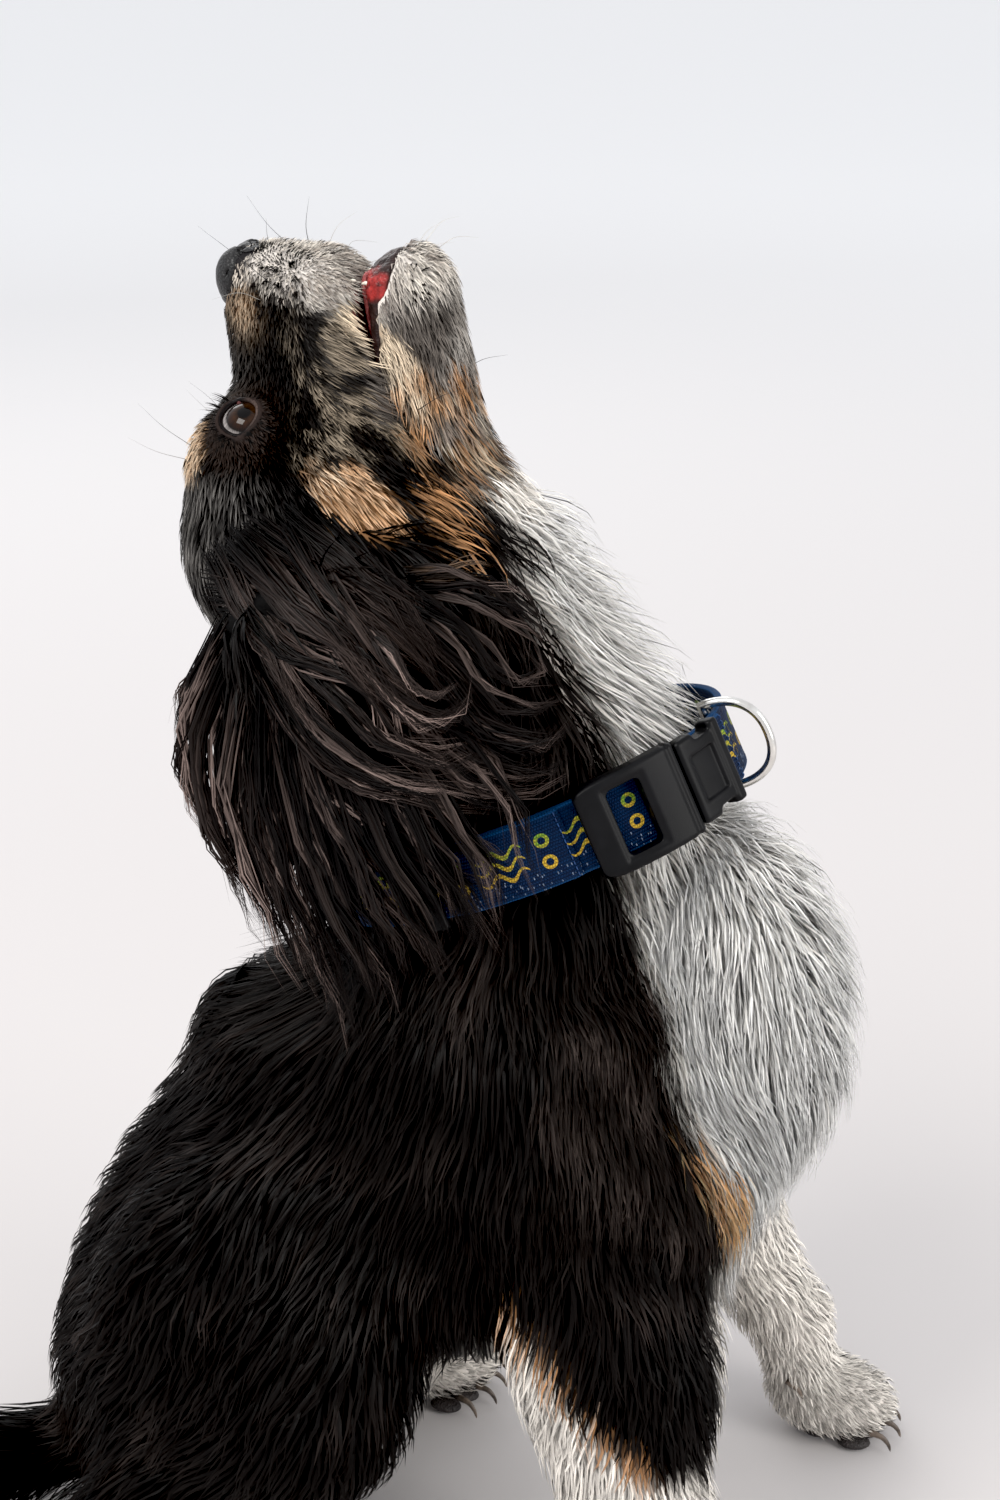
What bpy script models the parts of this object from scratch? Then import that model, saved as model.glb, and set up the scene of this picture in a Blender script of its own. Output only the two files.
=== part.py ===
"""A small tricolour spaniel-type dog, sitting upright with its head thrown back, wearing a webbing collar.

Life size, metres, +Z up. The dog faces +X, its left side is +Y, and it sits on the floor at Z = 0.
The solids follow the outline of the coat. The body is one smooth form made of ellipsoids and tapered
limbs that flow into each other, and thin cuts part it into head, neck, trunk, legs and tail.
"""
import math

import bmesh
import bpy
import numpy as np
from mathutils import Matrix, Vector

# ---- driving dimensions, millimetres
SHIFT = np.array([88.27, -3.77, 0.0])   # brings the middle of the whole outline over the origin
GAP = 0.35                   # clearance at every parting cut
VOXEL_BODY = 5.0             # grid of the first, rough union
VOXEL_EAR = 4.5
FACES_BODY = 2800            # triangles of the whole body before it is parted
FACES_EAR = 300
EYE_R = 10.4                 # radius of the eyeball
EYE_POS = (14.6, 22.4, 16.8)   # its centre in the head's frame, the left one
STRAP_A, STRAP_B = 78.0, 60.0  # half axes of the collar's middle line: along the neck's depth, across it
STRAP_W = 25.4               # webbing width
STRAP_T = 2.4                # webbing thickness


def unit(v):
    v = np.asarray(v, float)
    return v / np.linalg.norm(v)


HEAD_PITCH = math.radians(97.0)          # muzzle direction above the horizontal: the dog looks straight up and a little back
HEAD_O = np.array([-62.0, 0.0, 440.0])   # origin of the head's own frame, between the eyes and low in the skull
HX = np.array([math.cos(HEAD_PITCH), 0.0, math.sin(HEAD_PITCH)])     # towards the nose
HZ = np.array([-math.sin(HEAD_PITCH), 0.0, math.cos(HEAD_PITCH)])    # towards the crown
HR = np.stack([HX, [0.0, 1.0, 0.0], HZ], 1)                          # head frame to world
COLLAR_O = np.array([9.7, 0.0, 318.8])  # centre of the collar
COLLAR_TILT = math.radians(24.0)
CX = np.array([math.cos(COLLAR_TILT), 0.0, math.sin(COLLAR_TILT)])   # towards the throat
CZ = np.array([-math.sin(COLLAR_TILT), 0.0, math.cos(COLLAR_TILT)])  # up the neck


def rot_y(deg):
    c, s = math.cos(math.radians(deg)), math.sin(math.radians(deg))
    return np.array([[c, 0, -s], [0, 1, 0], [s, 0, c]])   # turns +X towards +Z


def rot_z(deg):
    c, s = math.cos(math.radians(deg)), math.sin(math.radians(deg))
    return np.array([[c, -s, 0], [s, c, 0], [0, 0, 1]])


def rot_x(deg):
    c, s = math.cos(math.radians(deg)), math.sin(math.radians(deg))
    return np.array([[1, 0, 0], [0, c, -s], [0, s, c]])


PRIMS = []


def ell(part, c, r, rot=None, k=20.0, coat=8.0, flow=(0, 0, -1), sides=1, cut=False):
    """An ellipsoid. sides = 2 also makes its mirror image in Y."""
    c, r = np.asarray(c, float), np.asarray(r, float)
    m = np.eye(3) if rot is None else np.asarray(rot, float)
    PRIMS.append(dict(kind="ell", part=part, c=c, r=r, m=m, k=k, coat=coat, flow=unit(flow), cut=cut))
    if sides == 2:
        f = np.array([1.0, -1.0, 1.0])
        PRIMS.append(dict(kind="ell", part=other_side(part), c=c * f, r=r, m=(m.T * f).T * f, k=k, coat=coat, flow=unit(np.asarray(flow, float) * f), cut=cut))


def limb(part, a, b, ra, rb, k=20.0, coat=8.0, flow=None, wide=(0, 1, 0), w=1.0, sides=1, cut=False):
    """A tapered capsule from a to b. Its section is w times as wide along the direction wide."""
    a, b = np.asarray(a, float), np.asarray(b, float)
    fl = unit(b - a) if flow is None else unit(flow)
    PRIMS.append(dict(kind="limb", part=part, a=a, b=b, ra=ra, rb=rb, k=k, coat=coat, flow=fl, wide=unit(wide), w=w, cut=cut))
    if sides == 2:
        f = np.array([1.0, -1.0, 1.0])
        PRIMS.append(dict(kind="limb", part=other_side(part), a=a * f, b=b * f, ra=ra, rb=rb, k=k, coat=coat, flow=unit(fl * f), wide=unit(np.asarray(wide, float) * f), w=w, cut=cut))


def other_side(part):
    return part.replace("_r", "_l") if part.endswith("_r") else part


def head_pt(p):
    return HEAD_O + HR @ np.asarray(p, float)


def hell(part, c, r, rot=None, k=10.0, coat=3.0, flow=(-1, 0, 0), sides=1, cut=False):
    """An ellipsoid given in the head's frame."""
    m = np.eye(3) if rot is None else np.asarray(rot, float)
    c, r = np.asarray(c, float), np.asarray(r, float)
    f = np.array([1.0, -1.0, 1.0])
    for s in range(sides):
        cc, mm, fl = (c, m, np.asarray(flow, float)) if s == 0 else (c * f, (m.T * f).T * f, np.asarray(flow, float) * f)
        PRIMS.append(dict(kind="ell", part=part if s == 0 else other_side(part), c=head_pt(cc), r=r, m=HR @ mm, k=k, coat=coat, flow=unit(HR @ fl), cut=cut))


def hlimb(part, a, b, ra, rb, k=10.0, coat=3.0, flow=(-1, 0, 0), wide=(0, 1, 0), w=1.0, sides=1, cut=False):
    f = np.array([1.0, -1.0, 1.0])
    for s in range(sides):
        g = 1.0 if s == 0 else f
        PRIMS.append(dict(kind="limb", part=part if s == 0 else other_side(part), a=head_pt(np.asarray(a, float) * g), b=head_pt(np.asarray(b, float) * g), ra=ra, rb=rb, k=k, coat=coat,
                          flow=unit(HR @ (np.asarray(flow, float) * g)), wide=unit(HR @ (np.asarray(wide, float) * g)), w=w, cut=cut))


def prim_dist(q, P):
    """Distance from the points P to one primitive, near its surface."""
    if q["kind"] == "ell":
        L = (P - q["c"]) @ q["m"]
        k0 = np.sqrt(((L / q["r"]) ** 2).sum(-1))
        k1 = np.sqrt(((L / q["r"] ** 2) ** 2).sum(-1)) + 1e-9
        return k0 * (k0 - 1.0) / k1
    n, w = q["wide"], q["w"]
    a, b = q["a"], q["b"]
    Q = P - a
    ab = b - a
    if w != 1.0:
        Q = Q + np.outer(Q @ n, n) * (1.0 / w - 1.0)
        ab = ab + (ab @ n) * n * (1.0 / w - 1.0)
    L2 = ab @ ab
    t = np.clip((Q @ ab) / L2, 0.0, 1.0)
    # widen the parameter so that a taper meets its end balls without a step
    s = (q["ra"] - q["rb"]) / math.sqrt(L2)
    rad = np.sqrt(np.maximum((Q * Q).sum(-1) - (Q @ ab) ** 2 / L2, 0.0))
    t = np.clip((Q @ ab) / L2 + rad * s / math.sqrt(max(L2 * (1 - s * s), 1e-9)), 0.0, 1.0)
    d = np.sqrt(((Q - t[:, None] * ab) ** 2).sum(-1)) - (q["ra"] + (q["rb"] - q["ra"]) * t)
    return d * min(1.0, w)


def prim_box(q, pad):
    if q["kind"] == "ell":
        e = np.sqrt(((q["m"] * q["r"]) ** 2).sum(1))
        return q["c"] - e - pad, q["c"] + e + pad
    r = max(q["ra"], q["rb"]) * max(1.0, q["w"])
    return np.minimum(q["a"], q["b"]) - r - pad, np.maximum(q["a"], q["b"]) + r + pad


def smin(a, b, k):
    h = np.maximum(k - np.abs(a - b), 0.0) / k
    return np.minimum(a, b) - h * h * k * 0.25


def field(P, prims, fur=False, tau=7.0):
    """The smooth union's distance at the points P, and with fur=True also the blended coat depth and lie of the hair there."""
    P = np.asarray(P, float)
    d = np.full(len(P), 60.0)
    wsum = np.full(len(P), 1e-12)
    coat = np.zeros(len(P))
    flow = np.zeros((len(P), 3))
    for q in prims:
        lo, hi = prim_box(q, 45.0)
        near = np.nonzero(((P > lo) & (P < hi)).all(1))[0]
        if not len(near):
            continue
        e = prim_dist(q, P[near])
        if q["cut"]:
            d[near] = -smin(-d[near], e, q["k"])
            continue
        d[near] = smin(d[near], e, q["k"])
        if fur:
            w = np.exp(-np.clip(e, -10.0, 200.0) / tau)
            wsum[near] += w
            coat[near] += w * q["coat"]
            flow[near] += w[:, None] * q["flow"]
    if not fur:
        return d
    flow /= np.linalg.norm(flow, axis=1)[:, None] + 1e-12
    return d, coat / wsum, flow


# ---- the body
ell("trunk", (-32, 0, 199), (108, 74, 92), rot_y(57), 30, 12, (-0.62, 0, -0.78))                 # rib cage
ell("trunk", (-90, 0, 112), (92, 68, 82), rot_y(62), 30, 12, (-0.6, 0, -0.8))                    # loin and belly
ell("trunk", (-120, 0, 64), (66, 78, 66), None, 30, 12, (-0.5, 0, -0.86))                        # rump
ell("trunk", (38, 0, 232), (70, 66, 82), rot_y(70), 30, 16, (-0.2, 0, -1))                       # fore chest
ell("trunk", (81, 0, 250), (55, 52, 86), rot_y(4), 26, 24, (0.2, 0, -1))                         # mane on the breast
ell("trunk", (-50, 0, 255), (44, 50, 46), rot_y(30), 24, 16, (-0.5, 0, -0.85))                   # withers and scruff
ell("trunk_r", (-2, -26, 148), (56, 44, 46), None, 22, 14, (0.1, 0, -1), sides=2)                 # flank and belly
ell("trunk_r", (28, -42, 222), (54, 40, 80), rot_y(62), 30, 11, (0.12, 0, -1), sides=2)          # shoulder
limb("neck", (4, 0, 262), (2, 0, 318), 72, 66, 34, 15, (0.0, 0, -1), w=0.90)                     # base of the neck
limb("neck", (2, 0, 318), (-30, 0, 386), 66, 57, 26, 14, (-0.1, 0, -1), w=0.88)                  # neck
ell("neck", (6, 0, 386), (33, 44, 66), rot_y(32), 22, 18, (0.35, 0, -1))                         # fluff of the throat
# near foreleg (the dog's right) stands straight, the far one is splayed forwards and out
limb("fore_r", (52, -56, 186), (60, -62, 132), 44, 38, 24, 9, (0.08, 0, -1), w=0.80)             # upper arm
limb("fore_r", (61, -62, 134), (73, -66, 60), 38, 28, 14, 7, (0.1, 0, -1), w=0.78)               # forearm
limb("fore_r", (46, -62, 122), (60, -66, 66), 22, 15, 16, 9, (-0.25, 0, -1), w=0.7)              # feathering behind it
limb("fore_r", (76, -66, 62), (80, -67, 30), 27, 24, 10, 5, (0.1, 0, -1), w=0.90)                # wrist and pastern
ell("fore_r", (95, -67, 20), (36, 26, 21), rot_y(-6), 10, 4, (0.9, 0, -0.45))                    # paw
limb("fore_l", (50, 52, 190), (66, 62, 138), 44, 31, 24, 9, (0.1, 0.1, -1), w=0.80)
limb("fore_l", (68, 63, 138), (101, 90, 58), 29, 19, 14, 6, (0.35, 0.25, -1), w=0.85)
limb("fore_l", (58, 66, 124), (86, 88, 66), 18, 12, 14, 8, (0.1, 0.2, -1), w=0.7)
limb("fore_l", (101, 90, 60), (108, 96, 26), 19, 17, 10, 4, (0.3, 0.1, -1), w=0.95)
ell("fore_l", (121, 98, 16.4), (29, 21, 17.8), rot_z(6) @ rot_y(-6), 10, 4, (0.9, 0.1, -0.45))
# hind legs folded under: thigh, knee, shank, foot flat on the floor
ell("hind_r", (-80, -56, 122), (66, 36, 90), rot_y(-26), 18, 12, (-0.35, 0, -1), sides=2)        # thigh
limb("hind_r", (-46, -66, 132), (-52, -72, 92), 34, 32, 20, 10, (-0.2, 0, -1), sides=2)          # knee
limb("hind_r", (-54, -72, 100), (-124, -74, 40), 34, 25, 20, 10, (-0.6, 0, -0.8), w=0.9, sides=2)  # shank
limb("hind_r", (-138, -74, 21), (-74, -80, 17), 22, 17.5, 12, 5, (1, -0.1, -0.2), w=1.05, sides=2)  # hind foot
ell("hind_r", (-54, -82, 18), (34, 25, 19.5), rot_z(-5), 10, 4, (0.95, -0.1, -0.3), sides=2)       # hind paw
# tail, laid on the floor behind and swung to the right
limb("tail", (-158, -16, 32), (-200, -50, 25), 25, 24, 20, 15, (-0.85, -0.5, -0.1))
limb("tail", (-200, -50, 25), (-246, -78, 24), 24, 24, 14, 16, (-0.9, -0.5, 0))
limb("tail", (-246, -78, 24), (-288, -90, 21), 24, 18, 14, 16, (-1, -0.2, 0))
limb("tail", (-288, -90, 21), (-318, -88, 12), 18, 8, 14, 12, (-1, 0.1, 0))
# ---- the head, in its own frame
hell("head", (-31, 0, 12), (49, 43, 45), rot_y(4), 16, 4.5, (-1, 0, 0))                          # cranium
hell("head", (-2, 0, 13), (30, 32, 31), None, 14, 3.0, (-1, 0, 0.1))                             # forehead
hell("head", (3, -15, 30), (15, 12, 12), None, 10, 2.6, (-1, -0.3, 0.2), sides=2)                # brow
hell("head", (-18, -21, -14), (42, 24, 33), rot_y(-10), 18, 7, (-1, -0.1, -0.15), sides=2)       # cheek
hell("head", (-34, 0, -36), (40, 40, 32), rot_y(-24), 22, 10, (-1, 0, -0.35))                    # angle of the jaw
hlimb("head", (20, 0, 6), (57, 0, 9), 22, 18.5, 10, 2.2, (-1, 0, 0), w=0.98)                       # bridge of the muzzle
hlimb("head", (18, -11, -9), (56, -9.5, -7), 18, 15, 10, 2.6, (-1, -0.1, -0.35), sides=2)        # upper lips
hlimb("head", (20, -15, -18.5), (54, -12.5, -16.5), 8.6, 7.0, 8, 2.0, (-1, -0.1, -0.45), sides=2)   # hanging edge of the upper lips
hell("head", (63, 0, 18.5), (11, 12.5, 10.5), None, 5, 1.0, (-1, 0, 0))                          # nose
hlimb("jaw", (6, 0, -40), (54, 0, -41), 20, 14, 12, 4.5, (-1, 0, -0.1), w=1.05)                  # lower jaw
hell("jaw", (57, 0, -40), (13, 15, 11), None, 8, 4.0, (-1, 0, -0.3))                             # chin
hell("jaw", (59, 0, -34.5), (11, 12.5, 9.5), None, 3, 1.2, (-1, 0, -0.3))                         # lower lip
hlimb("jaw", (24, -14, -34.5), (58, -9.5, -32.8), 7.6, 6.6, 5, 2.0, (-1, -0.1, -0.3), sides=2)       # sides of the lower lip
# ---- the ears: flaps of long hair that hang from the side of the skull beside the neck
limb("ear_r", (-26, -44, 414), (-56, -62, 366), 26, 34, 16, 9, (-0.4, -0.1, -1), wide=(0.1, 1, 0.15), w=0.36)
limb("ear_r", (-56, -62, 366), (-56, -66, 306), 34, 24, 14, 12, (0.0, 0, -1), wide=(0, 1, 0.05), w=0.36)
limb("ear_r", (-48, -66, 320), (-44, -72, 284), 22, 12, 12, 12, (0.15, 0, -1), wide=(0, 1, 0), w=0.42)
limb("ear_r", (-26, -50, 412), (4, -64, 402), 26, 20, 14, 12, (0.6, -0.2, -0.7), wide=(0.05, 1, 0.2), w=0.38)
limb("ear_r", (-20, -60, 388), (22, -72, 364), 28, 19, 14, 12, (0.5, -0.2, -0.8), wide=(0.05, 1, 0.1), w=0.38)
limb("ear_r", (-66, -48, 376), (-80, -48, 318), 25, 16, 14, 12, (-0.2, 0.1, -1), wide=(0.2, 1, 0.1), w=0.42)
limb("ear_l", (-34, 44, 412), (-58, 60, 366), 24, 30, 16, 9, (-0.4, 0.1, -1), wide=(-0.1, 1, -0.15), w=0.36)
limb("ear_l", (-58, 60, 366), (-56, 66, 306), 31, 24, 14, 12, (0.0, 0, -1), wide=(0, 1, -0.05), w=0.36)
limb("ear_l", (-50, 66, 320), (-46, 70, 286), 22, 12, 12, 12, (0.15, 0, -1), wide=(0, 1, 0), w=0.42)
limb("ear_l", (-44, 58, 396), (-28, 68, 348), 22, 20, 14, 12, (0.3, 0.2, -1), wide=(-0.05, 1, -0.1), w=0.38)


# ---- from functions to closed meshes
def clear_scene():
    for o in list(bpy.data.objects):
        bpy.data.objects.remove(o, do_unlink=True)


def to_mesh(bm, name):
    me = bpy.data.meshes.new(name)
    bm.to_mesh(me)
    bm.free()
    return me


def new_object(name, me):
    ob = bpy.data.objects.new(name, me)
    bpy.context.scene.collection.objects.link(ob)
    return ob


def prim_points(q, ball):
    """Points of one primitive's surface, from those of a unit ball."""
    if q["kind"] == "ell":
        return q["c"] + (ball * q["r"]) @ q["m"].T
    n, w = q["wide"], q["w"]
    squash = ball + np.outer(ball @ n, n) * (w - 1.0)
    return np.concatenate([q["a"] + squash * q["ra"], q["b"] + squash * q["rb"]])


def unit_ball(level=3):
    bm = bmesh.new()
    bmesh.ops.create_icosphere(bm, subdivisions=level, radius=1.0)
    pts = np.array([v.co[:] for v in bm.verts])
    bm.free()
    return pts


def hull_into(bm, pts):
    vs = [bm.verts.new(Vector(p) / 1000.0) for p in pts]
    out = bmesh.ops.convex_hull(bm, input=vs, use_existing_faces=False)
    junk = {e for e in out["geom_interior"] + out["geom_unused"] if isinstance(e, bmesh.types.BMVert) and e.is_valid}
    bmesh.ops.delete(bm, geom=list(junk), context="VERTS")


def evaluated(ob, name):
    """The object's mesh with its modifiers, as a mesh of its own. The object is removed."""
    dg = bpy.context.evaluated_depsgraph_get()
    me = bpy.data.meshes.new_from_object(ob.evaluated_get(dg), preserve_all_data_layers=False, depsgraph=dg)
    me.name = name
    old = ob.data
    bpy.data.objects.remove(ob, do_unlink=True)
    if old.users == 0:
        bpy.data.meshes.remove(old)
    return me


def coords(me):
    a = np.empty(len(me.vertices) * 3, np.float32)
    me.vertices.foreach_get("co", a)
    return a.reshape(-1, 3).astype(float) * 1000.0


def set_coords(me, P):
    me.vertices.foreach_set("co", (P / 1000.0).astype(np.float32).ravel())
    me.update()


def gradient(P, prims, h=0.6):
    g = np.zeros_like(P)
    for k in range(3):
        e = np.zeros(3)
        e[k] = h
        g[:, k] = (field(P + e, prims) - field(P - e, prims)) / (2 * h)
    return g


def settle(me, prims, rounds=4):
    """Moves the vertices onto the smooth union's surface, evening out the net between rounds."""
    P = coords(me)
    E = np.empty(len(me.edges) * 2, np.int32)
    me.edges.foreach_get("vertices", E)
    E = E.reshape(-1, 2)
    deg = np.bincount(E.ravel(), minlength=len(P)).astype(float)[:, None]
    for it in range(rounds):
        S = np.zeros_like(P)
        for a, b in ((0, 1), (1, 0)):
            for k in range(3):
                S[:, k] += np.bincount(E[:, a], weights=P[E[:, b], k], minlength=len(P))
        P = P + 0.5 * (S / deg - P)
        for _ in range(3):
            d = field(P, prims)
            g = gradient(P, prims)
            n2 = np.maximum((g * g).sum(1), 0.05)
            P = P - g * (np.clip(d, -8, 8) / n2)[:, None]
    set_coords(me, P)


def blend_solid(name, prims, voxel, faces):
    """One closed mesh of the smooth union of prims, with about the given number of triangles."""
    ball = unit_ball()
    bm = bmesh.new()
    for q in prims:
        hull_into(bm, prim_points(q, ball))
    ob = new_object(name, to_mesh(bm, name))
    m = ob.modifiers.new("union", "REMESH")
    m.mode = "VOXEL"
    m.voxel_size = voxel / 1000.0
    me = evaluated(ob, name)
    settle(me, prims)
    ob = new_object(name, me)
    m = ob.modifiers.new("tri", "TRIANGULATE")
    m = ob.modifiers.new("fewer", "DECIMATE")
    m.ratio = min(1.0, faces / (2.0 * len(me.polygons)))
    m.use_collapse_triangulate = True
    return evaluated(ob, name)


def swollen(me, by):
    """The same mesh with its surface moved out by a few tenths of a millimetre."""
    out = me.copy()
    n = np.empty(len(me.vertices) * 3, np.float32)
    me.vertices.foreach_get("normal", n)
    set_coords(out, coords(me) + n.reshape(-1, 3) * by)
    return out


def combine(me, cutter, operation, name="cut"):
    """A Boolean of two meshes."""
    a = new_object("work", me)
    b = new_object("cutter", cutter)
    b.hide_render = True
    b.display_type = "WIRE"
    m = a.modifiers.new("cut", "BOOLEAN")
    m.operation = operation
    m.solver = "EXACT"
    m.object = b
    dg = bpy.context.evaluated_depsgraph_get()
    out = bpy.data.meshes.new_from_object(a.evaluated_get(dg), preserve_all_data_layers=False, depsgraph=dg)
    out.name = name
    bpy.data.objects.remove(a, do_unlink=True)
    bpy.data.objects.remove(b, do_unlink=True)
    return out


def split(me, cell, name):
    """The part of me inside the cell, and the rest. cell(grow) gives the cell's mesh, moved out by grow millimetres."""
    return combine(me, cell(0.0), "INTERSECT", name), combine(me, cell(GAP), "DIFFERENCE", "rest")


def hull_cell(*prims):
    """A convex cell round several primitives."""
    def make(grow):
        bm = bmesh.new()
        pts = []
        for q in prims:
            if q["kind"] == "ell":
                pts.append(prim_points(dict(q, r=q["r"] + grow), CELL_BALL))
            else:
                pts.append(prim_points(dict(q, ra=q["ra"] + grow, rb=q["rb"] + grow), CELL_BALL))
        hull_into(bm, np.concatenate(pts))
        return to_mesh(bm, "cell")
    return make


def half_cell(point, normal, reach=900.0):
    """Everything on the normal's side of a plane, as far as reach."""
    point, normal = np.asarray(point, float), unit(normal)

    def make(grow):
        bm = bmesh.new()
        bmesh.ops.create_cube(bm, size=reach / 1000.0)
        rot = Vector(normal).to_track_quat("Z", "X").to_matrix().to_4x4()
        at = point + normal * (reach / 2.0 - grow)
        bmesh.ops.transform(bm, matrix=Matrix.Translation(Vector(at) / 1000.0) @ rot, verts=bm.verts)
        return to_mesh(bm, "cell")
    return make


def ball_mesh(c, r, rings=9, segs=14):
    bm = bmesh.new()
    bmesh.ops.create_uvsphere(bm, u_segments=segs, v_segments=rings, radius=r / 1000.0)
    bmesh.ops.transform(bm, matrix=Matrix.Translation(Vector(c) / 1000.0), verts=bm.verts)
    return to_mesh(bm, "ball")


def largest_piece(bm):
    """Deletes all but the piece with the most vertices."""
    bm.verts.index_update()
    seen, groups = set(), []
    for v in bm.verts:
        if v.index in seen:
            continue
        stack, g = [v], []
        seen.add(v.index)
        while stack:
            u = stack.pop()
            g.append(u)
            for e in u.link_edges:
                o = e.other_vert(u)
                if o.index not in seen:
                    seen.add(o.index)
                    stack.append(o)
        groups.append(g)
    groups.sort(key=len)
    if len(groups) > 1:
        bmesh.ops.delete(bm, geom=[v for g in groups[:-1] for v in g], context="VERTS")


def tidy(me):
    """Makes one closed triangle net. Tries ever wider joining distances until every edge has two faces."""
    best = None
    for dist in (0.00002, 0.00005, 0.000005, 0.0001, 0.0002, 0.0):
        bm = bmesh.new()
        bm.from_mesh(me)
        if dist > 0:
            bmesh.ops.remove_doubles(bm, verts=bm.verts, dist=dist)
            bmesh.ops.dissolve_degenerate(bm, edges=bm.edges, dist=dist)
        largest_piece(bm)
        open_edges = [e for e in bm.edges if len(e.link_faces) == 1]
        if open_edges:
            bmesh.ops.holes_fill(bm, edges=open_edges, sides=6)
        bmesh.ops.triangulate(bm, faces=bm.faces)
        bmesh.ops.recalc_face_normals(bm, faces=bm.faces)
        bad = sum(1 for e in bm.edges if len(e.link_faces) != 2) + sum(1 for v in bm.verts if not v.is_manifold)
        if best is None or bad < best[0]:
            if best:
                best[1].free()
            best = (bad, bm)
        else:
            bm.free()
        if best[0] == 0:
            break
    best[1].to_mesh(me)
    best[1].free()
    if best[0]:
        print("still open:", me.name, best[0])
    return me


# ---- the collar: pieces that follow the oval of the strap
def ring_point(phi, r, h):
    """A point of the collar: phi turns from the throat (0) to the dog's right side (90), r is out from the strap's middle line, h up the neck."""
    c, s = math.cos(phi), math.sin(phi)
    p = np.array([STRAP_A * c, -STRAP_B * s])
    n = np.array([c / STRAP_A, -s / STRAP_B])
    n = n / np.linalg.norm(n)
    p = p + n * r
    return COLLAR_O + CX * p[0] + np.array([0.0, 1.0, 0.0]) * p[1] + CZ * h


def ring_sweep(profile, phi0, phi1, steps, closed=False):
    """Sweeps a closed profile of (r, h) points round the oval. Open sweeps get flat ends."""
    bm = bmesh.new()
    n = steps if closed else steps + 1
    rows = []
    for i in range(n):
        phi = math.radians(phi0 + (phi1 - phi0) * i / steps)
        rows.append([bm.verts.new(Vector(ring_point(phi, r, h)) / 1000.0) for r, h in profile])
    m = len(profile)
    for i in range(steps):
        a, b = rows[i], rows[(i + 1) % n]
        for j in range(m):
            bm.faces.new((a[j], a[(j + 1) % m], b[(j + 1) % m], b[j]))
    if not closed:
        bm.faces.new(rows[0][::-1])
        bm.faces.new(rows[-1])
    bmesh.ops.recalc_face_normals(bm, faces=bm.faces)
    return to_mesh(bm, "sweep")


def box_profile(r0, r1, h0, h1, bevel=0.0):
    """A rectangle with its outer corners cut off."""
    if bevel <= 0:
        return [(r0, h0), (r1, h0), (r1, h1), (r0, h1)]
    return [(r0, h0), (r1 - bevel, h0), (r1, h0 + bevel), (r1, h1 - bevel), (r1 - bevel, h1), (r0, h1)]


def d_ring_mesh(wire, half, out, inn, phi, segs=16, sides=6):
    """A D-shaped wire ring round the strap: a straight bar behind it and a bow in front."""
    path = []
    for i in range(4):
        path.append((inn, -half + 2.0 * half * i / 3.0))
    for i in range(1, segs):
        a = math.pi / 2 - math.pi * i / segs
        path.append((inn + (out - inn) * math.cos(a) ** 0.75, half * math.copysign(abs(math.sin(a)) ** 0.9, math.sin(a))))
    bm = bmesh.new()
    rows = []
    n = len(path)
    for i in range(n):
        a, b = np.array(path[i - 1]), np.array(path[(i + 1) % n])
        t = (b - a) / np.linalg.norm(b - a)
        nr = np.array([t[1], -t[0]])
        row = []
        for k in range(sides):
            u = 2 * math.pi * k / sides
            q = np.array(path[i]) + nr * wire * math.cos(u)
            side = wire * math.sin(u)
            c = ring_point(phi, q[0], q[1])
            tang = ring_point(phi + 0.01, 0, 0) - ring_point(phi - 0.01, 0, 0)
            row.append(bm.verts.new(Vector(c + unit(tang) * side) / 1000.0))
        rows.append(row)
    for i in range(n):
        a, b = rows[i], rows[(i + 1) % n]
        for k in range(sides):
            bm.faces.new((a[k], a[(k + 1) % sides], b[(k + 1) % sides], b[k]))
    bmesh.ops.recalc_face_normals(bm, faces=bm.faces)
    return to_mesh(bm, "d_ring")


# ---- finish
COLOURS = {
    "coat_black": ((0.012, 0.011, 0.012), 0.6, 0.0),
    "coat_white": ((0.72, 0.67, 0.58), 0.7, 0.0),
    "coat_tan": ((0.42, 0.22, 0.10), 0.7, 0.0),
    "coat_tail": ((0.014, 0.012, 0.013), 0.6, 0.0),
    "eye": ((0.03, 0.012, 0.006), 0.05, 0.0),
    "nose": ((0.03, 0.03, 0.032), 0.4, 0.0),
    "mouth": ((0.42, 0.10, 0.10), 0.3, 0.0),
    "webbing": ((0.01, 0.06, 0.20), 0.65, 0.0),
    "buckle_plastic": ((0.012, 0.012, 0.013), 0.35, 0.0),
    "ring_metal": ((0.75, 0.74, 0.72), 0.22, 1.0),
}


def material(slot):
    m = bpy.data.materials.get(slot)
    if m is None:
        m = bpy.data.materials.new(slot)
        m.use_nodes = True
        b = m.node_tree.nodes["Principled BSDF"]
        col, rough, metal = COLOURS[slot]
        b.inputs["Base Color"].default_value = (*col, 1.0)
        b.inputs["Roughness"].default_value = rough
        b.inputs["Metallic"].default_value = metal
    return m


def finish(name, me, slot, base):
    tidy(me)
    me.name = name
    set_coords(me, coords(me) + SHIFT)
    ob = new_object(name, me)
    own = material(slot).copy()
    own.name = "mat_" + name
    me.materials.clear()
    me.materials.append(own)
    me.shade_smooth()
    me.set_sharp_from_angle(angle=math.radians(50))
    ob.parent = base
    return ob


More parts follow.
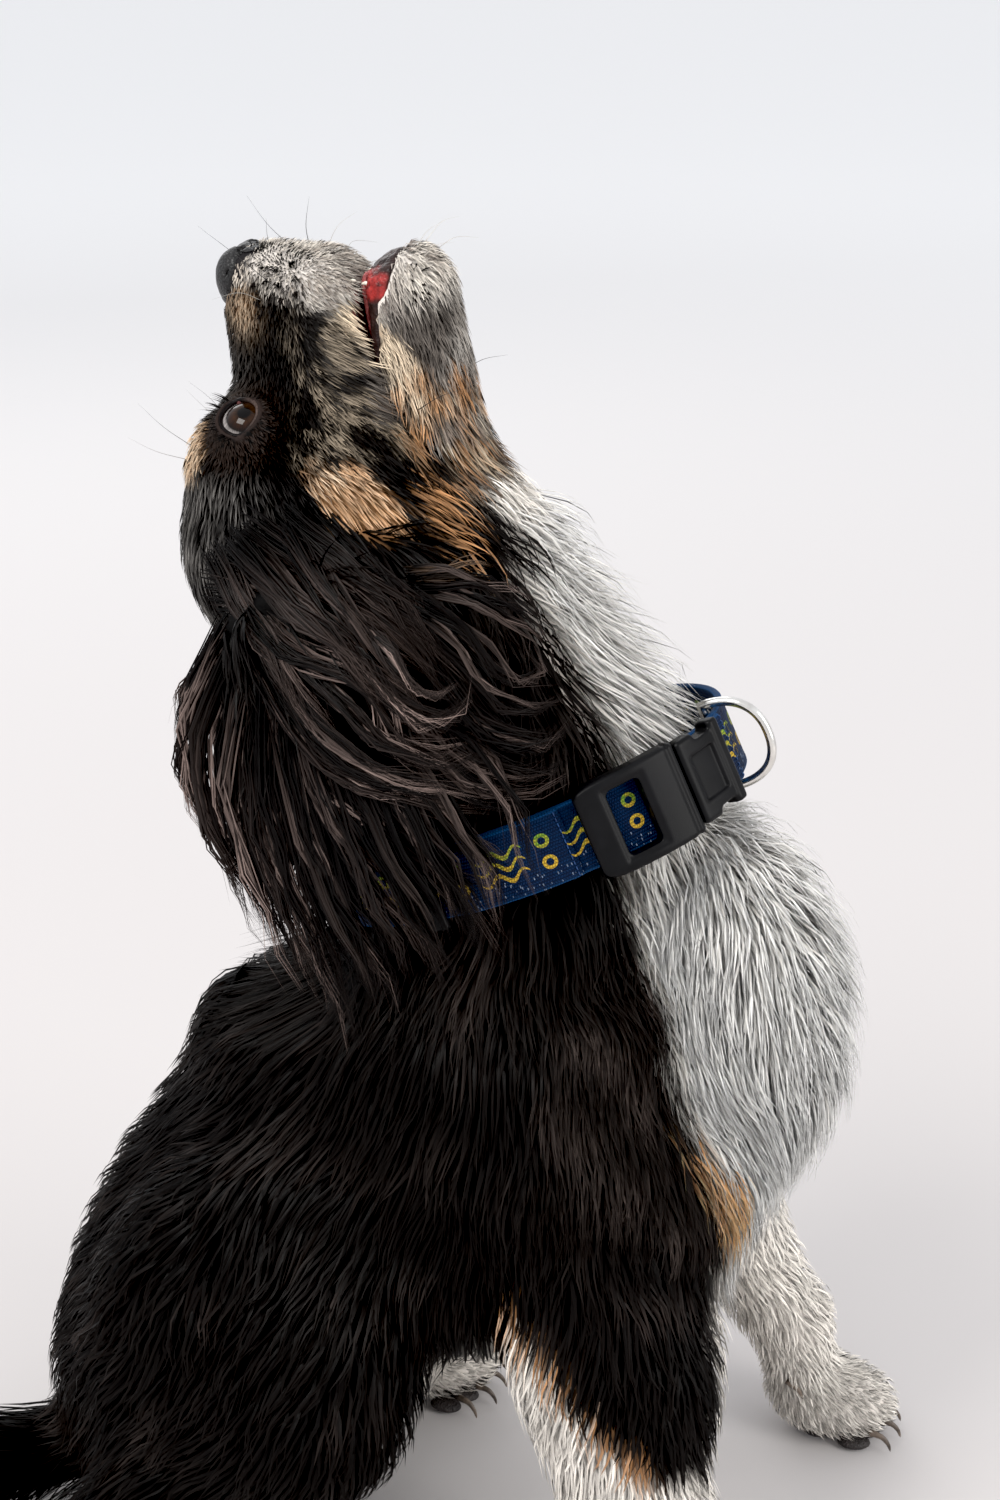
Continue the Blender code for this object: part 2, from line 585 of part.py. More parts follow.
def build():
    clear_scene()
    base = bpy.data.objects.new("dog", None)
    bpy.context.scene.collection.objects.link(base)
    body_prims = [q for q in PRIMS if not q["part"].startswith("ear")]
    body = blend_solid("body", body_prims, VOXEL_BODY, FACES_BODY)
    body = combine(body, half_cell((0, 0, 0), (0, 0, 1))(0.0), "INTERSECT", "body")
    outer = swollen(body, 0.5)

    # the collar
    t, w = STRAP_T / 2.0, STRAP_W / 2.0
    strap = ring_sweep(box_profile(-t, t, -w, w), 0, 360, 40, closed=True)
    groove = ring_sweep(box_profile(-t - 0.4, t + 0.4, -w - 0.4, w + 0.4), 0, 360, 40, closed=True)
    body = combine(body, groove, "DIFFERENCE", "body")
    groove = ring_sweep(box_profile(0.0, 60, -w - 0.41, w + 0.41), -108, 117, 25)
    body = combine(body, groove, "DIFFERENCE", "body")
    female = ring_sweep(box_profile(t + 0.3, t + 7.6, -17.5, 17.5, 2.6), 33, 62, 8)
    window = ring_sweep(box_profile(-4, 30, -12.0, 12.0), 47, 58, 3)
    female = combine(female, window, "DIFFERENCE", "female")
    male = ring_sweep(box_profile(t + 0.3, t + 6.8, -15.5, 15.5, 2.4), 16, 32.5, 5)
    slider = ring_sweep(box_profile(t + 0.3, t + 3.4, -15.5, 15.5, 0.9), 103, 110, 2)
    ring_phi = math.radians(4.0)
    ring = d_ring_mesh(1.6, 15.5, t + 14.5, -t - 2.1, ring_phi)
    ring_room = ring_sweep(box_profile(-t - 4.3, 60, -19.0, 19.0), 1.6, 6.4, 2)
    body = combine(body, ring_room, "DIFFERENCE", "body")
    room = ring_sweep(box_profile(0, 40, -18.2, 18.2), 14.5, 63.5, 10)
    body = combine(body, room, "DIFFERENCE", "body")
    room2 = ring_sweep(box_profile(0, 40, -16.2, 16.2), 101.5, 111.5, 2)
    body = combine(body, room2, "DIFFERENCE", "body")

    # eyes, mouth and tongue
    eyes = {}
    for side, s in (("left", 1.0), ("right", -1.0)):
        c = head_pt(np.array(EYE_POS) * (1, s, 1))
        eyes[side] = ball_mesh(c, EYE_R)
        body = combine(body, ball_mesh(c, EYE_R + 0.35), "DIFFERENCE", "body")
    mouth = hull_cell(dict(kind="limb", a=head_pt((84, 0, -22.3)), b=head_pt((84, 0, -22.9)), ra=3.0, rb=3.0, wide=HX, w=0.2),
                      dict(kind="limb", a=head_pt((84, 24, -23.4)), b=head_pt((84, -24, -23.4)), ra=2.4, rb=2.4, wide=HX, w=0.2),
                      dict(kind="limb", a=head_pt((34, 17, -26.6)), b=head_pt((34, -17, -26.6)), ra=1.3, rb=1.3, wide=HX, w=0.5))
    body = combine(body, mouth(0.0), "DIFFERENCE", "body")

    def tongue_cell(grow):
        return hull_cell(dict(kind="ell", c=head_pt((56, 0, -24.6)), r=np.array([6, 7.5, 2.0]) + grow, m=HR),
                         dict(kind="ell", c=head_pt((43, 0, -25.6)), r=np.array([6, 8.5, 1.5]) + grow, m=HR))(0.0)
    tongue = tongue_cell(0.0)
    body = combine(body, tongue_cell(0.4), "DIFFERENCE", "body")

    # the parting cuts
    ends = [head_pt(p) for p in ((90, 40, -23.2), (90, -40, -23.2), (28, 40, -27.2), (28, -40, -27.2), (90, 40, -80), (90, -40, -80), (2, 40, -80), (2, -40, -80))]

    def jaw_cell(grow):
        bm = bmesh.new()
        mid = np.mean(ends, 0)
        pts = [p + unit(p - mid) * grow * 2.0 for p in ends]
        hull_into(bm, np.array(pts))
        return to_mesh(bm, "cell")
    jaw, body = split(body, jaw_cell, "lower_jaw")
    nose, body = split(body, hull_cell(dict(kind="ell", c=head_pt((68.5, 0, 17.5)), r=np.array([9.5, 13.5, 13.0]), m=HR)), "nose")
    head, body = split(body, half_cell((-108, 0, 345), (-0.568, 0, 0.823)), "head")
    neck, body = split(body, half_cell(COLLAR_O, CZ), "neck")
    fr = [q for q in PRIMS if q["part"] == "fore_r"]
    fl = [q for q in PRIMS if q["part"] == "fore_l"]
    hr = [q for q in PRIMS if q["part"] == "hind_r"]
    hl = [q for q in PRIMS if q["part"] == "hind_l"]
    limbs = {}

    def grown(q, by):
        return dict(q, r=q["r"] + by) if q["kind"] == "ell" else dict(q, ra=q["ra"] + by, rb=q["rb"] + by)
    limbs["foreleg_right"], body = split(body, hull_cell(dict(kind="ell", c=np.array([58, -62, 150.0]), r=np.array([50, 44, 34.0]), m=np.eye(3)), grown(fr[4], 14)), "foreleg_right")
    limbs["foreleg_left"], body = split(body, hull_cell(dict(kind="ell", c=np.array([62, 64, 150.0]), r=np.array([48, 38, 32.0]), m=np.eye(3)), grown(fl[4], 14)), "foreleg_left")
    for side, leg in (("right", hr), ("left", hl)):
        thigh, foot, paw = leg[0], leg[3], leg[4]
        limbs["hindleg_" + side], body = split(body, hull_cell(grown(thigh, 7), grown(leg[1], 10), grown(paw, 9), dict(foot, ra=30.0, rb=26.0)), "hindleg_" + side)
    tl = [q for q in PRIMS if q["part"] == "tail"]
    tail, trunk = split(body, hull_cell(dict(tl[0], a=np.array([-180.0, -34.0, 29.0]), ra=33.0, rb=33.0), grown(tl[1], 9), grown(tl[2], 9), grown(tl[3], 9)), "tail")
    out = {"lower_jaw": (jaw, "coat_white"), "nose": (nose, "nose"), "head": (head, "coat_black"), "neck": (neck, "coat_black"), "trunk": (trunk, "coat_black"), "tail": (tail, "coat_tail")}
    for side in ("right", "left"):
        paw, leg = split(limbs["foreleg_" + side], half_cell((0, 0, 40), (0, 0, -1)), "forepaw_" + side)
        out["foreleg_" + side] = (leg, "coat_black" if side == "right" else "coat_white")
        out["forepaw_" + side] = (paw, "coat_white")
        foot, leg = split(limbs["hindleg_" + side], half_cell((-58, 0, 30), (0.25, 0, -1)), "hind_foot_" + side)
        out["hindleg_" + side] = (leg, "coat_black")
        out["hind_foot_" + side] = (foot, "coat_white")
        ear = blend_solid("ear_" + side, [q for q in PRIMS if q["part"] == ("ear_r" if side == "right" else "ear_l")], VOXEL_EAR, FACES_EAR)
        ear = combine(ear, outer.copy(), "DIFFERENCE", "ear_" + side)
        out["ear_" + side] = (ear, "coat_black")
        out["eye_" + side] = (eyes[side], "eye")
    out["tongue"] = (tongue, "mouth")
    out["collar_strap"] = (strap, "webbing")
    out["collar_buckle_female"] = (female, "buckle_plastic")
    out["collar_buckle_male"] = (male, "buckle_plastic")
    out["collar_slider"] = (slider, "buckle_plastic")
    out["collar_d_ring"] = (ring, "ring_metal")
    total = 0
    low, high = np.full(3, 1e9), np.full(3, -1e9)
    for name, (me, slot) in out.items():
        ob = finish(name, me, slot, base)
        P = coords(ob.data)
        low, high = np.minimum(low, P.min(0)), np.maximum(high, P.max(0))
        n = len(ob.data.polygons)
        total += n
        print("%-22s %6d triangles" % (name, n))
    print("total", total, "box", np.round(low, 2), np.round(high, 2), "middle", np.round((low + high) / 2, 2))
    for me in list(bpy.data.meshes):
        if me.users == 0:
            bpy.data.meshes.remove(me)


CELL_BALL = unit_ball(2)
build()
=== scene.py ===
"""A small tricolour spaniel-type dog sitting with its head thrown back: skin, coat, eyes, mouth, claws and collar."""
import math
import time

import bmesh
import bpy
import numpy as np
from mathutils import Matrix, Vector


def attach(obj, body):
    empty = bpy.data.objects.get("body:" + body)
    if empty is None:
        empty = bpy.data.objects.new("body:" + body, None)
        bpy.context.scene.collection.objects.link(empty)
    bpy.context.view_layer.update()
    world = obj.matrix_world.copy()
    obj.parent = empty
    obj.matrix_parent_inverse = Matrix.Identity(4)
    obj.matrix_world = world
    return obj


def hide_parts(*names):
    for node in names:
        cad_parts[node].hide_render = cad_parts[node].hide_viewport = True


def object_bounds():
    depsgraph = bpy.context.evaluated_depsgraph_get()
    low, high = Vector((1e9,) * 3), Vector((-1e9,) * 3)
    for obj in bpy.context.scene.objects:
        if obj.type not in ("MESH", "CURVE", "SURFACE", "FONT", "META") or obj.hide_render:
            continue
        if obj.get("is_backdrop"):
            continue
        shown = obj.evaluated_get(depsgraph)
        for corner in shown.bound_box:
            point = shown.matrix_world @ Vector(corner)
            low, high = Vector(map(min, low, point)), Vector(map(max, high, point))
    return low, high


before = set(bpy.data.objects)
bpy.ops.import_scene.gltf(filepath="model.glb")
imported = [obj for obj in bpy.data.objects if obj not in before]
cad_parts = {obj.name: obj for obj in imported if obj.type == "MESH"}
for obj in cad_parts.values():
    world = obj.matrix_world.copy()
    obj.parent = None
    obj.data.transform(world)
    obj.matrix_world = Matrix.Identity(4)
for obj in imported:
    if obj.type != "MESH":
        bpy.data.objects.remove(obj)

T_START = time.time()
CAD_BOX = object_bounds()
rng = np.random.default_rng(20261122)
SHIFT = np.array([88.27, -3.77, 0.0])      # millimetres from the drawing frame below to the part's frame
EYE_R = 10.4
EYE_POS = (14.6, 22.4, 16.8)
STRAP_A, STRAP_B, STRAP_W, STRAP_T = 78.0, 60.0, 25.4, 2.4


def log(*a):
    print("[scene %5.1fs]" % (time.time() - T_START), *a)



# ---- shape of the dog: smooth unions of ellipsoids and tapered limbs, in millimetres, +X towards the chest, +Y the dog's left, floor at Z = 0
def unit(v):
    v = np.asarray(v, float)
    return v / np.linalg.norm(v)


HEAD_PITCH = math.radians(97.0)          # muzzle direction above the horizontal: the dog looks straight up and a little back
HEAD_O = np.array([-62.0, 0.0, 440.0])   # origin of the head's own frame, between the eyes and low in the skull
HX = np.array([math.cos(HEAD_PITCH), 0.0, math.sin(HEAD_PITCH)])     # towards the nose
HZ = np.array([-math.sin(HEAD_PITCH), 0.0, math.cos(HEAD_PITCH)])    # towards the crown
HR = np.stack([HX, [0.0, 1.0, 0.0], HZ], 1)                          # head frame to world
COLLAR_O = np.array([9.7, 0.0, 318.8])  # centre of the collar
COLLAR_TILT = math.radians(24.0)
CX = np.array([math.cos(COLLAR_TILT), 0.0, math.sin(COLLAR_TILT)])   # towards the throat
CZ = np.array([-math.sin(COLLAR_TILT), 0.0, math.cos(COLLAR_TILT)])  # up the neck


def rot_y(deg):
    c, s = math.cos(math.radians(deg)), math.sin(math.radians(deg))
    return np.array([[c, 0, -s], [0, 1, 0], [s, 0, c]])   # turns +X towards +Z


def rot_z(deg):
    c, s = math.cos(math.radians(deg)), math.sin(math.radians(deg))
    return np.array([[c, -s, 0], [s, c, 0], [0, 0, 1]])


def rot_x(deg):
    c, s = math.cos(math.radians(deg)), math.sin(math.radians(deg))
    return np.array([[1, 0, 0], [0, c, -s], [0, s, c]])


PRIMS = []


def ell(part, c, r, rot=None, k=20.0, coat=8.0, flow=(0, 0, -1), sides=1, cut=False):
    """An ellipsoid. sides = 2 also makes its mirror image in Y."""
    c, r = np.asarray(c, float), np.asarray(r, float)
    m = np.eye(3) if rot is None else np.asarray(rot, float)
    PRIMS.append(dict(kind="ell", part=part, c=c, r=r, m=m, k=k, coat=coat, flow=unit(flow), cut=cut))
    if sides == 2:
        f = np.array([1.0, -1.0, 1.0])
        PRIMS.append(dict(kind="ell", part=other_side(part), c=c * f, r=r, m=(m.T * f).T * f, k=k, coat=coat, flow=unit(np.asarray(flow, float) * f), cut=cut))


def limb(part, a, b, ra, rb, k=20.0, coat=8.0, flow=None, wide=(0, 1, 0), w=1.0, sides=1, cut=False):
    """A tapered capsule from a to b. Its section is w times as wide along the direction wide."""
    a, b = np.asarray(a, float), np.asarray(b, float)
    fl = unit(b - a) if flow is None else unit(flow)
    PRIMS.append(dict(kind="limb", part=part, a=a, b=b, ra=ra, rb=rb, k=k, coat=coat, flow=fl, wide=unit(wide), w=w, cut=cut))
    if sides == 2:
        f = np.array([1.0, -1.0, 1.0])
        PRIMS.append(dict(kind="limb", part=other_side(part), a=a * f, b=b * f, ra=ra, rb=rb, k=k, coat=coat, flow=unit(fl * f), wide=unit(np.asarray(wide, float) * f), w=w, cut=cut))


def other_side(part):
    return part.replace("_r", "_l") if part.endswith("_r") else part


def head_pt(p):
    return HEAD_O + HR @ np.asarray(p, float)


def hell(part, c, r, rot=None, k=10.0, coat=3.0, flow=(-1, 0, 0), sides=1, cut=False):
    """An ellipsoid given in the head's frame."""
    m = np.eye(3) if rot is None else np.asarray(rot, float)
    c, r = np.asarray(c, float), np.asarray(r, float)
    f = np.array([1.0, -1.0, 1.0])
    for s in range(sides):
        cc, mm, fl = (c, m, np.asarray(flow, float)) if s == 0 else (c * f, (m.T * f).T * f, np.asarray(flow, float) * f)
        PRIMS.append(dict(kind="ell", part=part if s == 0 else other_side(part), c=head_pt(cc), r=r, m=HR @ mm, k=k, coat=coat, flow=unit(HR @ fl), cut=cut))


def hlimb(part, a, b, ra, rb, k=10.0, coat=3.0, flow=(-1, 0, 0), wide=(0, 1, 0), w=1.0, sides=1, cut=False):
    f = np.array([1.0, -1.0, 1.0])
    for s in range(sides):
        g = 1.0 if s == 0 else f
        PRIMS.append(dict(kind="limb", part=part if s == 0 else other_side(part), a=head_pt(np.asarray(a, float) * g), b=head_pt(np.asarray(b, float) * g), ra=ra, rb=rb, k=k, coat=coat,
                          flow=unit(HR @ (np.asarray(flow, float) * g)), wide=unit(HR @ (np.asarray(wide, float) * g)), w=w, cut=cut))


def prim_dist(q, P):
    """Distance from the points P to one primitive, near its surface."""
    if q["kind"] == "ell":
        L = (P - q["c"]) @ q["m"]
        k0 = np.sqrt(((L / q["r"]) ** 2).sum(-1))
        k1 = np.sqrt(((L / q["r"] ** 2) ** 2).sum(-1)) + 1e-9
        return k0 * (k0 - 1.0) / k1
    n, w = q["wide"], q["w"]
    a, b = q["a"], q["b"]
    Q = P - a
    ab = b - a
    if w != 1.0:
        Q = Q + np.outer(Q @ n, n) * (1.0 / w - 1.0)
        ab = ab + (ab @ n) * n * (1.0 / w - 1.0)
    L2 = ab @ ab
    t = np.clip((Q @ ab) / L2, 0.0, 1.0)
    # widen the parameter so that a taper meets its end balls without a step
    s = (q["ra"] - q["rb"]) / math.sqrt(L2)
    rad = np.sqrt(np.maximum((Q * Q).sum(-1) - (Q @ ab) ** 2 / L2, 0.0))
    t = np.clip((Q @ ab) / L2 + rad * s / math.sqrt(max(L2 * (1 - s * s), 1e-9)), 0.0, 1.0)
    d = np.sqrt(((Q - t[:, None] * ab) ** 2).sum(-1)) - (q["ra"] + (q["rb"] - q["ra"]) * t)
    return d * min(1.0, w)


def prim_box(q, pad):
    if q["kind"] == "ell":
        e = np.sqrt(((q["m"] * q["r"]) ** 2).sum(1))
        return q["c"] - e - pad, q["c"] + e + pad
    r = max(q["ra"], q["rb"]) * max(1.0, q["w"])
    return np.minimum(q["a"], q["b"]) - r - pad, np.maximum(q["a"], q["b"]) + r + pad


def smin(a, b, k):
    h = np.maximum(k - np.abs(a - b), 0.0) / k
    return np.minimum(a, b) - h * h * k * 0.25


# ---- the body
ell("trunk", (-32, 0, 199), (108, 74, 92), rot_y(57), 30, 12, (-0.62, 0, -0.78))                 # rib cage
ell("trunk", (-90, 0, 112), (92, 68, 82), rot_y(62), 30, 12, (-0.6, 0, -0.8))                    # loin and belly
ell("trunk", (-120, 0, 64), (66, 78, 66), None, 30, 12, (-0.5, 0, -0.86))                        # rump
ell("trunk", (38, 0, 232), (70, 66, 82), rot_y(70), 30, 16, (-0.2, 0, -1))                       # fore chest
ell("trunk", (81, 0, 250), (55, 52, 86), rot_y(4), 26, 24, (0.2, 0, -1))                         # mane on the breast
ell("trunk", (-50, 0, 255), (44, 50, 46), rot_y(30), 24, 16, (-0.5, 0, -0.85))                   # withers and scruff
ell("trunk_r", (-2, -26, 148), (56, 44, 46), None, 22, 14, (0.1, 0, -1), sides=2)                 # flank and belly
ell("trunk_r", (28, -42, 222), (54, 40, 80), rot_y(62), 30, 11, (0.12, 0, -1), sides=2)          # shoulder
limb("neck", (4, 0, 262), (2, 0, 318), 72, 66, 34, 15, (0.0, 0, -1), w=0.90)                     # base of the neck
limb("neck", (2, 0, 318), (-30, 0, 386), 66, 57, 26, 14, (-0.1, 0, -1), w=0.88)                  # neck
ell("neck", (6, 0, 386), (33, 44, 66), rot_y(32), 22, 18, (0.35, 0, -1))                         # fluff of the throat
# near foreleg (the dog's right) stands straight, the far one is splayed forwards and out
limb("fore_r", (52, -56, 186), (60, -62, 132), 44, 38, 24, 9, (0.08, 0, -1), w=0.80)             # upper arm
limb("fore_r", (61, -62, 134), (73, -66, 60), 38, 28, 14, 7, (0.1, 0, -1), w=0.78)               # forearm
limb("fore_r", (46, -62, 122), (60, -66, 66), 22, 15, 16, 9, (-0.25, 0, -1), w=0.7)              # feathering behind it
limb("fore_r", (76, -66, 62), (80, -67, 30), 27, 24, 10, 5, (0.1, 0, -1), w=0.90)                # wrist and pastern
ell("fore_r", (95, -67, 20), (36, 26, 21), rot_y(-6), 10, 4, (0.9, 0, -0.45))                    # paw
limb("fore_l", (50, 52, 190), (66, 62, 138), 44, 31, 24, 9, (0.1, 0.1, -1), w=0.80)
limb("fore_l", (68, 63, 138), (101, 90, 58), 29, 19, 14, 6, (0.35, 0.25, -1), w=0.85)
limb("fore_l", (58, 66, 124), (86, 88, 66), 18, 12, 14, 8, (0.1, 0.2, -1), w=0.7)
limb("fore_l", (101, 90, 60), (108, 96, 26), 19, 17, 10, 4, (0.3, 0.1, -1), w=0.95)
ell("fore_l", (121, 98, 16.4), (29, 21, 17.8), rot_z(6) @ rot_y(-6), 10, 4, (0.9, 0.1, -0.45))
# hind legs folded under: thigh, knee, shank, foot flat on the floor
ell("hind_r", (-80, -56, 122), (66, 36, 90), rot_y(-26), 18, 12, (-0.35, 0, -1), sides=2)        # thigh
limb("hind_r", (-46, -66, 132), (-52, -72, 92), 34, 32, 20, 10, (-0.2, 0, -1), sides=2)          # knee
limb("hind_r", (-54, -72, 100), (-124, -74, 40), 34, 25, 20, 10, (-0.6, 0, -0.8), w=0.9, sides=2)  # shank
limb("hind_r", (-138, -74, 21), (-74, -80, 17), 22, 17.5, 12, 5, (1, -0.1, -0.2), w=1.05, sides=2)  # hind foot
ell("hind_r", (-54, -82, 18), (34, 25, 19.5), rot_z(-5), 10, 4, (0.95, -0.1, -0.3), sides=2)       # hind paw
# tail, laid on the floor behind and swung to the right
limb("tail", (-158, -16, 32), (-200, -50, 25), 25, 24, 20, 15, (-0.85, -0.5, -0.1))
limb("tail", (-200, -50, 25), (-246, -78, 24), 24, 24, 14, 16, (-0.9, -0.5, 0))
limb("tail", (-246, -78, 24), (-288, -90, 21), 24, 18, 14, 16, (-1, -0.2, 0))
limb("tail", (-288, -90, 21), (-318, -88, 12), 18, 8, 14, 12, (-1, 0.1, 0))
# ---- the head, in its own frame
hell("head", (-31, 0, 12), (49, 43, 45), rot_y(4), 16, 4.5, (-1, 0, 0))                          # cranium
hell("head", (-2, 0, 13), (30, 32, 31), None, 14, 3.0, (-1, 0, 0.1))                             # forehead
hell("head", (3, -15, 30), (15, 12, 12), None, 10, 2.6, (-1, -0.3, 0.2), sides=2)                # brow
hell("head", (-18, -21, -14), (42, 24, 33), rot_y(-10), 18, 7, (-1, -0.1, -0.15), sides=2)       # cheek
hell("head", (-34, 0, -36), (40, 40, 32), rot_y(-24), 22, 10, (-1, 0, -0.35))                    # angle of the jaw
hlimb("head", (20, 0, 6), (57, 0, 9), 22, 18.5, 10, 2.2, (-1, 0, 0), w=0.98)                       # bridge of the muzzle
hlimb("head", (18, -11, -9), (56, -9.5, -7), 18, 15, 10, 2.6, (-1, -0.1, -0.35), sides=2)        # upper lips
hlimb("head", (20, -15, -18.5), (54, -12.5, -16.5), 8.6, 7.0, 8, 2.0, (-1, -0.1, -0.45), sides=2)   # hanging edge of the upper lips
hell("head", (63, 0, 18.5), (11, 12.5, 10.5), None, 5, 1.0, (-1, 0, 0))                          # nose
hlimb("jaw", (6, 0, -40), (54, 0, -41), 20, 14, 12, 4.5, (-1, 0, -0.1), w=1.05)                  # lower jaw
hell("jaw", (57, 0, -40), (13, 15, 11), None, 8, 4.0, (-1, 0, -0.3))                             # chin
hell("jaw", (59, 0, -34.5), (11, 12.5, 9.5), None, 3, 1.2, (-1, 0, -0.3))                         # lower lip
hlimb("jaw", (24, -14, -34.5), (58, -9.5, -32.8), 7.6, 6.6, 5, 2.0, (-1, -0.1, -0.3), sides=2)       # sides of the lower lip
# ---- the ears: flaps of long hair that hang from the side of the skull beside the neck
limb("ear_r", (-26, -44, 414), (-56, -62, 366), 26, 34, 16, 9, (-0.4, -0.1, -1), wide=(0.1, 1, 0.15), w=0.36)
limb("ear_r", (-56, -62, 366), (-56, -66, 306), 34, 24, 14, 12, (0.0, 0, -1), wide=(0, 1, 0.05), w=0.36)
limb("ear_r", (-48, -66, 320), (-44, -72, 284), 22, 12, 12, 12, (0.15, 0, -1), wide=(0, 1, 0), w=0.42)
limb("ear_r", (-26, -50, 412), (4, -64, 402), 26, 20, 14, 12, (0.6, -0.2, -0.7), wide=(0.05, 1, 0.2), w=0.38)
limb("ear_r", (-20, -60, 388), (22, -72, 364), 28, 19, 14, 12, (0.5, -0.2, -0.8), wide=(0.05, 1, 0.1), w=0.38)
limb("ear_r", (-66, -48, 376), (-80, -48, 318), 25, 16, 14, 12, (-0.2, 0.1, -1), wide=(0.2, 1, 0.1), w=0.42)
limb("ear_l", (-34, 44, 412), (-58, 60, 366), 24, 30, 16, 9, (-0.4, 0.1, -1), wide=(-0.1, 1, -0.15), w=0.36)
limb("ear_l", (-58, 60, 366), (-56, 66, 306), 31, 24, 14, 12, (0.0, 0, -1), wide=(0, 1, -0.05), w=0.36)
limb("ear_l", (-50, 66, 320), (-46, 70, 286), 22, 12, 12, 12, (0.15, 0, -1), wide=(0, 1, 0), w=0.42)
limb("ear_l", (-44, 58, 396), (-28, 68, 348), 22, 20, 14, 12, (0.3, 0.2, -1), wide=(-0.05, 1, -0.1), w=0.38)



# ------------------------------------------------------------------ ears' leather, under their hair
EAR_PRIMS = [q for q in PRIMS if q["part"].startswith("ear")]
BODY_PRIMS = [q for q in PRIMS if not q["part"].startswith("ear")]
_keep = PRIMS
PRIMS = []
for s in (-1.0, 1.0):
    nm = "ear_r" if s < 0 else "ear_l"
    limb(nm, (-28, 41 * s, 412), (-48, 58 * s, 378), 17, 24, 9, 0, (-0.3, 0.1 * s, -1), wide=(0.1, 1, 0.15), w=0.15)
    limb(nm, (-48, 58 * s, 378), (-56, 63.5 * s, 338), 26, 20, 7, 0, (-0.1, 0, -1), wide=(0, 1, 0.05), w=0.14)
EAR_LEATHER = PRIMS
PRIMS = _keep

# ------------------------------------------------------------------ lattices of the coat's outline, depth and lie
STEP = 3.5
LO = np.array([-335.0, -125.0, -12.0])
HI = np.array([165.0, 130.0, 530.0])


def axis_range(lo, hi, step):
    return lo + step * np.arange(int(math.ceil((hi - lo) / step)) + 1)


LAX = [axis_range(LO[k], HI[k], STEP) for k in range(3)]


def window(axes, lo, hi):
    out = []
    for k in range(3):
        a = int(np.searchsorted(axes[k], lo[k]))
        b = int(np.searchsorted(axes[k], hi[k]))
        out.append(slice(a, max(b, a)))
    return tuple(out)


def lattice_points(axes, sl):
    g = np.stack(np.meshgrid(*[axes[k][sl[k]] for k in range(3)], indexing="ij"), -1)
    return g.reshape(-1, 3), g.shape[:3]


def lattice_field(axes, prims, pad, far=60.0, fur=False, tau=7.0):
    shape = tuple(len(a) for a in axes)
    d = np.full(shape, far, np.float32)
    if fur:
        ws = np.full(shape, 1e-9, np.float32)
        cs = np.zeros(shape, np.float32)
        fs = np.zeros(shape + (3,), np.float32)
    for q in prims:
        lo, hi = prim_box(q, pad)
        sl = window(axes, lo, hi)
        P, sh = lattice_points(axes, sl)
        if not len(P):
            continue
        e = prim_dist(q, P).reshape(sh).astype(np.float32)
        d[sl] = smin(d[sl], e, q["k"])
        if fur:
            w = np.exp(-np.clip(e, -12.0, 60.0) / tau)
            ws[sl] += w
            cs[sl] += w * q["coat"]
            fs[sl] += w[..., None] * q["flow"].astype(np.float32)
    if not fur:
        return d
    fs /= np.linalg.norm(fs, axis=-1, keepdims=True) + 1e-9
    return d, cs / ws, fs


def sample(axes, G, P):
    """Trilinear value of the lattice G at the points P."""
    idx, fr = [], []
    for k in range(3):
        a = axes[k]
        i = np.clip(np.searchsorted(a, P[:, k]) - 1, 0, len(a) - 2)
        idx.append(i)
        fr.append(np.clip((P[:, k] - a[i]) / (a[i + 1] - a[i]), 0.0, 1.0))
    out = 0.0
    for dx in (0, 1):
        wx = fr[0] if dx else 1.0 - fr[0]
        for dy in (0, 1):
            wy = fr[1] if dy else 1.0 - fr[1]
            for dz in (0, 1):
                wz = fr[2] if dz else 1.0 - fr[2]
                w = wx * wy * wz
                v = G[idx[0] + dx, idx[1] + dy, idx[2] + dz]
                out = out + (w[:, None] * v if v.ndim == 2 else w * v)
    return out


OUT_D, COAT_D, FLOW = lattice_field(LAX, BODY_PRIMS, 40.0, fur=True)
log("lattice", OUT_D.shape)


def box_blur(G, n=1):
    for _ in range(n):
        for ax in range(3):
            G = (np.roll(G, 1, ax) + 2 * G + np.roll(G, -1, ax)) / 4.0
    return G


COAT_D = box_blur(COAT_D, 3)
for k in range(3):
    FLOW[..., k] = box_blur(FLOW[..., k], 3)
FLOW /= np.linalg.norm(FLOW, axis=-1, keepdims=True) + 1e-9

# ------------------------------------------------------------------ the skin: a finer net on the head
def smax(a, b, k):
    return -smin(-a, -b, k)


def head_local(P):
    return (P - HEAD_O) @ HR


EYE_C = np.array(EYE_POS)
GAZE = unit((0.791, 0.625, 0.140))           # middle of the left eye's opening, in the head's frame
SLIT = unit(np.cross(np.cross(GAZE, unit((0.57, -0.84, 0.27))), GAZE))   # from the outer to the inner corner
LIDUP = unit(np.cross(SLIT, GAZE))
if LIDUP[2] < 0:
    LIDUP = -LIDUP


def eye_angles(L):
    """Directions from the eye's centre, as angles along the slit and across it, for points in the head's frame."""
    M = L * np.array([1.0, 1.0, 1.0])
    M[:, 1] = np.abs(M[:, 1])
    v = M - EYE_C
    r = np.linalg.norm(v, axis=1) + 1e-9
    v = v / r[:, None]
    g = v @ GAZE
    a = np.arctan2(v @ SLIT, g)
    b = np.arctan2(v @ LIDUP, g)
    return r, a, b, g


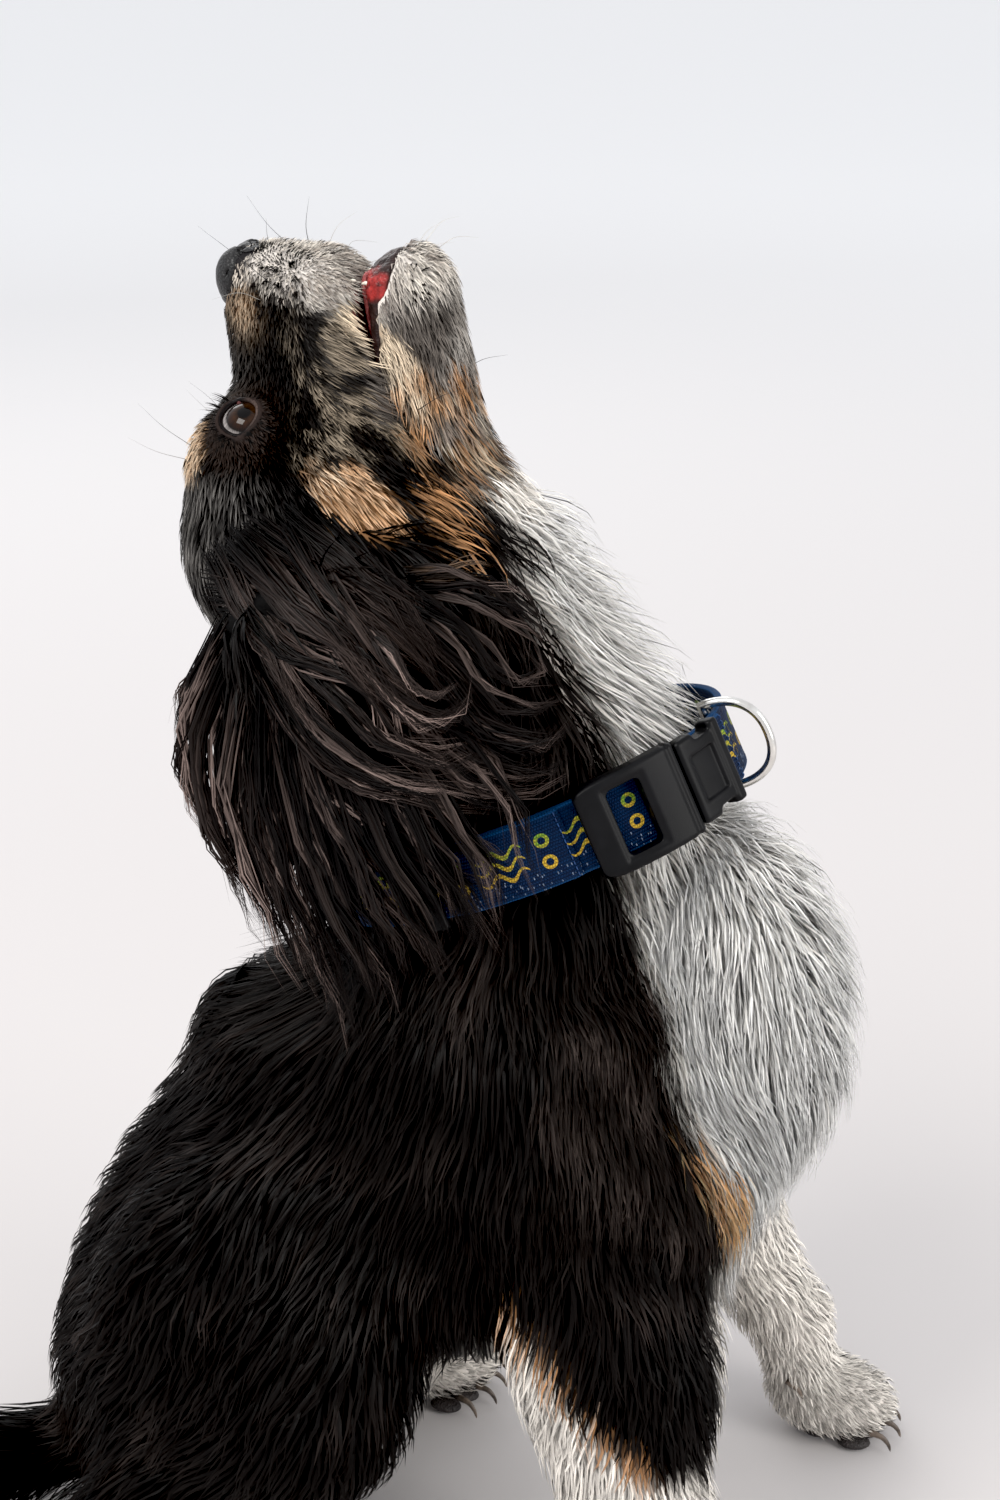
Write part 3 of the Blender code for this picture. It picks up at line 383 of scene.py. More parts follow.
def lid_gap(L):
    """Below 0 inside the almond between the lids, in radians on the ball, and the distance from the eye's centre."""
    r, a, b, g = eye_angles(L)
    A0, A1 = 0.70, 0.76                     # reach towards the inner and the outer corner
    t = np.where(a > 0, a / A0, -a / A1)
    up, dn = 0.56, 0.70
    lim = np.where(b > 0, up, dn) * np.sqrt(np.clip(1.0 - np.clip(t, 0, 1) ** np.where(b > 0, 2.1, 3.0), 0.0, 1.0))
    dd = np.maximum(np.abs(b) - lim, (t - 1.0) * 0.9)
    dd = np.where(g < 0.05, 1.0, dd)
    return dd, r


def skin_value(P, base, coat):
    """The skin's implicit value: the coat's outline moved in by its depth, with the face's details."""
    s = base + coat
    hl = head_local(P)
    near = np.nonzero((hl[:, 0] > -14) & (hl[:, 0] < 84) & (np.abs(hl[:, 1]) < 42) & (hl[:, 2] > -66) & (hl[:, 2] < 44))[0]
    if len(near):
        L = hl[near]
        v = s[near]
        A = L.copy()
        A[:, 1] = np.abs(A[:, 1])
        # lids: a shell over the ball, its opening, and the ball's own room
        gap, r = lid_gap(L)
        v = smin(v, r - (EYE_R + 2.3), 5.0)
        rim = np.clip(1.0 - np.abs(gap) / 0.2, 0.0, 1.0)
        v = np.where(r < EYE_R + 6, v - 0.35 * rim, v)
        # a soft hollow in front of the eye and under the brow
        v = v + 1.2 * np.exp(-((A - np.array([30.0, 17.0, 13.0])) ** 2).sum(1) / 60.0)
        v = smax(v, -np.maximum(gap * (EYE_R + 1.0), r - (EYE_R + 8)), 1.0)
        v = smax(v, (EYE_R + 0.12) - r, 0.4)
        # nose leather: wings and nostrils
        v = smin(v, np.sqrt((((A - np.array([65.0, 7.2, 17.0])) / np.array([8.6, 6.6, 8.0])) ** 2).sum(1)) * 7.0 - 7.0, 3.0)
        q = dict(kind="limb", a=np.array([75.5, 5.2, 15.2]), b=np.array([68.0, 6.2, 16.5]), ra=2.5, rb=1.6, wide=unit((0, 0, 1)), w=1.25)
        v = smax(v, -prim_dist(q, A), 1.0)
        q = dict(kind="limb", a=np.array([73.8, 7.8, 15.4]), b=np.array([63.8, 14.8, 21.0]), ra=1.5, rb=0.8, wide=unit((0, 0, 1)), w=1.0)
        v = smax(v, -prim_dist(q, A), 0.8)
        v = v + 0.8 * np.exp(-(A[:, 1] / 0.9) ** 2) * np.clip((A[:, 0] - 60) / 8.0, 0, 1) * np.clip((22.0 - A[:, 2]) / 6.0, 0, 1) * (A[:, 2] > -22)
        # mouth: the gap between the jaws, wide at the front and closed at the corner
        x = A[:, 0]
        mid = -26.4 + 0.075 * (x - 34.0)
        half = np.clip((x - 30.0) * 0.055, -2.0, 2.0)
        wid = 24.0 + 0.0 * x
        slot = np.maximum(np.abs(A[:, 2] - mid) - half, A[:, 1] - wid) * 0.95
        slot = np.where(x < 27.0, 5.0, slot)
        v = smax(v, -slot, 1.2)
        # lips: a low rounded edge each side of the gap
        lipz = np.minimum(np.abs(A[:, 2] - (mid + half + 1.4)), np.abs(A[:, 2] - (mid - half - 1.4)))
        v = v - 0.6 * np.exp(-(lipz / 1.5) ** 2) * np.clip((x - 26.0) / 8.0, 0, 1) * (np.abs(slot) < 4)
        s[near] = v
    return s


FULL_SKIN = skin_value


def leather_mask(L):
    """Above 0 on the bare nose leather, in the head's frame."""
    A = L.copy()
    A[:, 1] = np.abs(A[:, 1])
    e1 = 1.0 - np.sqrt((((A - np.array([67.5, 0.0, 22.5])) / np.array([13.5, 16.0, 10.0])) ** 2).sum(1))
    e2 = 1.0 - np.sqrt((((A - np.array([75.6, 7.0, 13.0])) / np.array([3.6, 8.5, 5.4])) ** 2).sum(1))
    return np.maximum(e1, e2)


def lip_mask(L):
    """Above 0 on the bare, dark edge of the lower lip and the gap of the mouth."""
    A = L.copy()
    A[:, 1] = np.abs(A[:, 1])
    x, y, z = A[:, 0], A[:, 1], A[:, 2]
    front = 1.0 - np.sqrt(((x - 61.5) / 12.5) ** 2 + (y / 19.0) ** 2 + ((z + 29.5) / 8.6) ** 2)
    side = np.minimum((x - 26.0) / 30.0, 1.0 - np.sqrt(((y - 8.0) / 9.0) ** 2 + ((z + 27.0) / 5.0) ** 2))
    return np.maximum(front, side * 0.8)


def skin_under(P, base, coat):
    """The skin, drawn in a little where a finer piece lies over it."""
    s = skin_value(P, base, coat)
    L = head_local(P)
    near = np.nonzero((L[:, 0] > 20) & (np.abs(L[:, 1]) < 30) & (L[:, 2] > -50) & (L[:, 2] < 40))[0]
    if len(near):
        m = np.maximum(leather_mask(L[near]), lip_mask(L[near]))
        s[near] += 0.9 * np.clip(m / 0.10, 0.0, 1.0)
    return s


def graded(lo, hi, spans, coarse):
    """Coordinates from lo to hi: coarse steps, and finer ones inside the given spans."""
    x, out = lo, [lo]
    while x < hi:
        st = coarse
        for a, b, f in spans:
            away = max(a - x, x - b, 0.0)
            st = min(st, f + away * 0.16)
        x += st
        out.append(x)
    return np.array(out)


ex, ey, ez = head_pt(EYE_C)
SAX = [graded(-334.0, 160.0, [(-108, 0, 1.7), (ex - 11, ex + 11, 0.85)], 4.6),
       graded(-122.0, 126.0, [(-42, 42, 1.7), (-ey - 11, -ey + 9, 0.85), (ey - 9, ey + 11, 0.85)], 4.6),
       graded(-10.0, 528.0, [(432, 520, 1.7), (ez - 10, ez + 11, 0.85), (500, 516, 1.1)], 4.6)]
S_D = lattice_field(SAX, BODY_PRIMS, 34.0)
E_D = lattice_field(SAX, EAR_LEATHER, 14.0, far=30.0)
log("skin lattice", S_D.shape)


def resample(axes_from, G, axes_to):
    """Trilinear move of a lattice to other axes, one axis at a time."""
    for k in range(3):
        a, b = axes_from[k], axes_to[k]
        i = np.clip(np.searchsorted(a, b) - 1, 0, len(a) - 2)
        f = np.clip((b - a[i]) / (a[i + 1] - a[i]), 0, 1).astype(np.float32)
        sh = [1, 1, 1]
        sh[k] = -1
        G = np.take(G, i, axis=k) * (1 - f.reshape(sh)) + np.take(G, i + 1, axis=k) * f.reshape(sh)
    return G


SC = resample(LAX, COAT_D, SAX)
band = np.abs(S_D + SC) < 16.0
ii = np.nonzero(band)
PB = np.stack([SAX[k][ii[k]] for k in range(3)], 1)
S_V = S_D + SC
S_V[ii] = skin_under(PB, S_D[ii].astype(float), SC[ii].astype(float))
S_V = smin(S_V, E_D, 6.0)
del S_D, E_D


def ring_distance(P):
    Q = P - COLLAR_O
    u, v, h = Q @ CX, -Q[:, 1], Q @ CZ
    k = np.sqrt((u / STRAP_A) ** 2 + (v / STRAP_B) ** 2) + 1e-9
    g = np.sqrt((u / STRAP_A ** 2) ** 2 + (v / STRAP_B ** 2) ** 2) / k + 1e-9
    return (k - 1.0) / g, h


lo, hi = COLLAR_O - 110, COLLAR_O + 110
sl = window(SAX, lo, hi)
PC, sh = lattice_points(SAX, sl)
rr, hh = ring_distance(PC)
lim = rr + 4.2 - np.maximum(np.abs(hh) - 14.0, 0.0) * 1.2
lim = np.where(np.abs(hh) > 40, -50.0, lim)
S_V[sl] = smax(S_V[sl], lim.reshape(sh).astype(np.float32), 3.0)
# the floor: feet, rump and tail are flat underneath, a little above it
zz = SAX[2][None, None, :]
S_V = np.maximum(S_V, (0.9 - zz).astype(np.float32))
# under the collar the coat and the skin are pressed in
log("skin values")


def surface_net(V, axes):
    """Dual net of the zero level of V: one vertex in each mixed cell, one quad for each crossed lattice edge."""
    inside = V < 0
    n = V.shape
    cell_id = -np.ones((n[0] - 1, n[1] - 1, n[2] - 1), np.int64)
    c = np.zeros(cell_id.shape, np.int8)
    for dx in (0, 1):
        for dy in (0, 1):
            for dz in (0, 1):
                c += inside[dx:n[0] - 1 + dx, dy:n[1] - 1 + dy, dz:n[2] - 1 + dz]
    mixed = (c > 0) & (c < 8)
    ids = np.nonzero(mixed)
    cell_id[ids] = np.arange(len(ids[0]))
    nv = len(ids[0])
    acc = np.zeros((nv, 3))
    cnt = np.zeros(nv)
    quads = []
    for ax in range(3):
        sl0 = [slice(None)] * 3
        sl1 = [slice(None)] * 3
        sl0[ax] = slice(0, n[ax] - 1)
        sl1[ax] = slice(1, n[ax])
        a, b = inside[tuple(sl0)], inside[tuple(sl1)]
        e = np.nonzero(a != b)
        v0, v1 = V[tuple(sl0)][e].astype(float), V[tuple(sl1)][e].astype(float)
        t = v0 / (v0 - v1)
        P = np.stack([axes[k][e[k]] for k in range(3)], 1)
        P[:, ax] += t * (axes[ax][e[ax] + 1] - axes[ax][e[ax]])
        o1, o2 = [(1, 2), (2, 0), (0, 1)][ax]
        corner = []
        for d1, d2 in ((0, 0), (1, 0), (1, 1), (0, 1)):
            q = [e[0].copy(), e[1].copy(), e[2].copy()]
            q[o1] = q[o1] - 1 + d1
            q[o2] = q[o2] - 1 + d2
            ok = np.ones(len(q[0]), bool)
            for k in range(3):
                ok &= (q[k] >= 0) & (q[k] < n[k] - 1)
            cid = np.where(ok, cell_id[np.clip(q[0], 0, n[0] - 2), np.clip(q[1], 0, n[1] - 2), np.clip(q[2], 0, n[2] - 2)], -1)
            corner.append(cid)
            good = cid >= 0
            for k in range(3):
                acc[:, k] += np.bincount(cid[good], weights=P[good, k], minlength=nv)
            cnt += np.bincount(cid[good], minlength=nv)
        Q = np.stack(corner, 1)
        Q = np.where((~b[e] & a[e])[:, None], Q, Q[:, ::-1])
        quads.append(Q[(Q >= 0).all(1)])
    return acc / np.maximum(cnt, 1)[:, None], np.concatenate(quads)


SV, SQ = surface_net(S_V, SAX)
log("skin net", len(SV), "vertices", len(SQ), "quads")


def keep_largest(V, Q):
    """Drops loose bits of the net."""
    lab = np.arange(len(V))
    for _ in range(200):
        m = lab[Q].min(1)
        new = lab.copy()
        for k in range(4):
            np.minimum.at(new, Q[:, k], m)
        new = new[new]
        if (new == lab).all():
            break
        lab = new
    big = np.bincount(lab).argmax()
    ok = lab == big
    remap = np.cumsum(ok) - 1
    keepq = ok[Q].all(1)
    return V[ok], remap[Q[keepq]]


SV, SQ = keep_largest(SV, SQ)


def vertex_normals(V, Q):
    n = np.cross(V[Q[:, 2]] - V[Q[:, 0]], V[Q[:, 3]] - V[Q[:, 1]])
    out = np.zeros_like(V)
    for k in range(4):
        for a in range(3):
            out[:, a] += np.bincount(Q[:, k], weights=n[:, a], minlength=len(V))
    return out / (np.linalg.norm(out, axis=1)[:, None] + 1e-12)


def edges_of(Q):
    E = np.concatenate([Q[:, [0, 1]], Q[:, [1, 2]], Q[:, [2, 3]], Q[:, [3, 0]]])
    E = np.sort(E, 1)
    return np.unique(E, axis=0)


def relax(V, Q, rounds, lam=0.5, mu=-0.52):
    E = edges_of(Q)
    deg = np.bincount(E.ravel(), minlength=len(V)).astype(float)[:, None]
    for i in range(rounds):
        for f in (lam, mu):
            S = np.zeros_like(V)
            for a, b in ((0, 1), (1, 0)):
                for k in range(3):
                    S[:, k] += np.bincount(E[:, a], weights=V[E[:, b], k], minlength=len(V))
            V = V + f * (S / deg - V)
    return V


SV = relax(SV, SQ, 3)
SN = vertex_normals(SV, SQ)
log("skin", len(SV), len(SQ))


# ------------------------------------------------------------------ which part a place belongs to
PARTS = ["trunk", "neck", "fore", "hind", "tail", "head", "jaw"]


def lattice_parts(axes, prims):
    best = np.full(tuple(len(a) for a in axes), 60.0, np.float32)
    ids = np.zeros(best.shape, np.int8)
    for q in prims:
        sl = window(axes, *prim_box(q, 30.0))
        P, sh = lattice_points(axes, sl)
        if not len(P):
            continue
        e = prim_dist(q, P).reshape(sh).astype(np.float32)
        m = e < best[sl]
        best[sl] = np.where(m, e, best[sl])
        ids[sl] = np.where(m, PARTS.index(q["part"].split("_")[0]), ids[sl])
    return ids


PART_ID = lattice_parts(LAX, BODY_PRIMS)


def part_at(P):
    i = [np.clip(np.rint((P[:, k] - LAX[k][0]) / STEP).astype(int), 0, len(LAX[k]) - 1) for k in range(3)]
    return PART_ID[i[0], i[1], i[2]]


SKIN_D = OUT_D + COAT_D
NRM = np.stack(np.gradient(SKIN_D, STEP), -1)
NRM /= np.linalg.norm(NRM, axis=-1, keepdims=True) + 1e-6


def hash_noise(P, scale, seed):
    """Smooth noise in -1..1: trilinear blend of hashed values on a lattice of the given spacing."""
    Q = P / scale + seed * 17.137
    i = np.floor(Q).astype(np.int64)
    f = Q - i
    f = f * f * (3 - 2 * f)
    out = 0.0
    for dx in (0, 1):
        for dy in (0, 1):
            for dz in (0, 1):
                h = (i[:, 0] + dx) * 73856093 ^ (i[:, 1] + dy) * 19349663 ^ (i[:, 2] + dz) * 83492791 ^ (seed * 2654435)
                h = (h ^ (h >> 13)) * 1274126177 & 0x7FFFFFFF
                v = (h % 65536) / 32768.0 - 1.0
                w = (f[:, 0] if dx else 1 - f[:, 0]) * (f[:, 1] if dy else 1 - f[:, 1]) * (f[:, 2] if dz else 1 - f[:, 2])
                out = out + w * v
    return out


def ramp(x, a, b):
    t = np.clip((x - a) / (b - a), 0.0, 1.0)
    return t * t * (3 - 2 * t)


def seg_dist(P, pts):
    """Distance to a polyline, and how far along it the nearest place is, from 0 to 1."""
    pts = np.asarray(pts, float)
    best = np.full(len(P), 1e9)
    at = np.zeros(len(P))
    n = len(pts) - 1
    for i in range(n):
        a, b = pts[i], pts[i + 1]
        ab = b - a
        t = np.clip((P - a) @ ab / (ab @ ab), 0, 1)
        d = np.linalg.norm(P - a - t[:, None] * ab, axis=1)
        m = d < best
        best = np.where(m, d, best)
        at = np.where(m, (i + t) / n, at)
    return best, at


# ------------------------------------------------------------------ markings, the same for skin and coat
BLACK = np.array([0.0022, 0.0018, 0.0018])
BROWNBLACK = np.array([0.0068, 0.0052, 0.0046])
WHITE = np.array([0.90, 0.845, 0.77])
CREAM = np.array([0.72, 0.585, 0.43])
TAN = np.array([0.50, 0.255, 0.115])
DEEPTAN = np.array([0.30, 0.125, 0.045])
GREY = np.array([0.20, 0.18, 0.165])
PINK = np.array([0.42, 0.24, 0.20])


def mix(a, b, t):
    return a + (b - a) * t[:, None]


def markings(P, jitter=1.0):
    """Root colour, tip colour and whiteness of the hair at the points P, in linear light."""
    n1 = hash_noise(P, 9.0, 3) * jitter
    n2 = hash_noise(P, 3.5, 5) * jitter
    n3 = hash_noise(P, 26.0, 7)
    x, y, z = P[:, 0], P[:, 1], P[:, 2]
    a = np.abs(y)
    L = head_local(P)
    hx, hy, hz = L[:, 0], np.abs(L[:, 1]), L[:, 2]
    part = part_at(P)
    is_head = (part == 5) | (part == 6)
    # the white bib: narrow at the throat, wide at the chest
    ax = np.interp(z, [150, 262, 318, 386, 430], [14, 10, 2, -30, -48])
    ang = np.degrees(np.arctan2(a, x - ax))
    edge = np.interp(z, [60, 130, 170, 200, 230, 262, 293, 314, 376, 392, 406, 416, 440], [46, 40, 34, 35, 41, 40, 35, 31, 25, 24, 25, 17, 17])
    edge = edge + np.where(y > 0, 26.0 * ramp(z, 318, 350), 0.0)
    w = ramp(edge - ang + (3.0 * n1 + 1.6 * n2), -2.4, 2.4)
    inner = ramp(200.0 - z, 0, 14) * ramp(46.0 + 3 * n1 - a, -3, 3) * ramp(x, -6, 14)
    w = np.maximum(w, inner)
    # forelegs: white below a slanting line, and inside
    leg = part == 2
    fx = x - 60.0
    line = np.interp(fx, [-40, -16, 1, 16, 35, 50], [149, 139, 116, 98, 93, 91]) + 3.0 * n3
    wl = ramp(line + 4.0 * n1 + 2.0 * n2 - z, -4, 4)
    outer = ramp(a - 58.0 - 3.0 * n1, -6, 6)
    wl = np.maximum(wl, 1 - outer)
    wl = np.maximum(wl, (y > 30) * ramp(x + 0.25 * (z - 150.0), 60, 72))
    w = np.where(leg, wl, w)
    # hind legs: black down to the hock, white feet
    hind = part == 3
    wh = ramp(30.0 + 0.16 * (x + 60.0) + 4.0 * n1 + 2.0 * n2 - z, -3, 3)
    w = np.where(hind, wh, w)
    w = np.where(part == 4, 0.0, w)
    under = ramp(96.0 + 5.0 * n1 - z, -6, 6) * ramp(x, -62, -38) * ramp(52 - a, -4, 4)
    w = np.where(part == 0, np.maximum(w, under * 0.8), w)
    root = mix(np.broadcast_to(BLACK, P.shape), WHITE * 0.93, w)
    # painted highlight: the tips of the black hair are lightened in noisy patches, standing in for glints of light on
    # the coat
    painted_glint = np.clip(hash_noise(P, 15.0, 11) * 1.3 + 0.6 * n2 - 0.25, 0, 1.2)
    tip = mix(np.broadcast_to(BROWNBLACK, P.shape) * (1.0 + 4.0 * painted_glint[:, None]), WHITE, w)
    # tan where black meets white on the breast and the forelegs
    d, _ = seg_dist(np.stack([x, a, z], 1), [(90, 71, 231), (100, 66, 214), (104, 60, 196)])
    t = ramp(8.0 + 3.0 * n1 + 2.0 * n2 - d, -2.5, 2.5) * ((part == 0) | (part == 2))
    t2 = leg * (y < 0) * ramp(5.0 + 1.5 * n2 - np.abs(line + 4.0 * n1 + 2.0 * n2 - z + 1.0), -2, 2) * outer * 0.75 * ramp(84 - x, 0, 14)
    t = np.maximum(t, t2)
    root, tip = mix(root, TAN * 0.9, t), mix(tip, TAN * 1.12, t)
    # ---- the head
    # white under the jaw and down the throat
    throat = ramp(-50.0 - 0.22 * (hx - 20.0) + 4 * n1 + 2 * n2 - hz, -4, 4) * ramp(hx + 6, 0, 10)
    throat = np.where(hx < 4, ramp(-66.0 + 0.10 * hx + 5 * n1 - hz, -4, 4), throat)
    jaww = ramp(hx - 49.0 + 4 * n1 + 2.5 * n2 + (hz + 44) * 0.25, -6, 7)
    muz = ramp(hx - np.interp(hz, [-30, -20, -12, -6, 0, 8, 13, 18, 24, 34], [58, 54, 54, 58, 60.5, 62.5, 63.5, 64, 67, 74]) + 2.6 * n1 + 2.2 * n2, -4.0, 4.0)
    isjaw = (hz < -27.0 + 0.075 * (hx - 34.0)) & (hx > 16)
    wd = np.where(isjaw, np.maximum(throat * 0.9, jaww), np.maximum(throat, muz))
    hroot = mix(np.broadcast_to(BLACK, P.shape), WHITE * 0.9, wd)
    htip = mix(np.broadcast_to(BROWNBLACK, P.shape), WHITE, wd)
    # the white of the muzzle is a greyish cream with darker hairs
    mz = ramp(hx, 36, 46) * wd
    mixed = np.clip(0.12 + 0.9 * n2 + 0.5 * n1 + ramp(-hz, 0, 14) * 0.65 * (~isjaw), 0, 1)
    mc = mix(np.broadcast_to(np.array([0.82, 0.75, 0.66]), P.shape), np.array([0.30, 0.25, 0.21]), mixed)
    hroot, htip = mix(hroot, mc * 0.72, mz * 0.9), mix(htip, mc, mz * 0.85)
    # dark mottled skin showing between the hairs along the lower lip
    lm = isjaw * ramp(hz + 42.0 + 2.2 * n1 + 1.6 * n2, -2.0, 2.0) * ramp(hx, 42, 50) * 0.85
    hroot = mix(hroot, np.array([0.040, 0.024, 0.021]), lm * 0.9)
    htip = mix(htip, np.array([0.21, 0.165, 0.150]), lm * np.clip(0.62 + 0.9 * n2, 0, 1))
    H = np.stack([hx, hy, hz], 1)
    # black lips and sides of the muzzle, many hairs tipped with cream and grey
    g = ramp(hx, 2, 14) * ramp(-hz - 1 + 4 * n1, -3, 10) * ramp(60 - hx, 0, 8) * (1 - wd) * (~isjaw)
    pick = np.clip(0.35 + 1.5 * n2 + 0.9 * n1, 0, 1)
    htip = mix(htip, CREAM * 0.62, g * pick * 0.85)
    hroot = mix(hroot, GREY * 0.16, g * 0.8)
    top = np.exp(-((hx - 30) / 16.0) ** 2 - ((hz - 24) / 10.0) ** 2) * (1 - wd)
    htip = mix(htip, GREY * 0.42, top * 0.8)
    # painted highlight: pale grey tips on the hair over the crown stand in for the sheen of light on the sleek hair
    fr = ramp(-hx, -8, 3) * ramp(hx + 84, 0, 24) * ramp(hz, 2, 17) * ramp(hy, 6, 18) * (1 - wd)
    htip = mix(htip, np.array([0.30, 0.283, 0.265]), fr * np.clip(0.34 + 0.7 * n1 + 0.6 * n2, 0, 1))
    # grey side of the lower jaw, dark in its middle
    gj = isjaw * ramp(hx, 12, 22) * (1 - jaww)
    htip = mix(htip, GREY * 1.05 + np.array([0.02, 0.01, 0.0]), gj * np.clip(0.75 + 0.5 * n2, 0, 1) * 0.9)
    hroot = mix(hroot, GREY * 0.35, gj * 0.85)
    # tan tint behind the nose
    tt = np.exp(-((hx - 55) / 8.0) ** 2 - ((hz - 15.5) / 6.0) ** 2) * ramp(hy, 4, 10)
    hroot, htip = mix(hroot, TAN * 0.8, tt * 0.75), mix(htip, CREAM * 0.85, tt * 0.85)
    # between the corner of the mouth and the throat: brown, tan and grey hair mixed
    between = ramp(30 - hx, 0, 10) * ramp(hx + 32, 0, 12) * ramp(-hz - 46 + 0.50 * (hx - 10) + 3 * n1, -3, 3) * ramp(hz + 70 - 0.10 * hx, -3, 4)
    bc = mix(np.broadcast_to(TAN * 0.92, P.shape), CREAM * 0.80, np.clip(0.5 + 1.2 * n2, 0, 1))
    bc = mix(bc, GREY * 0.35, np.clip(0.30 + 1.3 * n1 - 0.6 * n2, 0, 0.85))
    hroot, htip = mix(hroot, bc * 0.5, between * 0.9), mix(htip, bc * 1.05, between * 0.9)
    # streak from the corner of the mouth down the cheek, cream first and then tan
    d, s = seg_dist(H, [(51, 18.3, -22.8), (43.6, 18, -29.1), (37, 19.4, -35), (26, 20.5, -40.5), (11, 28, -46), (-2, 33, -53), (-14, 38, -58), (-25, 38, -66)])
    st = ramp(np.interp(s, [0, 0.15, 0.3, 0.5, 0.75, 1], [3.6, 4.6, 5.6, 7.0, 8.2, 8.5]) + 2.2 * n1 + 1.4 * n2 - d, -2.2, 2.4)
    stc = mix(np.broadcast_to(CREAM * 1.15, P.shape), TAN * 0.95, ramp(s + 0.20 * n1, 0.34, 0.62))
    stc = mix(stc, TAN * 0.5, ramp(n2, 0.25, 0.6) * 0.5)
    hroot, htip = mix(hroot, stc * 0.66, st), mix(htip, stc * 1.12, st)
    # a second, browner streak along the edge of the throat
    d, s = seg_dist(H, [(26, 9, -54), (18, 9, -57), (3, 17, -60), (-16, 32, -66), (-29, 37, -69)])
    s2 = ramp(np.interp(s, [0, 0.4, 1], [2.6, 4.2, 5.4]) + 1.6 * n1 + 1.2 * n2 - d, -1.8, 2.0)
    hroot, htip = mix(hroot, TAN * 0.50, s2 * 0.9), mix(htip, TAN * 0.92, s2 * 0.9)
    # black behind the streak, in front of the cheek spot
    d, s = seg_dist(H, [(15.9, 33.2, -26), (12.2, 33.1, -32.3), (3, 37.2, -37.0), (-6, 41.2, -41.5), (-18, 45, -46.5), (-32, 47, -50)])
    bb = ramp(4.8 + 1.0 * n1 - d, -1.2, 1.2) * (1 - wd)
    hroot, htip = mix(hroot, BLACK, bb), mix(htip, BROWNBLACK * 1.2, bb)
    # cheek spot: long, slanting back and down
    q = H - np.array([-7.5, 44.0, -23.5])
    al, ac = -0.62 * q[:, 0] - 0.785 * q[:, 2], 0.785 * q[:, 0] - 0.62 * q[:, 2]
    e = np.sqrt((al / 18.0) ** 2 + ((ac - 0.6) / 9.6) ** 2)
    sp = ramp(1.0 - e + 0.20 * n1 + 0.12 * n2, -0.16, 0.16) * ramp(hy, 26, 34)
    shade = np.clip(0.5 + 0.9 * n1, 0, 1)
    hroot, htip = mix(hroot, TAN * 0.85, sp), mix(htip, mix(np.broadcast_to(CREAM * 1.2, P.shape), TAN * 1.25, shade * 0.7), sp)
    # brow spot
    q = (H - np.array([9.0, 20.0, 40.5])) / np.array([12.5, 9.5, 9.0])
    sp = ramp(1.0 - np.sqrt((q * q).sum(1)) + 0.15 * n2, -0.2, 0.25)
    hroot, htip = mix(hroot, TAN * 0.9, sp), mix(htip, CREAM * 0.95, sp)
    # brown cast round the eye
    de = np.linalg.norm(H - EYE_C, axis=1)
    br = ramp(22 - de, 0, 9) * (1 - wd)
    htip = mix(htip, np.array([0.052, 0.032, 0.024]), br * 0.55)
    # whisker spots on the white lips
    for r0, (zz, off) in enumerate(((7.0, 0.0), (1.5, 2.0), (-4.0, 0.5), (-9.5, 2.5))):
        k = np.rint((hx - 56.0 - off) / 4.4)
        cx = 56.0 + off + 4.4 * np.clip(k, 0, 3)
        dd = np.sqrt((hx - cx) ** 2 + (hz - zz - 0.28 * (cx - 56)) ** 2)
        sp = ramp(1.75 - dd, -0.4, 0.4) * (hy > 9)
        hroot, htip = mix(hroot, BROWNBLACK * 1.5, sp), mix(htip, BROWNBLACK * 2.0, sp * 0.92)
    # dark hairs mixed into the pale lip above the mouth
    dl = np.exp(-((hx - 60) / 9.0) ** 2 - ((hz + 13) / 6.0) ** 2) * np.clip(0.2 + 1.6 * n2, 0, 1)
    hroot, htip = mix(hroot, GREY * 0.4, dl * 0.8), mix(htip, GREY * 0.8, dl * 0.7)
    hb = np.where(is_head, 1.0, 0.0)
    near = (~is_head) & (part == 1) & (hx > -60)
    root, tip = mix(root, hroot, hb), mix(tip, htip, hb)
    nb = np.maximum(st, s2 * 0.9) * near
    root, tip = mix(root, stc * 0.62, nb), mix(tip, stc * 1.1, nb)
    white = np.where(is_head, wd, w)
    return root, tip, white


log("markings ready")


# ------------------------------------------------------------------ the coat
def ring_coords(P):
    """Round the collar: angle from the throat towards the dog's right, distance out from the strap's middle line, height up the neck."""
    Q = P - COLLAR_O
    u, v, h = Q @ CX, -Q[:, 1], Q @ CZ
    k = np.sqrt((u / STRAP_A) ** 2 + (v / STRAP_B) ** 2) + 1e-9
    phi = np.degrees(np.arctan2(v / STRAP_B, u / STRAP_A))
    g = np.sqrt((u / STRAP_A ** 2) ** 2 + (v / STRAP_B ** 2) ** 2) / k + 1e-9
    return phi, (k - 1.0) / g, h


def press_under_collar(P):
    """Moves points inwards where they would come through the strap or its hardware."""
    phi, r, h = ring_coords(P)
    half = np.where((phi > 12) & (phi < 66), 17.5, 13.6)
    lim = -2.0 + np.maximum(np.abs(h) - half, 0.0) * np.where(h > 0, 1.5, 1.1)
    over = np.clip(r - lim, 0.0, 40.0) * (np.abs(h) < 42) * (np.abs(r) < 45)
    Q = P - COLLAR_O
    flat = Q - np.outer(Q @ CZ, CZ)
    n = flat / (np.linalg.norm(flat, axis=1)[:, None] + 1e-9)
    return P - n * over[:, None]


SV_TRI = np.concatenate([SQ[:, [0, 1, 2]], SQ[:, [0, 2, 3]]])
TA, TB, TC = SV[SV_TRI[:, 0]], SV[SV_TRI[:, 1]], SV[SV_TRI[:, 2]]
T_AREA = 0.5 * np.linalg.norm(np.cross(TB - TA, TC - TA), axis=1)
T_MID = (TA + TB + TC) / 3.0


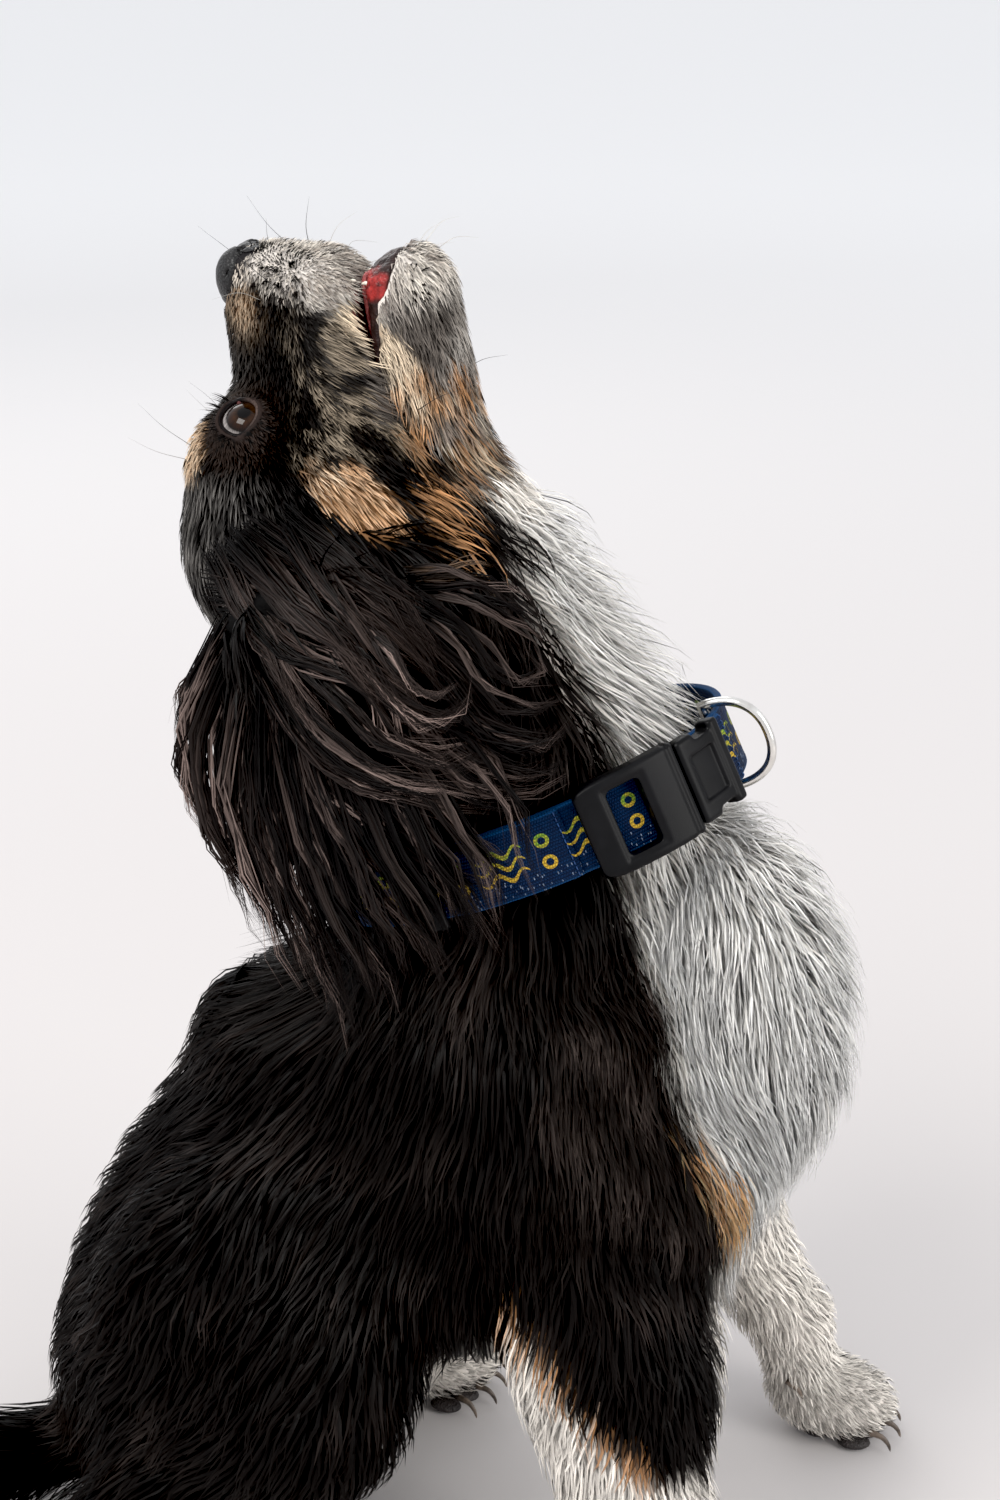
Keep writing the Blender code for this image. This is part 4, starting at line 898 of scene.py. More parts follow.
def scatter(mask, spacing):
    """Even random roots on the masked faces of the skin, about the given distance apart there."""
    idx = np.nonzero(mask)[0]
    sp = np.broadcast_to(spacing, mask.shape)[idx]
    lam = T_AREA[idx] / sp ** 2 * 2.2
    cnt = rng.poisson(lam)
    f = np.repeat(idx, cnt)
    s = np.repeat(sp, cnt)
    u, v = rng.random(len(f)), rng.random(len(f))
    m = u + v > 1
    u[m], v[m] = 1 - u[m], 1 - v[m]
    P = TA[f] + (TB[f] - TA[f]) * u[:, None] + (TC[f] - TA[f]) * v[:, None]
    N = SN[SV_TRI[f, 0]] * (1 - u - v)[:, None] + SN[SV_TRI[f, 1]] * u[:, None] + SN[SV_TRI[f, 2]] * v[:, None]
    lev = np.rint(np.log(s) / math.log(1.15)).astype(int)
    size = 1.15 ** lev * 1.02
    cell = np.floor((P + rng.random(3) * 5) / size[:, None]).astype(np.int64)
    key = ((cell[:, 0] * 4096 + cell[:, 1]) * 4096 + cell[:, 2]) * 64 + (lev + 32)
    _, first = np.unique(key, return_index=True)
    return P[first], N[first] / (np.linalg.norm(N[first], axis=1)[:, None] + 1e-9), s[first]


def unit_rows(V):
    return V / (np.linalg.norm(V, axis=1)[:, None] + 1e-9)


def walk(P0, N0, L, n, lift, rise, jit, wave, wavelen, phase, flow=None, drop=0.0, pull=0.35, seed=11):
    """Paths of n + 1 points that leave the skin and then follow the lie of the coat at a height under its outline."""
    pts = [P0 - N0 * 0.5]
    p = P0.copy()
    swirl = hash_noise(P0, 30.0, seed) * 0.30 + hash_noise(P0, 11.0, seed + 1) * 0.16
    for i in range(1, n + 1):
        s = i / n
        ds = L / n
        f = sample(LAX, FLOW, p) if flow is None else flow(p, s)
        nr = unit_rows(sample(LAX, NRM, p))
        f = unit_rows(f - nr * (f * nr).sum(1)[:, None] + 1e-6)
        b = np.cross(nr, f)
        ang = jit + swirl + wave * np.sin(phase + 2 * math.pi * s * L / wavelen)
        d = f * np.cos(ang)[:, None] + b * np.sin(ang)[:, None]
        q = p + d * ds[:, None]
        if drop:
            q[:, 2] -= drop * ds * s
        h = lift * (1.0 - (1.0 - s) ** rise)
        hq = sample(LAX, SKIN_D, q)
        corr = h - hq
        corr = np.where(corr > 0, corr, corr * pull)
        q = q + nr * np.clip(corr, -0.5 * ds, 1.1 * ds)[:, None]
        q[:, 2] = np.maximum(q[:, 2], 1.0)
        pts.append(q)
        p = q
    return np.stack(pts, 1)


def clump(paths, P0, cell, amount, seed, part=None):
    """Draws neighbouring paths together towards their tips, into locks about cell wide."""
    from mathutils.kdtree import KDTree
    jitter = P0 + np.stack([hash_noise(P0, cell * 1.1, seed + k) for k in range(3)], 1) * cell * 0.35
    key = np.floor(P0 / cell).astype(np.int64)
    key = (key[:, 0] * 4096 + key[:, 1]) * 4096 + key[:, 2]
    _, first = np.unique(key, return_index=True)
    tree = KDTree(len(first))
    for i, j in enumerate(first):
        tree.insert(P0[j], i)
    tree.balance()
    near = np.array([tree.find(p)[1] for p in jitter])
    g = first[near]
    n = paths.shape[1]
    u = np.linspace(0, 1, n)[None, :, None]
    off = (paths[:, :1] - paths[g][:, :1])
    target = paths[g] + off * (1 - 0.92 * u ** 0.8)
    am = np.broadcast_to(amount, len(P0))[:, None, None]
    w = am * u ** 0.9
    return paths + (target - paths) * w, g


COATS = []


def tufts(paths, N0, width, root_c, tip_c, twist=None, thick=0.36, fat=0.30, shade=None, nrm_fn=None, tag=None, tip_w=0.22, curve=1.0, soft=0.72):
    """Closed tapering tufts along the paths: three-sided, flat to the body, as arrays of points and faces."""
    N, m, _ = paths.shape
    n = m - 1                                   # rings 0..n-1 and a tip point
    tan = np.zeros_like(paths)
    tan[:, 1:-1] = paths[:, 2:] - paths[:, :-2]
    tan[:, 0] = paths[:, 1] - paths[:, 0]
    tan[:, -1] = paths[:, -1] - paths[:, -2]
    tan /= np.linalg.norm(tan, axis=2)[..., None] + 1e-9
    flat = paths.reshape(-1, 3)
    nr = unit_rows(sample(LAX, NRM, flat)) if nrm_fn is None else nrm_fn(flat)
    nr = nr.reshape(N, m, 3)
    nr = nr - tan * (nr * tan).sum(2)[..., None]
    bad = np.linalg.norm(nr, axis=2) < 0.15
    nr = np.where(bad[..., None], N0[:, None, :] - tan * (N0[:, None, :] * tan).sum(2)[..., None], nr)
    nr /= np.linalg.norm(nr, axis=2)[..., None] + 1e-9
    if twist is not None:
        bi = np.cross(tan, nr)
        nr = nr * np.cos(twist)[:, None, None] + bi * np.sin(twist)[:, None, None]
    bi = np.cross(tan, nr)
    u = np.arange(n) / float(n)
    prof = (fat + (1 - fat) * np.sin(math.pi * np.clip(u * 1.15 + 0.08, 0, 1)) ** 0.7)
    prof = np.maximum(prof, 0) * (1 - (1 - tip_w) * np.clip((u - 0.55) / 0.45, 0, 1) ** 1.3)
    w = width[:, None] * prof[None, :] * 0.5
    c = paths[:, :n]
    a = c - bi[:, :n] * w[..., None] - nr[:, :n] * (w * thick * 0.6)[..., None]
    b = c + bi[:, :n] * w[..., None] - nr[:, :n] * (w * thick * 0.6)[..., None]
    t = c + nr[:, :n] * (w * thick * 1.6)[..., None]
    rings = np.stack([a, b, t], 2).reshape(N, n * 3, 3)
    V = np.concatenate([rings, paths[:, -1:]], 1)            # N x (3n + 1)
    V[..., 2] = np.maximum(V[..., 2], 0.55)
    k = 3 * n + 1
    tris = [(0, 2, 1)]
    for i in range(n - 1):
        for j in range(3):
            p, q = i * 3 + j, i * 3 + (j + 1) % 3
            tris += [(p, q, q + 3), (p, q + 3, p + 3)]
    for j in range(3):
        tris.append(((n - 1) * 3 + j, (n - 1) * 3 + (j + 1) % 3, 3 * n))
    tris = np.array(tris)[:, ::-1]
    F = (tris[None] + (np.arange(N) * k)[:, None, None]).reshape(-1, 3)
    uu = np.concatenate([np.repeat(u, 3), [1.0]])
    mixu = (uu ** curve)[None, :, None]
    sh = 1.0 if shade is None else shade[:, None, None]
    C = (root_c[:, None, :] + (tip_c - root_c)[:, None, :] * mixu) * sh
    # painted shade: each tuft darkens towards its root, more for dark hair, standing in for the shadow deep among the
    # rest of the coat
    lum = np.clip(tip_c.mean(1) / 0.6, 0, 1)[:, None, None]
    C = C * (1.0 - (0.5 - 0.36 * lum) * (1 - np.clip(uu * 3.2, 0, 1))[None, :, None])
    seg = np.linalg.norm(np.diff(paths, axis=1), axis=2)
    al = np.concatenate([np.zeros((N, 1)), np.cumsum(seg, 1)], 1)
    al = np.concatenate([np.repeat(al[:, :n], 3, axis=1), al[:, -1:]], 1)
    ac = np.concatenate([np.tile([-1.0, 1.0, 0.0], n), [0.0]])
    ident = rng.random(N)
    S = np.stack([np.broadcast_to(ac[None] * width[:, None], al.shape), al, np.broadcast_to(ident[:, None] * 37.0, al.shape)], -1)
    across = np.broadcast_to(ac[None], al.shape)
    # shading normals lean towards the coat's own surface, so that hair is lit as a mass
    sn = np.stack([nr[:, :n] * soft - bi[:, :n] * (1 - soft), nr[:, :n] * soft + bi[:, :n] * (1 - soft), nr[:, :n]], 2).reshape(N, n * 3, 3)
    sn = np.concatenate([sn, nr[:, -1:]], 1)
    sn = sn / (np.linalg.norm(sn, axis=2)[..., None] + 1e-9)
    return dict(NV=sn.reshape(-1, 3), V=V.reshape(-1, 3), F=F, C=C.reshape(-1, 3), S=S.reshape(-1, 3), k=k, N=N,
                loc=np.stack([across, np.broadcast_to(uu[None], al.shape)], -1).reshape(-1, 2), root=paths[:, 0], tris=len(tris))


PART_AXIS = {   # line round which each piece's skin is unrolled for its OFBake map
    "head": (head_pt((-80, 0, -5)), head_pt((80, 0, -5))),
    "neck": (np.array([20.0, 0, 240]), np.array([-35.0, 0, 420])),
    "chest": (np.array([10.0, 0, 120]), np.array([40.0, 0, 330])),
    "trunk": (np.array([-120.0, 0, 10]), np.array([0.0, 0, 300])),
    "fore_right": (np.array([70.0, -64, 0]), np.array([52.0, -56, 200])),
    "fore_left": (np.array([118.0, 100, 0]), np.array([52.0, 54, 200])),
    "hind_right": (np.array([-90.0, -70, 0]), np.array([-80.0, -60, 200])),
    "hind_left": (np.array([-90.0, 70, 0]), np.array([-80.0, 60, 200])),
    "tail": (np.array([-150.0, -10, 30]), np.array([-330.0, -95, 14])),
    "ear_right": (np.array([-56.0, -50, 260]), np.array([-26.0, -44, 420])),
    "ear_left": (np.array([-56.0, 50, 260]), np.array([-26.0, 44, 420])),
}


def unroll(P, axis):
    a, b = axis
    d = unit(b - a)
    e = unit(np.cross(d, (0.1, 1.0, 0.05)))
    g = np.cross(d, e)
    Q = P - a
    u = 0.5 + 0.5 * np.arctan2(Q @ g, Q @ e) / math.pi
    v = (Q @ d) / np.linalg.norm(b - a)
    return np.stack([0.02 + 0.96 * u, 0.05 + 0.88 * np.clip(v, -0.05, 1.05)], 1)


def mesh_from(name, V, F, smooth=True):
    """A mesh object from arrays in millimetres in the drawing frame."""
    me = bpy.data.meshes.new(name)
    me.vertices.add(len(V))
    me.vertices.foreach_set("co", ((V + SHIFT) / 1000.0).astype(np.float32).ravel())
    k = F.shape[1]
    me.loops.add(F.size)
    me.loops.foreach_set("vertex_index", F.astype(np.int32).ravel())
    me.polygons.add(len(F))
    me.polygons.foreach_set("loop_start", (np.arange(len(F)) * k).astype(np.int32))
    me.update(calc_edges=True)
    me.validate()
    if smooth:
        me.shade_smooth()
    o = bpy.data.objects.new(name, me)
    bpy.context.scene.collection.objects.link(o)
    return o


def put_colour(me, name, C):
    at = me.attributes.new(name, "FLOAT_COLOR", "POINT")
    at.data.foreach_set("color", np.concatenate([C, np.ones((len(C), 1))], 1).astype(np.float32).ravel())


def put_vector(me, name, S):
    at = me.attributes.new(name, "FLOAT_VECTOR", "POINT")
    at.data.foreach_set("vector", S.astype(np.float32).ravel())


def put_float(me, name, S):
    at = me.attributes.new(name, "FLOAT", "POINT")
    at.data.foreach_set("value", S.astype(np.float32).ravel())


MAX_TRIS = 192000


def coat_piece(name, batches, axis, mat):
    """Joins batches of tufts into pieces of fewer than 200,000 triangles, with their maps and colours."""
    out, part, count = [], [], 0
    queue = []
    for b in batches:
        per = max(1, (MAX_TRIS // 2) // b["tris"])
        for i in range(0, b["N"], per):
            j = min(b["N"], i + per)
            k = b["k"]
            queue.append(dict(V=b["V"][i * k:j * k], F=b["F"][i * b["tris"]:j * b["tris"]] - i * k, C=b["C"][i * k:j * k], S=b["S"][i * k:j * k], NV=b["NV"][i * k:j * k],
                              loc=b["loc"][i * k:j * k], root=b["root"][i:j], k=k, N=j - i, tris=b["tris"]))
    groups, cur, tot = [], [], 0
    for q in queue:
        t = q["N"] * q["tris"]
        if cur and tot + t > MAX_TRIS:
            groups.append(cur)
            cur, tot = [], 0
        cur.append(q)
        tot += t
    if cur:
        groups.append(cur)
    for gi, grp in enumerate(groups):
        V, F, C, S, UV, NV = [], [], [], [], [], []
        base = 0
        for q in grp:
            V.append(q["V"])
            F.append(q["F"] + base)
            C.append(q["C"])
            S.append(q["S"])
            NV.append(q["NV"])
            base += len(q["V"])
            c = unroll(q["root"], axis)
            UV.append(np.repeat(c, q["k"], axis=0) + (q["loc"] * np.array([0.5, 1.0]) - np.array([0.0, 0.5])) * 0.003)
        V, F, C, S, UV, NV = (np.concatenate(z) for z in (V, F, C, S, UV, NV))
        nm = name if len(groups) == 1 else "%s_%d" % (name, gi + 1)
        o = mesh_from(nm, V, F)
        me = o.data
        put_colour(me, "Col", C)
        put_vector(me, "strand", S)
        uv = me.uv_layers.new(name="OFBake")
        uv.data.foreach_set("uv", UV[F.ravel()].astype(np.float32).ravel())
        me.materials.append(mat)
        me.normals_split_custom_set_from_vertices(NV.astype(np.float32))
        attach(o, "root")
        out.append(o)
        print("[piece]", nm, len(F), "triangles", sum(q["N"] for q in grp), "tufts")
    return out


# ------------------------------------------------------------------ materials of the hair
def nodes_of(name):
    m = bpy.data.materials.new(name)
    m.use_nodes = True
    nt = m.node_tree
    b = nt.nodes["Principled BSDF"]
    return m, nt, b


def add(nt, kind, **kw):
    n = nt.nodes.new(kind)
    for k, v in kw.items():
        setattr(n, k, v)
    return n


def hair_material(name, rough=0.42, spec=0.5, sheen=0.0, contrast=0.35, bump=0.35, var=0.25, sss=0.0):
    """Strands drawn along each tuft: fine streaks in colour, gloss and relief, and a small change from tuft to tuft."""
    m, nt, b = nodes_of(name)
    col = add(nt, "ShaderNodeAttribute", attribute_name="Col")
    st = add(nt, "ShaderNodeAttribute", attribute_name="strand")
    mp = add(nt, "ShaderNodeMapping")
    mp.inputs["Scale"].default_value = (3.4, 0.10, 1.0)
    nt.links.new(st.outputs["Vector"], mp.inputs["Vector"])
    no = add(nt, "ShaderNodeTexNoise")
    no.inputs["Scale"].default_value = 1.0
    no.inputs["Detail"].default_value = 3.0
    no.inputs["Roughness"].default_value = 0.6
    nt.links.new(mp.outputs["Vector"], no.inputs["Vector"])
    mr = add(nt, "ShaderNodeMapRange")
    mr.inputs["From Min"].default_value = 0.3
    mr.inputs["From Max"].default_value = 0.7
    mr.inputs["To Min"].default_value = 1.0 - contrast
    mr.inputs["To Max"].default_value = 1.0 + contrast * 0.6
    nt.links.new(no.outputs["Fac"], mr.inputs["Value"])
    sep = add(nt, "ShaderNodeSeparateXYZ")
    nt.links.new(st.outputs["Vector"], sep.inputs["Vector"])
    wn = add(nt, "ShaderNodeTexWhiteNoise", noise_dimensions="1D")
    nt.links.new(sep.outputs["Z"], wn.inputs["W"])
    mv = add(nt, "ShaderNodeMapRange")
    mv.inputs["To Min"].default_value = 1.0 - var
    mv.inputs["To Max"].default_value = 1.0 + var
    nt.links.new(wn.outputs["Value"], mv.inputs["Value"])
    mu = add(nt, "ShaderNodeMath", operation="MULTIPLY")
    nt.links.new(mr.outputs["Result"], mu.inputs[0])
    nt.links.new(mv.outputs["Result"], mu.inputs[1])
    vm = add(nt, "ShaderNodeVectorMath", operation="SCALE")
    nt.links.new(col.outputs["Color"], vm.inputs[0])
    nt.links.new(mu.outputs["Value"], vm.inputs["Scale"])
    nt.links.new(vm.outputs["Vector"], b.inputs["Base Color"])
    rr = add(nt, "ShaderNodeMapRange")
    rr.inputs["To Min"].default_value = rough - 0.10
    rr.inputs["To Max"].default_value = rough + 0.14
    nt.links.new(no.outputs["Fac"], rr.inputs["Value"])
    nt.links.new(rr.outputs["Result"], b.inputs["Roughness"])
    bp = add(nt, "ShaderNodeBump")
    bp.inputs["Strength"].default_value = bump
    bp.inputs["Distance"].default_value = 0.0003
    nt.links.new(no.outputs["Fac"], bp.inputs["Height"])
    nt.links.new(bp.outputs["Normal"], b.inputs["Normal"])
    b.inputs["Specular IOR Level"].default_value = spec
    b.inputs["Sheen Weight"].default_value = sheen
    b.inputs["Sheen Roughness"].default_value = 0.4
    if sss:
        b.inputs["Subsurface Weight"].default_value = sss
        b.inputs["Subsurface Radius"].default_value = (0.010, 0.010, 0.010)
    return m


M_FACE = hair_material("hair_face", 0.40, 0.085, 0.0, 0.40, 0.25, 0.32)
M_SKULL = hair_material("hair_skull", 0.36, 0.09, 0.0, 0.45, 0.25, 0.35)
M_BODY = hair_material("hair_body", 0.34, 0.085, 0.0, 0.50, 0.35, 0.35)
M_WHITE = hair_material("hair_pale", 0.60, 0.06, 0.0, 0.05, 0.12, 0.05, sss=1.0)
M_NECK = hair_material("hair_neck", 0.46, 0.07, 0.0, 0.14, 0.2, 0.08, sss=0.9)
M_EAR = hair_material("hair_ear", 0.32, 0.10, 0.0, 0.50, 0.35, 0.35)

# ------------------------------------------------------------------ where each kind of hair grows
T_PART = part_at(T_MID)
T_HEAD = head_local(T_MID)
T_SIDE = T_MID[:, 1]
_phi, _r, _h = ring_coords(T_MID)
UNDER_STRAP = (np.abs(_h) < 12.2) & (_r > -22)
ear_d = np.full(len(T_MID), 99.0)
for q in EAR_LEATHER:
    lo, hi = prim_box(q, 6.0)
    nn = np.nonzero(((T_MID > lo) & (T_MID < hi)).all(1))[0]
    ear_d[nn] = np.minimum(ear_d[nn], prim_dist(q, T_MID[nn]))
T_EAR = ear_d < 1.2
T_LOW = T_MID[:, 2] < 2.2


T_BARE = ((leather_mask(T_HEAD) > 0.02) | (lip_mask(T_HEAD) > 0.0)) & (T_HEAD[:, 0] > 20)
gap_t, r_t = lid_gap(T_HEAD)
T_EYE = (gap_t < 0.035) & (r_t < EYE_R + 7) | (r_t < EYE_R + 0.7)
IN_MOUTH = (T_HEAD[:, 0] > 24) & (np.abs(T_HEAD[:, 2] + 26.2) < 4.2) & (np.abs(SN[SV_TRI[:, 0]] @ HZ) > 0.75) & (np.abs(T_HEAD[:, 1]) < 17)
OPEN = ~(UNDER_STRAP | T_EAR | T_LOW | T_BARE | T_EYE | IN_MOUTH)


def head_flow(p, s):
    """The lie of the hair on the head: back from the nose, parting round the eyes and sweeping down to the ears."""
    f = sample(LAX, FLOW, p)
    L = head_local(p)
    sy = np.where(L[:, 1] < 0, -1.0, 1.0)
    x, a, z = L[:, 0], np.abs(L[:, 1]), L[:, 2]
    g = f @ HR
    # cheeks sweep down and back
    c = ramp(a, 18, 36) * ramp(30 - x, 0, 24) * ramp(30 - z, 0, 24)
    g = g + c[:, None] * np.array([0.10, 0.0, -0.62])
    # crown sweeps towards the ears' roots
    k = ramp(-x, 20, 60) * ramp(z, -20, 20)
    g = g + k[:, None] * np.stack([0.15 + 0 * x, 0.25 * sy, -0.75 + 0 * x], 1)
    # round the eye
    v = np.stack([x, a, z], 1) - EYE_C
    dd = np.linalg.norm(v, axis=1) + 1e-6
    wv = 2.2 * np.exp(-np.maximum(dd - 11.0, 0) / 4.0) * (x > EYE_C[0] - 14)
    v = v / dd[:, None]
    v[:, 1] *= sy
    g = g + wv[:, None] * v
    # on the lips the hair falls to the edge
    l = ramp(x, 22, 34) * ramp(-z, 6, 14) * ramp(z, -40, -27)
    g = g + l[:, None] * np.array([0.15, 0.0, -0.55])
    return unit_rows(g @ HR.T)


def grow(mask, spacing, length, width, n, part_lift=(0.45, 1.05), rise=2.2, wave=0.12, wavelen=22.0, cell=8.0, amount=0.4,
         jit=0.14, thick=0.36, flow=None, drop=0.0, pull=0.35, seed=1, curve=1.0, twist=0.4, lift_add=0.0, press=False, tipmix=1.0, keep=None, groove=None, soft=0.8, lift_fn=None, mid=0.55, mingle=0.7):
    """One batch of tufts on the masked faces. length and width take the root points."""
    P, N, s = scatter(mask & OPEN, spacing)
    if keep is not None:
        k = keep(P)
        P, N = P[k], N[k]
    L = length(P) * rng.uniform(0.78, 1.16, len(P))
    W = width(P) * rng.uniform(0.75, 1.25, len(P))
    depth = sample(LAX, COAT_D, P)
    lift = depth * rng.uniform(part_lift[0], part_lift[1], len(P)) + lift_add * rng.random(len(P))
    if lift_fn is not None:
        lift = lift + lift_fn(P) * rng.random(len(P)) ** 1.3
    if groove is not None:
        lift = lift * (1.0 - 0.85 * groove(P))
        L = L * (1.0 - 0.35 * groove(P))
    ph = hash_noise(P, 24.0, seed + 40) * 3.0 + rng.uniform(-0.5, 0.5, len(P))
    paths = walk(P, N, L, n, lift, rise, rng.normal(0, jit, len(P)), wave, wavelen, ph, flow=flow, drop=drop, pull=pull, seed=seed)
    if cell:
        paths, g = clump(paths, P, cell, amount * rng.uniform(0.6, 1.1, len(P)), seed + 7)
    if press:
        m = paths.shape[1]
        q = press_under_collar(paths.reshape(-1, 3))
        paths = q.reshape(-1, m, 3)
    k = mid * n
    k0 = int(k)
    where = paths[:, k0] * (1 - (k - k0)) + paths[:, min(k0 + 1, n)] * (k - k0)
    rc, tc, wt = markings(where + rng.normal(0, mingle, P.shape))
    tc = rc + (tc - rc) * tipmix
    shade = 1.0 + 0.16 * hash_noise(P, 14.0, seed + 50) + 0.08 * rng.normal(0, 1, len(P))
    shade = np.clip(shade, 0.6, 1.4)
    shade = 1.0 + (shade - 1.0) * (1.0 - 0.72 * wt)
    # painted shade: tufts in the valleys between the toes are darkened
    if groove is not None:
        painted_toe_shade = groove(P)
        shade = shade * (1.0 - 0.55 * painted_toe_shade)
    return tufts(paths, N, W, rc, tc, twist=rng.normal(0, twist, len(P)), thick=thick, shade=shade, curve=curve, soft=soft)


def band_len(points, values):
    def f(v):
        return np.interp(v, points, values)
    return f


ht = T_HEAD
is_head_t = (T_PART == 5) | (T_PART == 6)
# ---- face: short hair
face = is_head_t & (ht[:, 0] > 4)


def face_len(P):
    L = head_local(P)
    v = np.interp(L[:, 0], [0, 14, 26, 44, 60, 72], [9.5, 6.5, 5.0, 4.8, 3.6, 2.6])
    v = v * np.where(L[:, 2] < -10, 1.35, 1.0) * np.where((L[:, 2] < -34), 1.5, 1.0)
    A = L.copy()
    A[:, 1] = np.abs(A[:, 1])
    de = np.linalg.norm(A - EYE_C, axis=1)
    return v * np.clip((de - 9.0) / 9.0, 0.30, 1.0)


def const(v):
    return lambda P: np.full(len(P), float(v))


sp_face = np.interp(ht[:, 0], [0, 20, 70], [1.25, 1.0, 0.88]) * np.where(np.linalg.norm(np.abs(ht) * [1, 1, 1] - EYE_C, axis=1) < 17, 0.8, 1.0)
b_face = grow(face, sp_face, face_len, lambda P: np.interp(head_local(P)[:, 0], [0, 20, 70], [0.75, 0.6, 0.5]), 2, (0.5, 1.2), 2.0, 0.05, 14.0, 0, 0.0, 0.16,
              flow=head_flow, seed=21, twist=0.5)
log("face", b_face["N"])

# ---- longer hair that falls from the upper lip over the corner of the mouth
P, N, s = scatter(is_head_t & OPEN & (ht[:, 0] > 19) & (ht[:, 0] < 47) & (ht[:, 2] > -25) & (ht[:, 2] < -11) & (np.abs(ht[:, 1]) > 13), 1.0)
Q = head_local(P)
sy = np.where(Q[:, 1] < 0, -1.0, 1.0)
K = len(P)
fall = unit_rows(np.stack([-0.50 + 0.12 * rng.normal(0, 1, K), sy * 0.08, -0.85 + 0.1 * rng.normal(0, 1, K)], 1))
LL = np.interp(Q[:, 0], [19, 36, 47], [16, 13, 7]) * rng.uniform(0.75, 1.15, K)
n = 3
tt = np.linspace(0, 1, n + 1)
pp = Q[:, None, :] + fall[:, None, :] * (LL[:, None] * tt[None])[..., None]
pp[..., 1] += sy[:, None] * (1.6 * np.sin(math.pi * tt * 0.75))[None] * rng.uniform(0.5, 1.4, K)[:, None]
pw = HEAD_O + pp.reshape(-1, 3) @ HR.T
dd = sample(LAX, SKIN_D, pw)
pw = pw + unit_rows(sample(LAX, NRM, pw)) * np.clip(0.5 - dd, 0, 6)[:, None]
pp = pw.reshape(K, n + 1, 3)
pp[:, 0] = P - N * 0.3
rc, tc, wt = markings(pp[:, 2] + rng.normal(0, 0.7, P.shape))
b_lip = tufts(pp, N, rng.uniform(0.5, 0.8, K), rc, tc, twist=rng.normal(0, 0.4, K), soft=0.8)
log("lip hair", K)

# ---- dark hairs round the roots of the whiskers
at = []
for zz, x0, m in ((7.5, 54.0, 3), (2.5, 55.5, 4), (-2.5, 54.0, 4), (-8.0, 56.0, 4)):
    for i in range(m):
        for sy in (-1.0, 1.0):
            hx, hz = x0 + 3.9 * i + rng.normal(0, 0.35), zz + 1.1 * i + rng.normal(0, 0.35)
            c = np.nonzero(is_head_t & (ht[:, 1] * sy > 8) & (np.abs(ht[:, 0] - hx) < 4) & (np.abs(ht[:, 2] - hz) < 4))[0]
            if len(c):
                at.append(c[np.argmin((ht[c, 0] - hx) ** 2 + (ht[c, 2] - hz) ** 2)])
at = np.repeat(np.array(at), 8)
K = len(at)
N = unit_rows(sample(LAX, NRM, T_MID[at]))
off = rng.normal(0, 0.62, (K, 3))
P = T_MID[at] + off - N * (off * N).sum(1)[:, None]
d = head_flow(P, 0)
d = unit_rows(d - N * (d * N).sum(1)[:, None] + rng.normal(0, 0.2, (K, 3)))
dep = sample(LAX, COAT_D, P)[:, None]
pp = np.stack([P - N * 0.3, P + N * dep * 0.75 + d * 0.7, P + N * (dep * 1.12 + 0.15) + d * rng.uniform(1.8, 2.8, K)[:, None]], 1)
b_dots = tufts(pp, N, rng.uniform(0.6, 0.9, K), np.tile(BLACK * 2, (K, 1)), np.tile(BROWNBLACK * 1.6, (K, 1)), twist=rng.normal(0, 0.4, K), soft=0.8)

# ---- and a few along the lower lip
rng_l = np.random.default_rng(613)
at = []
for zz, x0, m in ((-43.0, 53.0, 4), (-46.0, 55.0, 3)):
    for i in range(m):
        for sy in (-1.0, 1.0):
            hx, hz = x0 + 3.6 * i + rng_l.normal(0, 0.9), zz + rng_l.normal(0, 0.7)
            c = np.nonzero(is_head_t & (ht[:, 1] * sy > 8) & (np.abs(ht[:, 0] - hx) < 4) & (np.abs(ht[:, 2] - hz) < 4))[0]
            if len(c):
                at.append(c[np.argmin((ht[c, 0] - hx) ** 2 + (ht[c, 2] - hz) ** 2)])
at = np.repeat(np.array(at), 4)
K = len(at)
N = unit_rows(sample(LAX, NRM, T_MID[at]))
off = rng_l.normal(0, 0.8, (K, 3))
P = T_MID[at] + off - N * (off * N).sum(1)[:, None]
d = head_flow(P, 0)
d = unit_rows(d - N * (d * N).sum(1)[:, None] + rng_l.normal(0, 0.2, (K, 3)))
dep = sample(LAX, COAT_D, P)[:, None]
pp = np.stack([P - N * 0.3, P + N * dep * 0.75 + d * 0.6, P + N * (dep * 1.08 + 0.1) + d * rng_l.uniform(1.2, 2.0, K)[:, None]], 1)
b_dots2 = tufts(pp, N, rng_l.uniform(0.6, 0.9, K), np.tile(BLACK * 2, (K, 1)), np.tile(BROWNBLACK * 2.2, (K, 1)), twist=rng_l.normal(0, 0.4, K), soft=0.8)

# ---- skull, cheeks and the angle of the jaw
skull = is_head_t & (ht[:, 0] <= 4)


def skull_len(P):
    L = head_local(P)
    v = np.interp(L[:, 0], [-90, -50, -20, 4], [26, 20, 14, 9])
    v = np.where(L[:, 2] < -30, np.interp(L[:, 2], [-80, -50, -30], [24, 18, 13]), v)
    v = np.maximum(v, np.interp(np.abs(L[:, 1]) - 0.4 * L[:, 2], [25, 60], [0, 15]) * (L[:, 0] < -24))
    return np.where((np.abs(L[:, 1]) > 26) & (L[:, 0] > -24), v * 0.82, v)


b_skull = grow(skull, 1.5, skull_len, const(0.66), 4, (0.25, 0.85), 2.0, 0.08, 24.0, 6.0, 0.30, 0.10, flow=head_flow, seed=31, twist=0.35, mid=0.72, mingle=1.7)
log("skull", b_skull["N"])

# ---- neck and throat
neck = T_PART == 1


def pale(P):
    return markings(P, 0.5)[2]


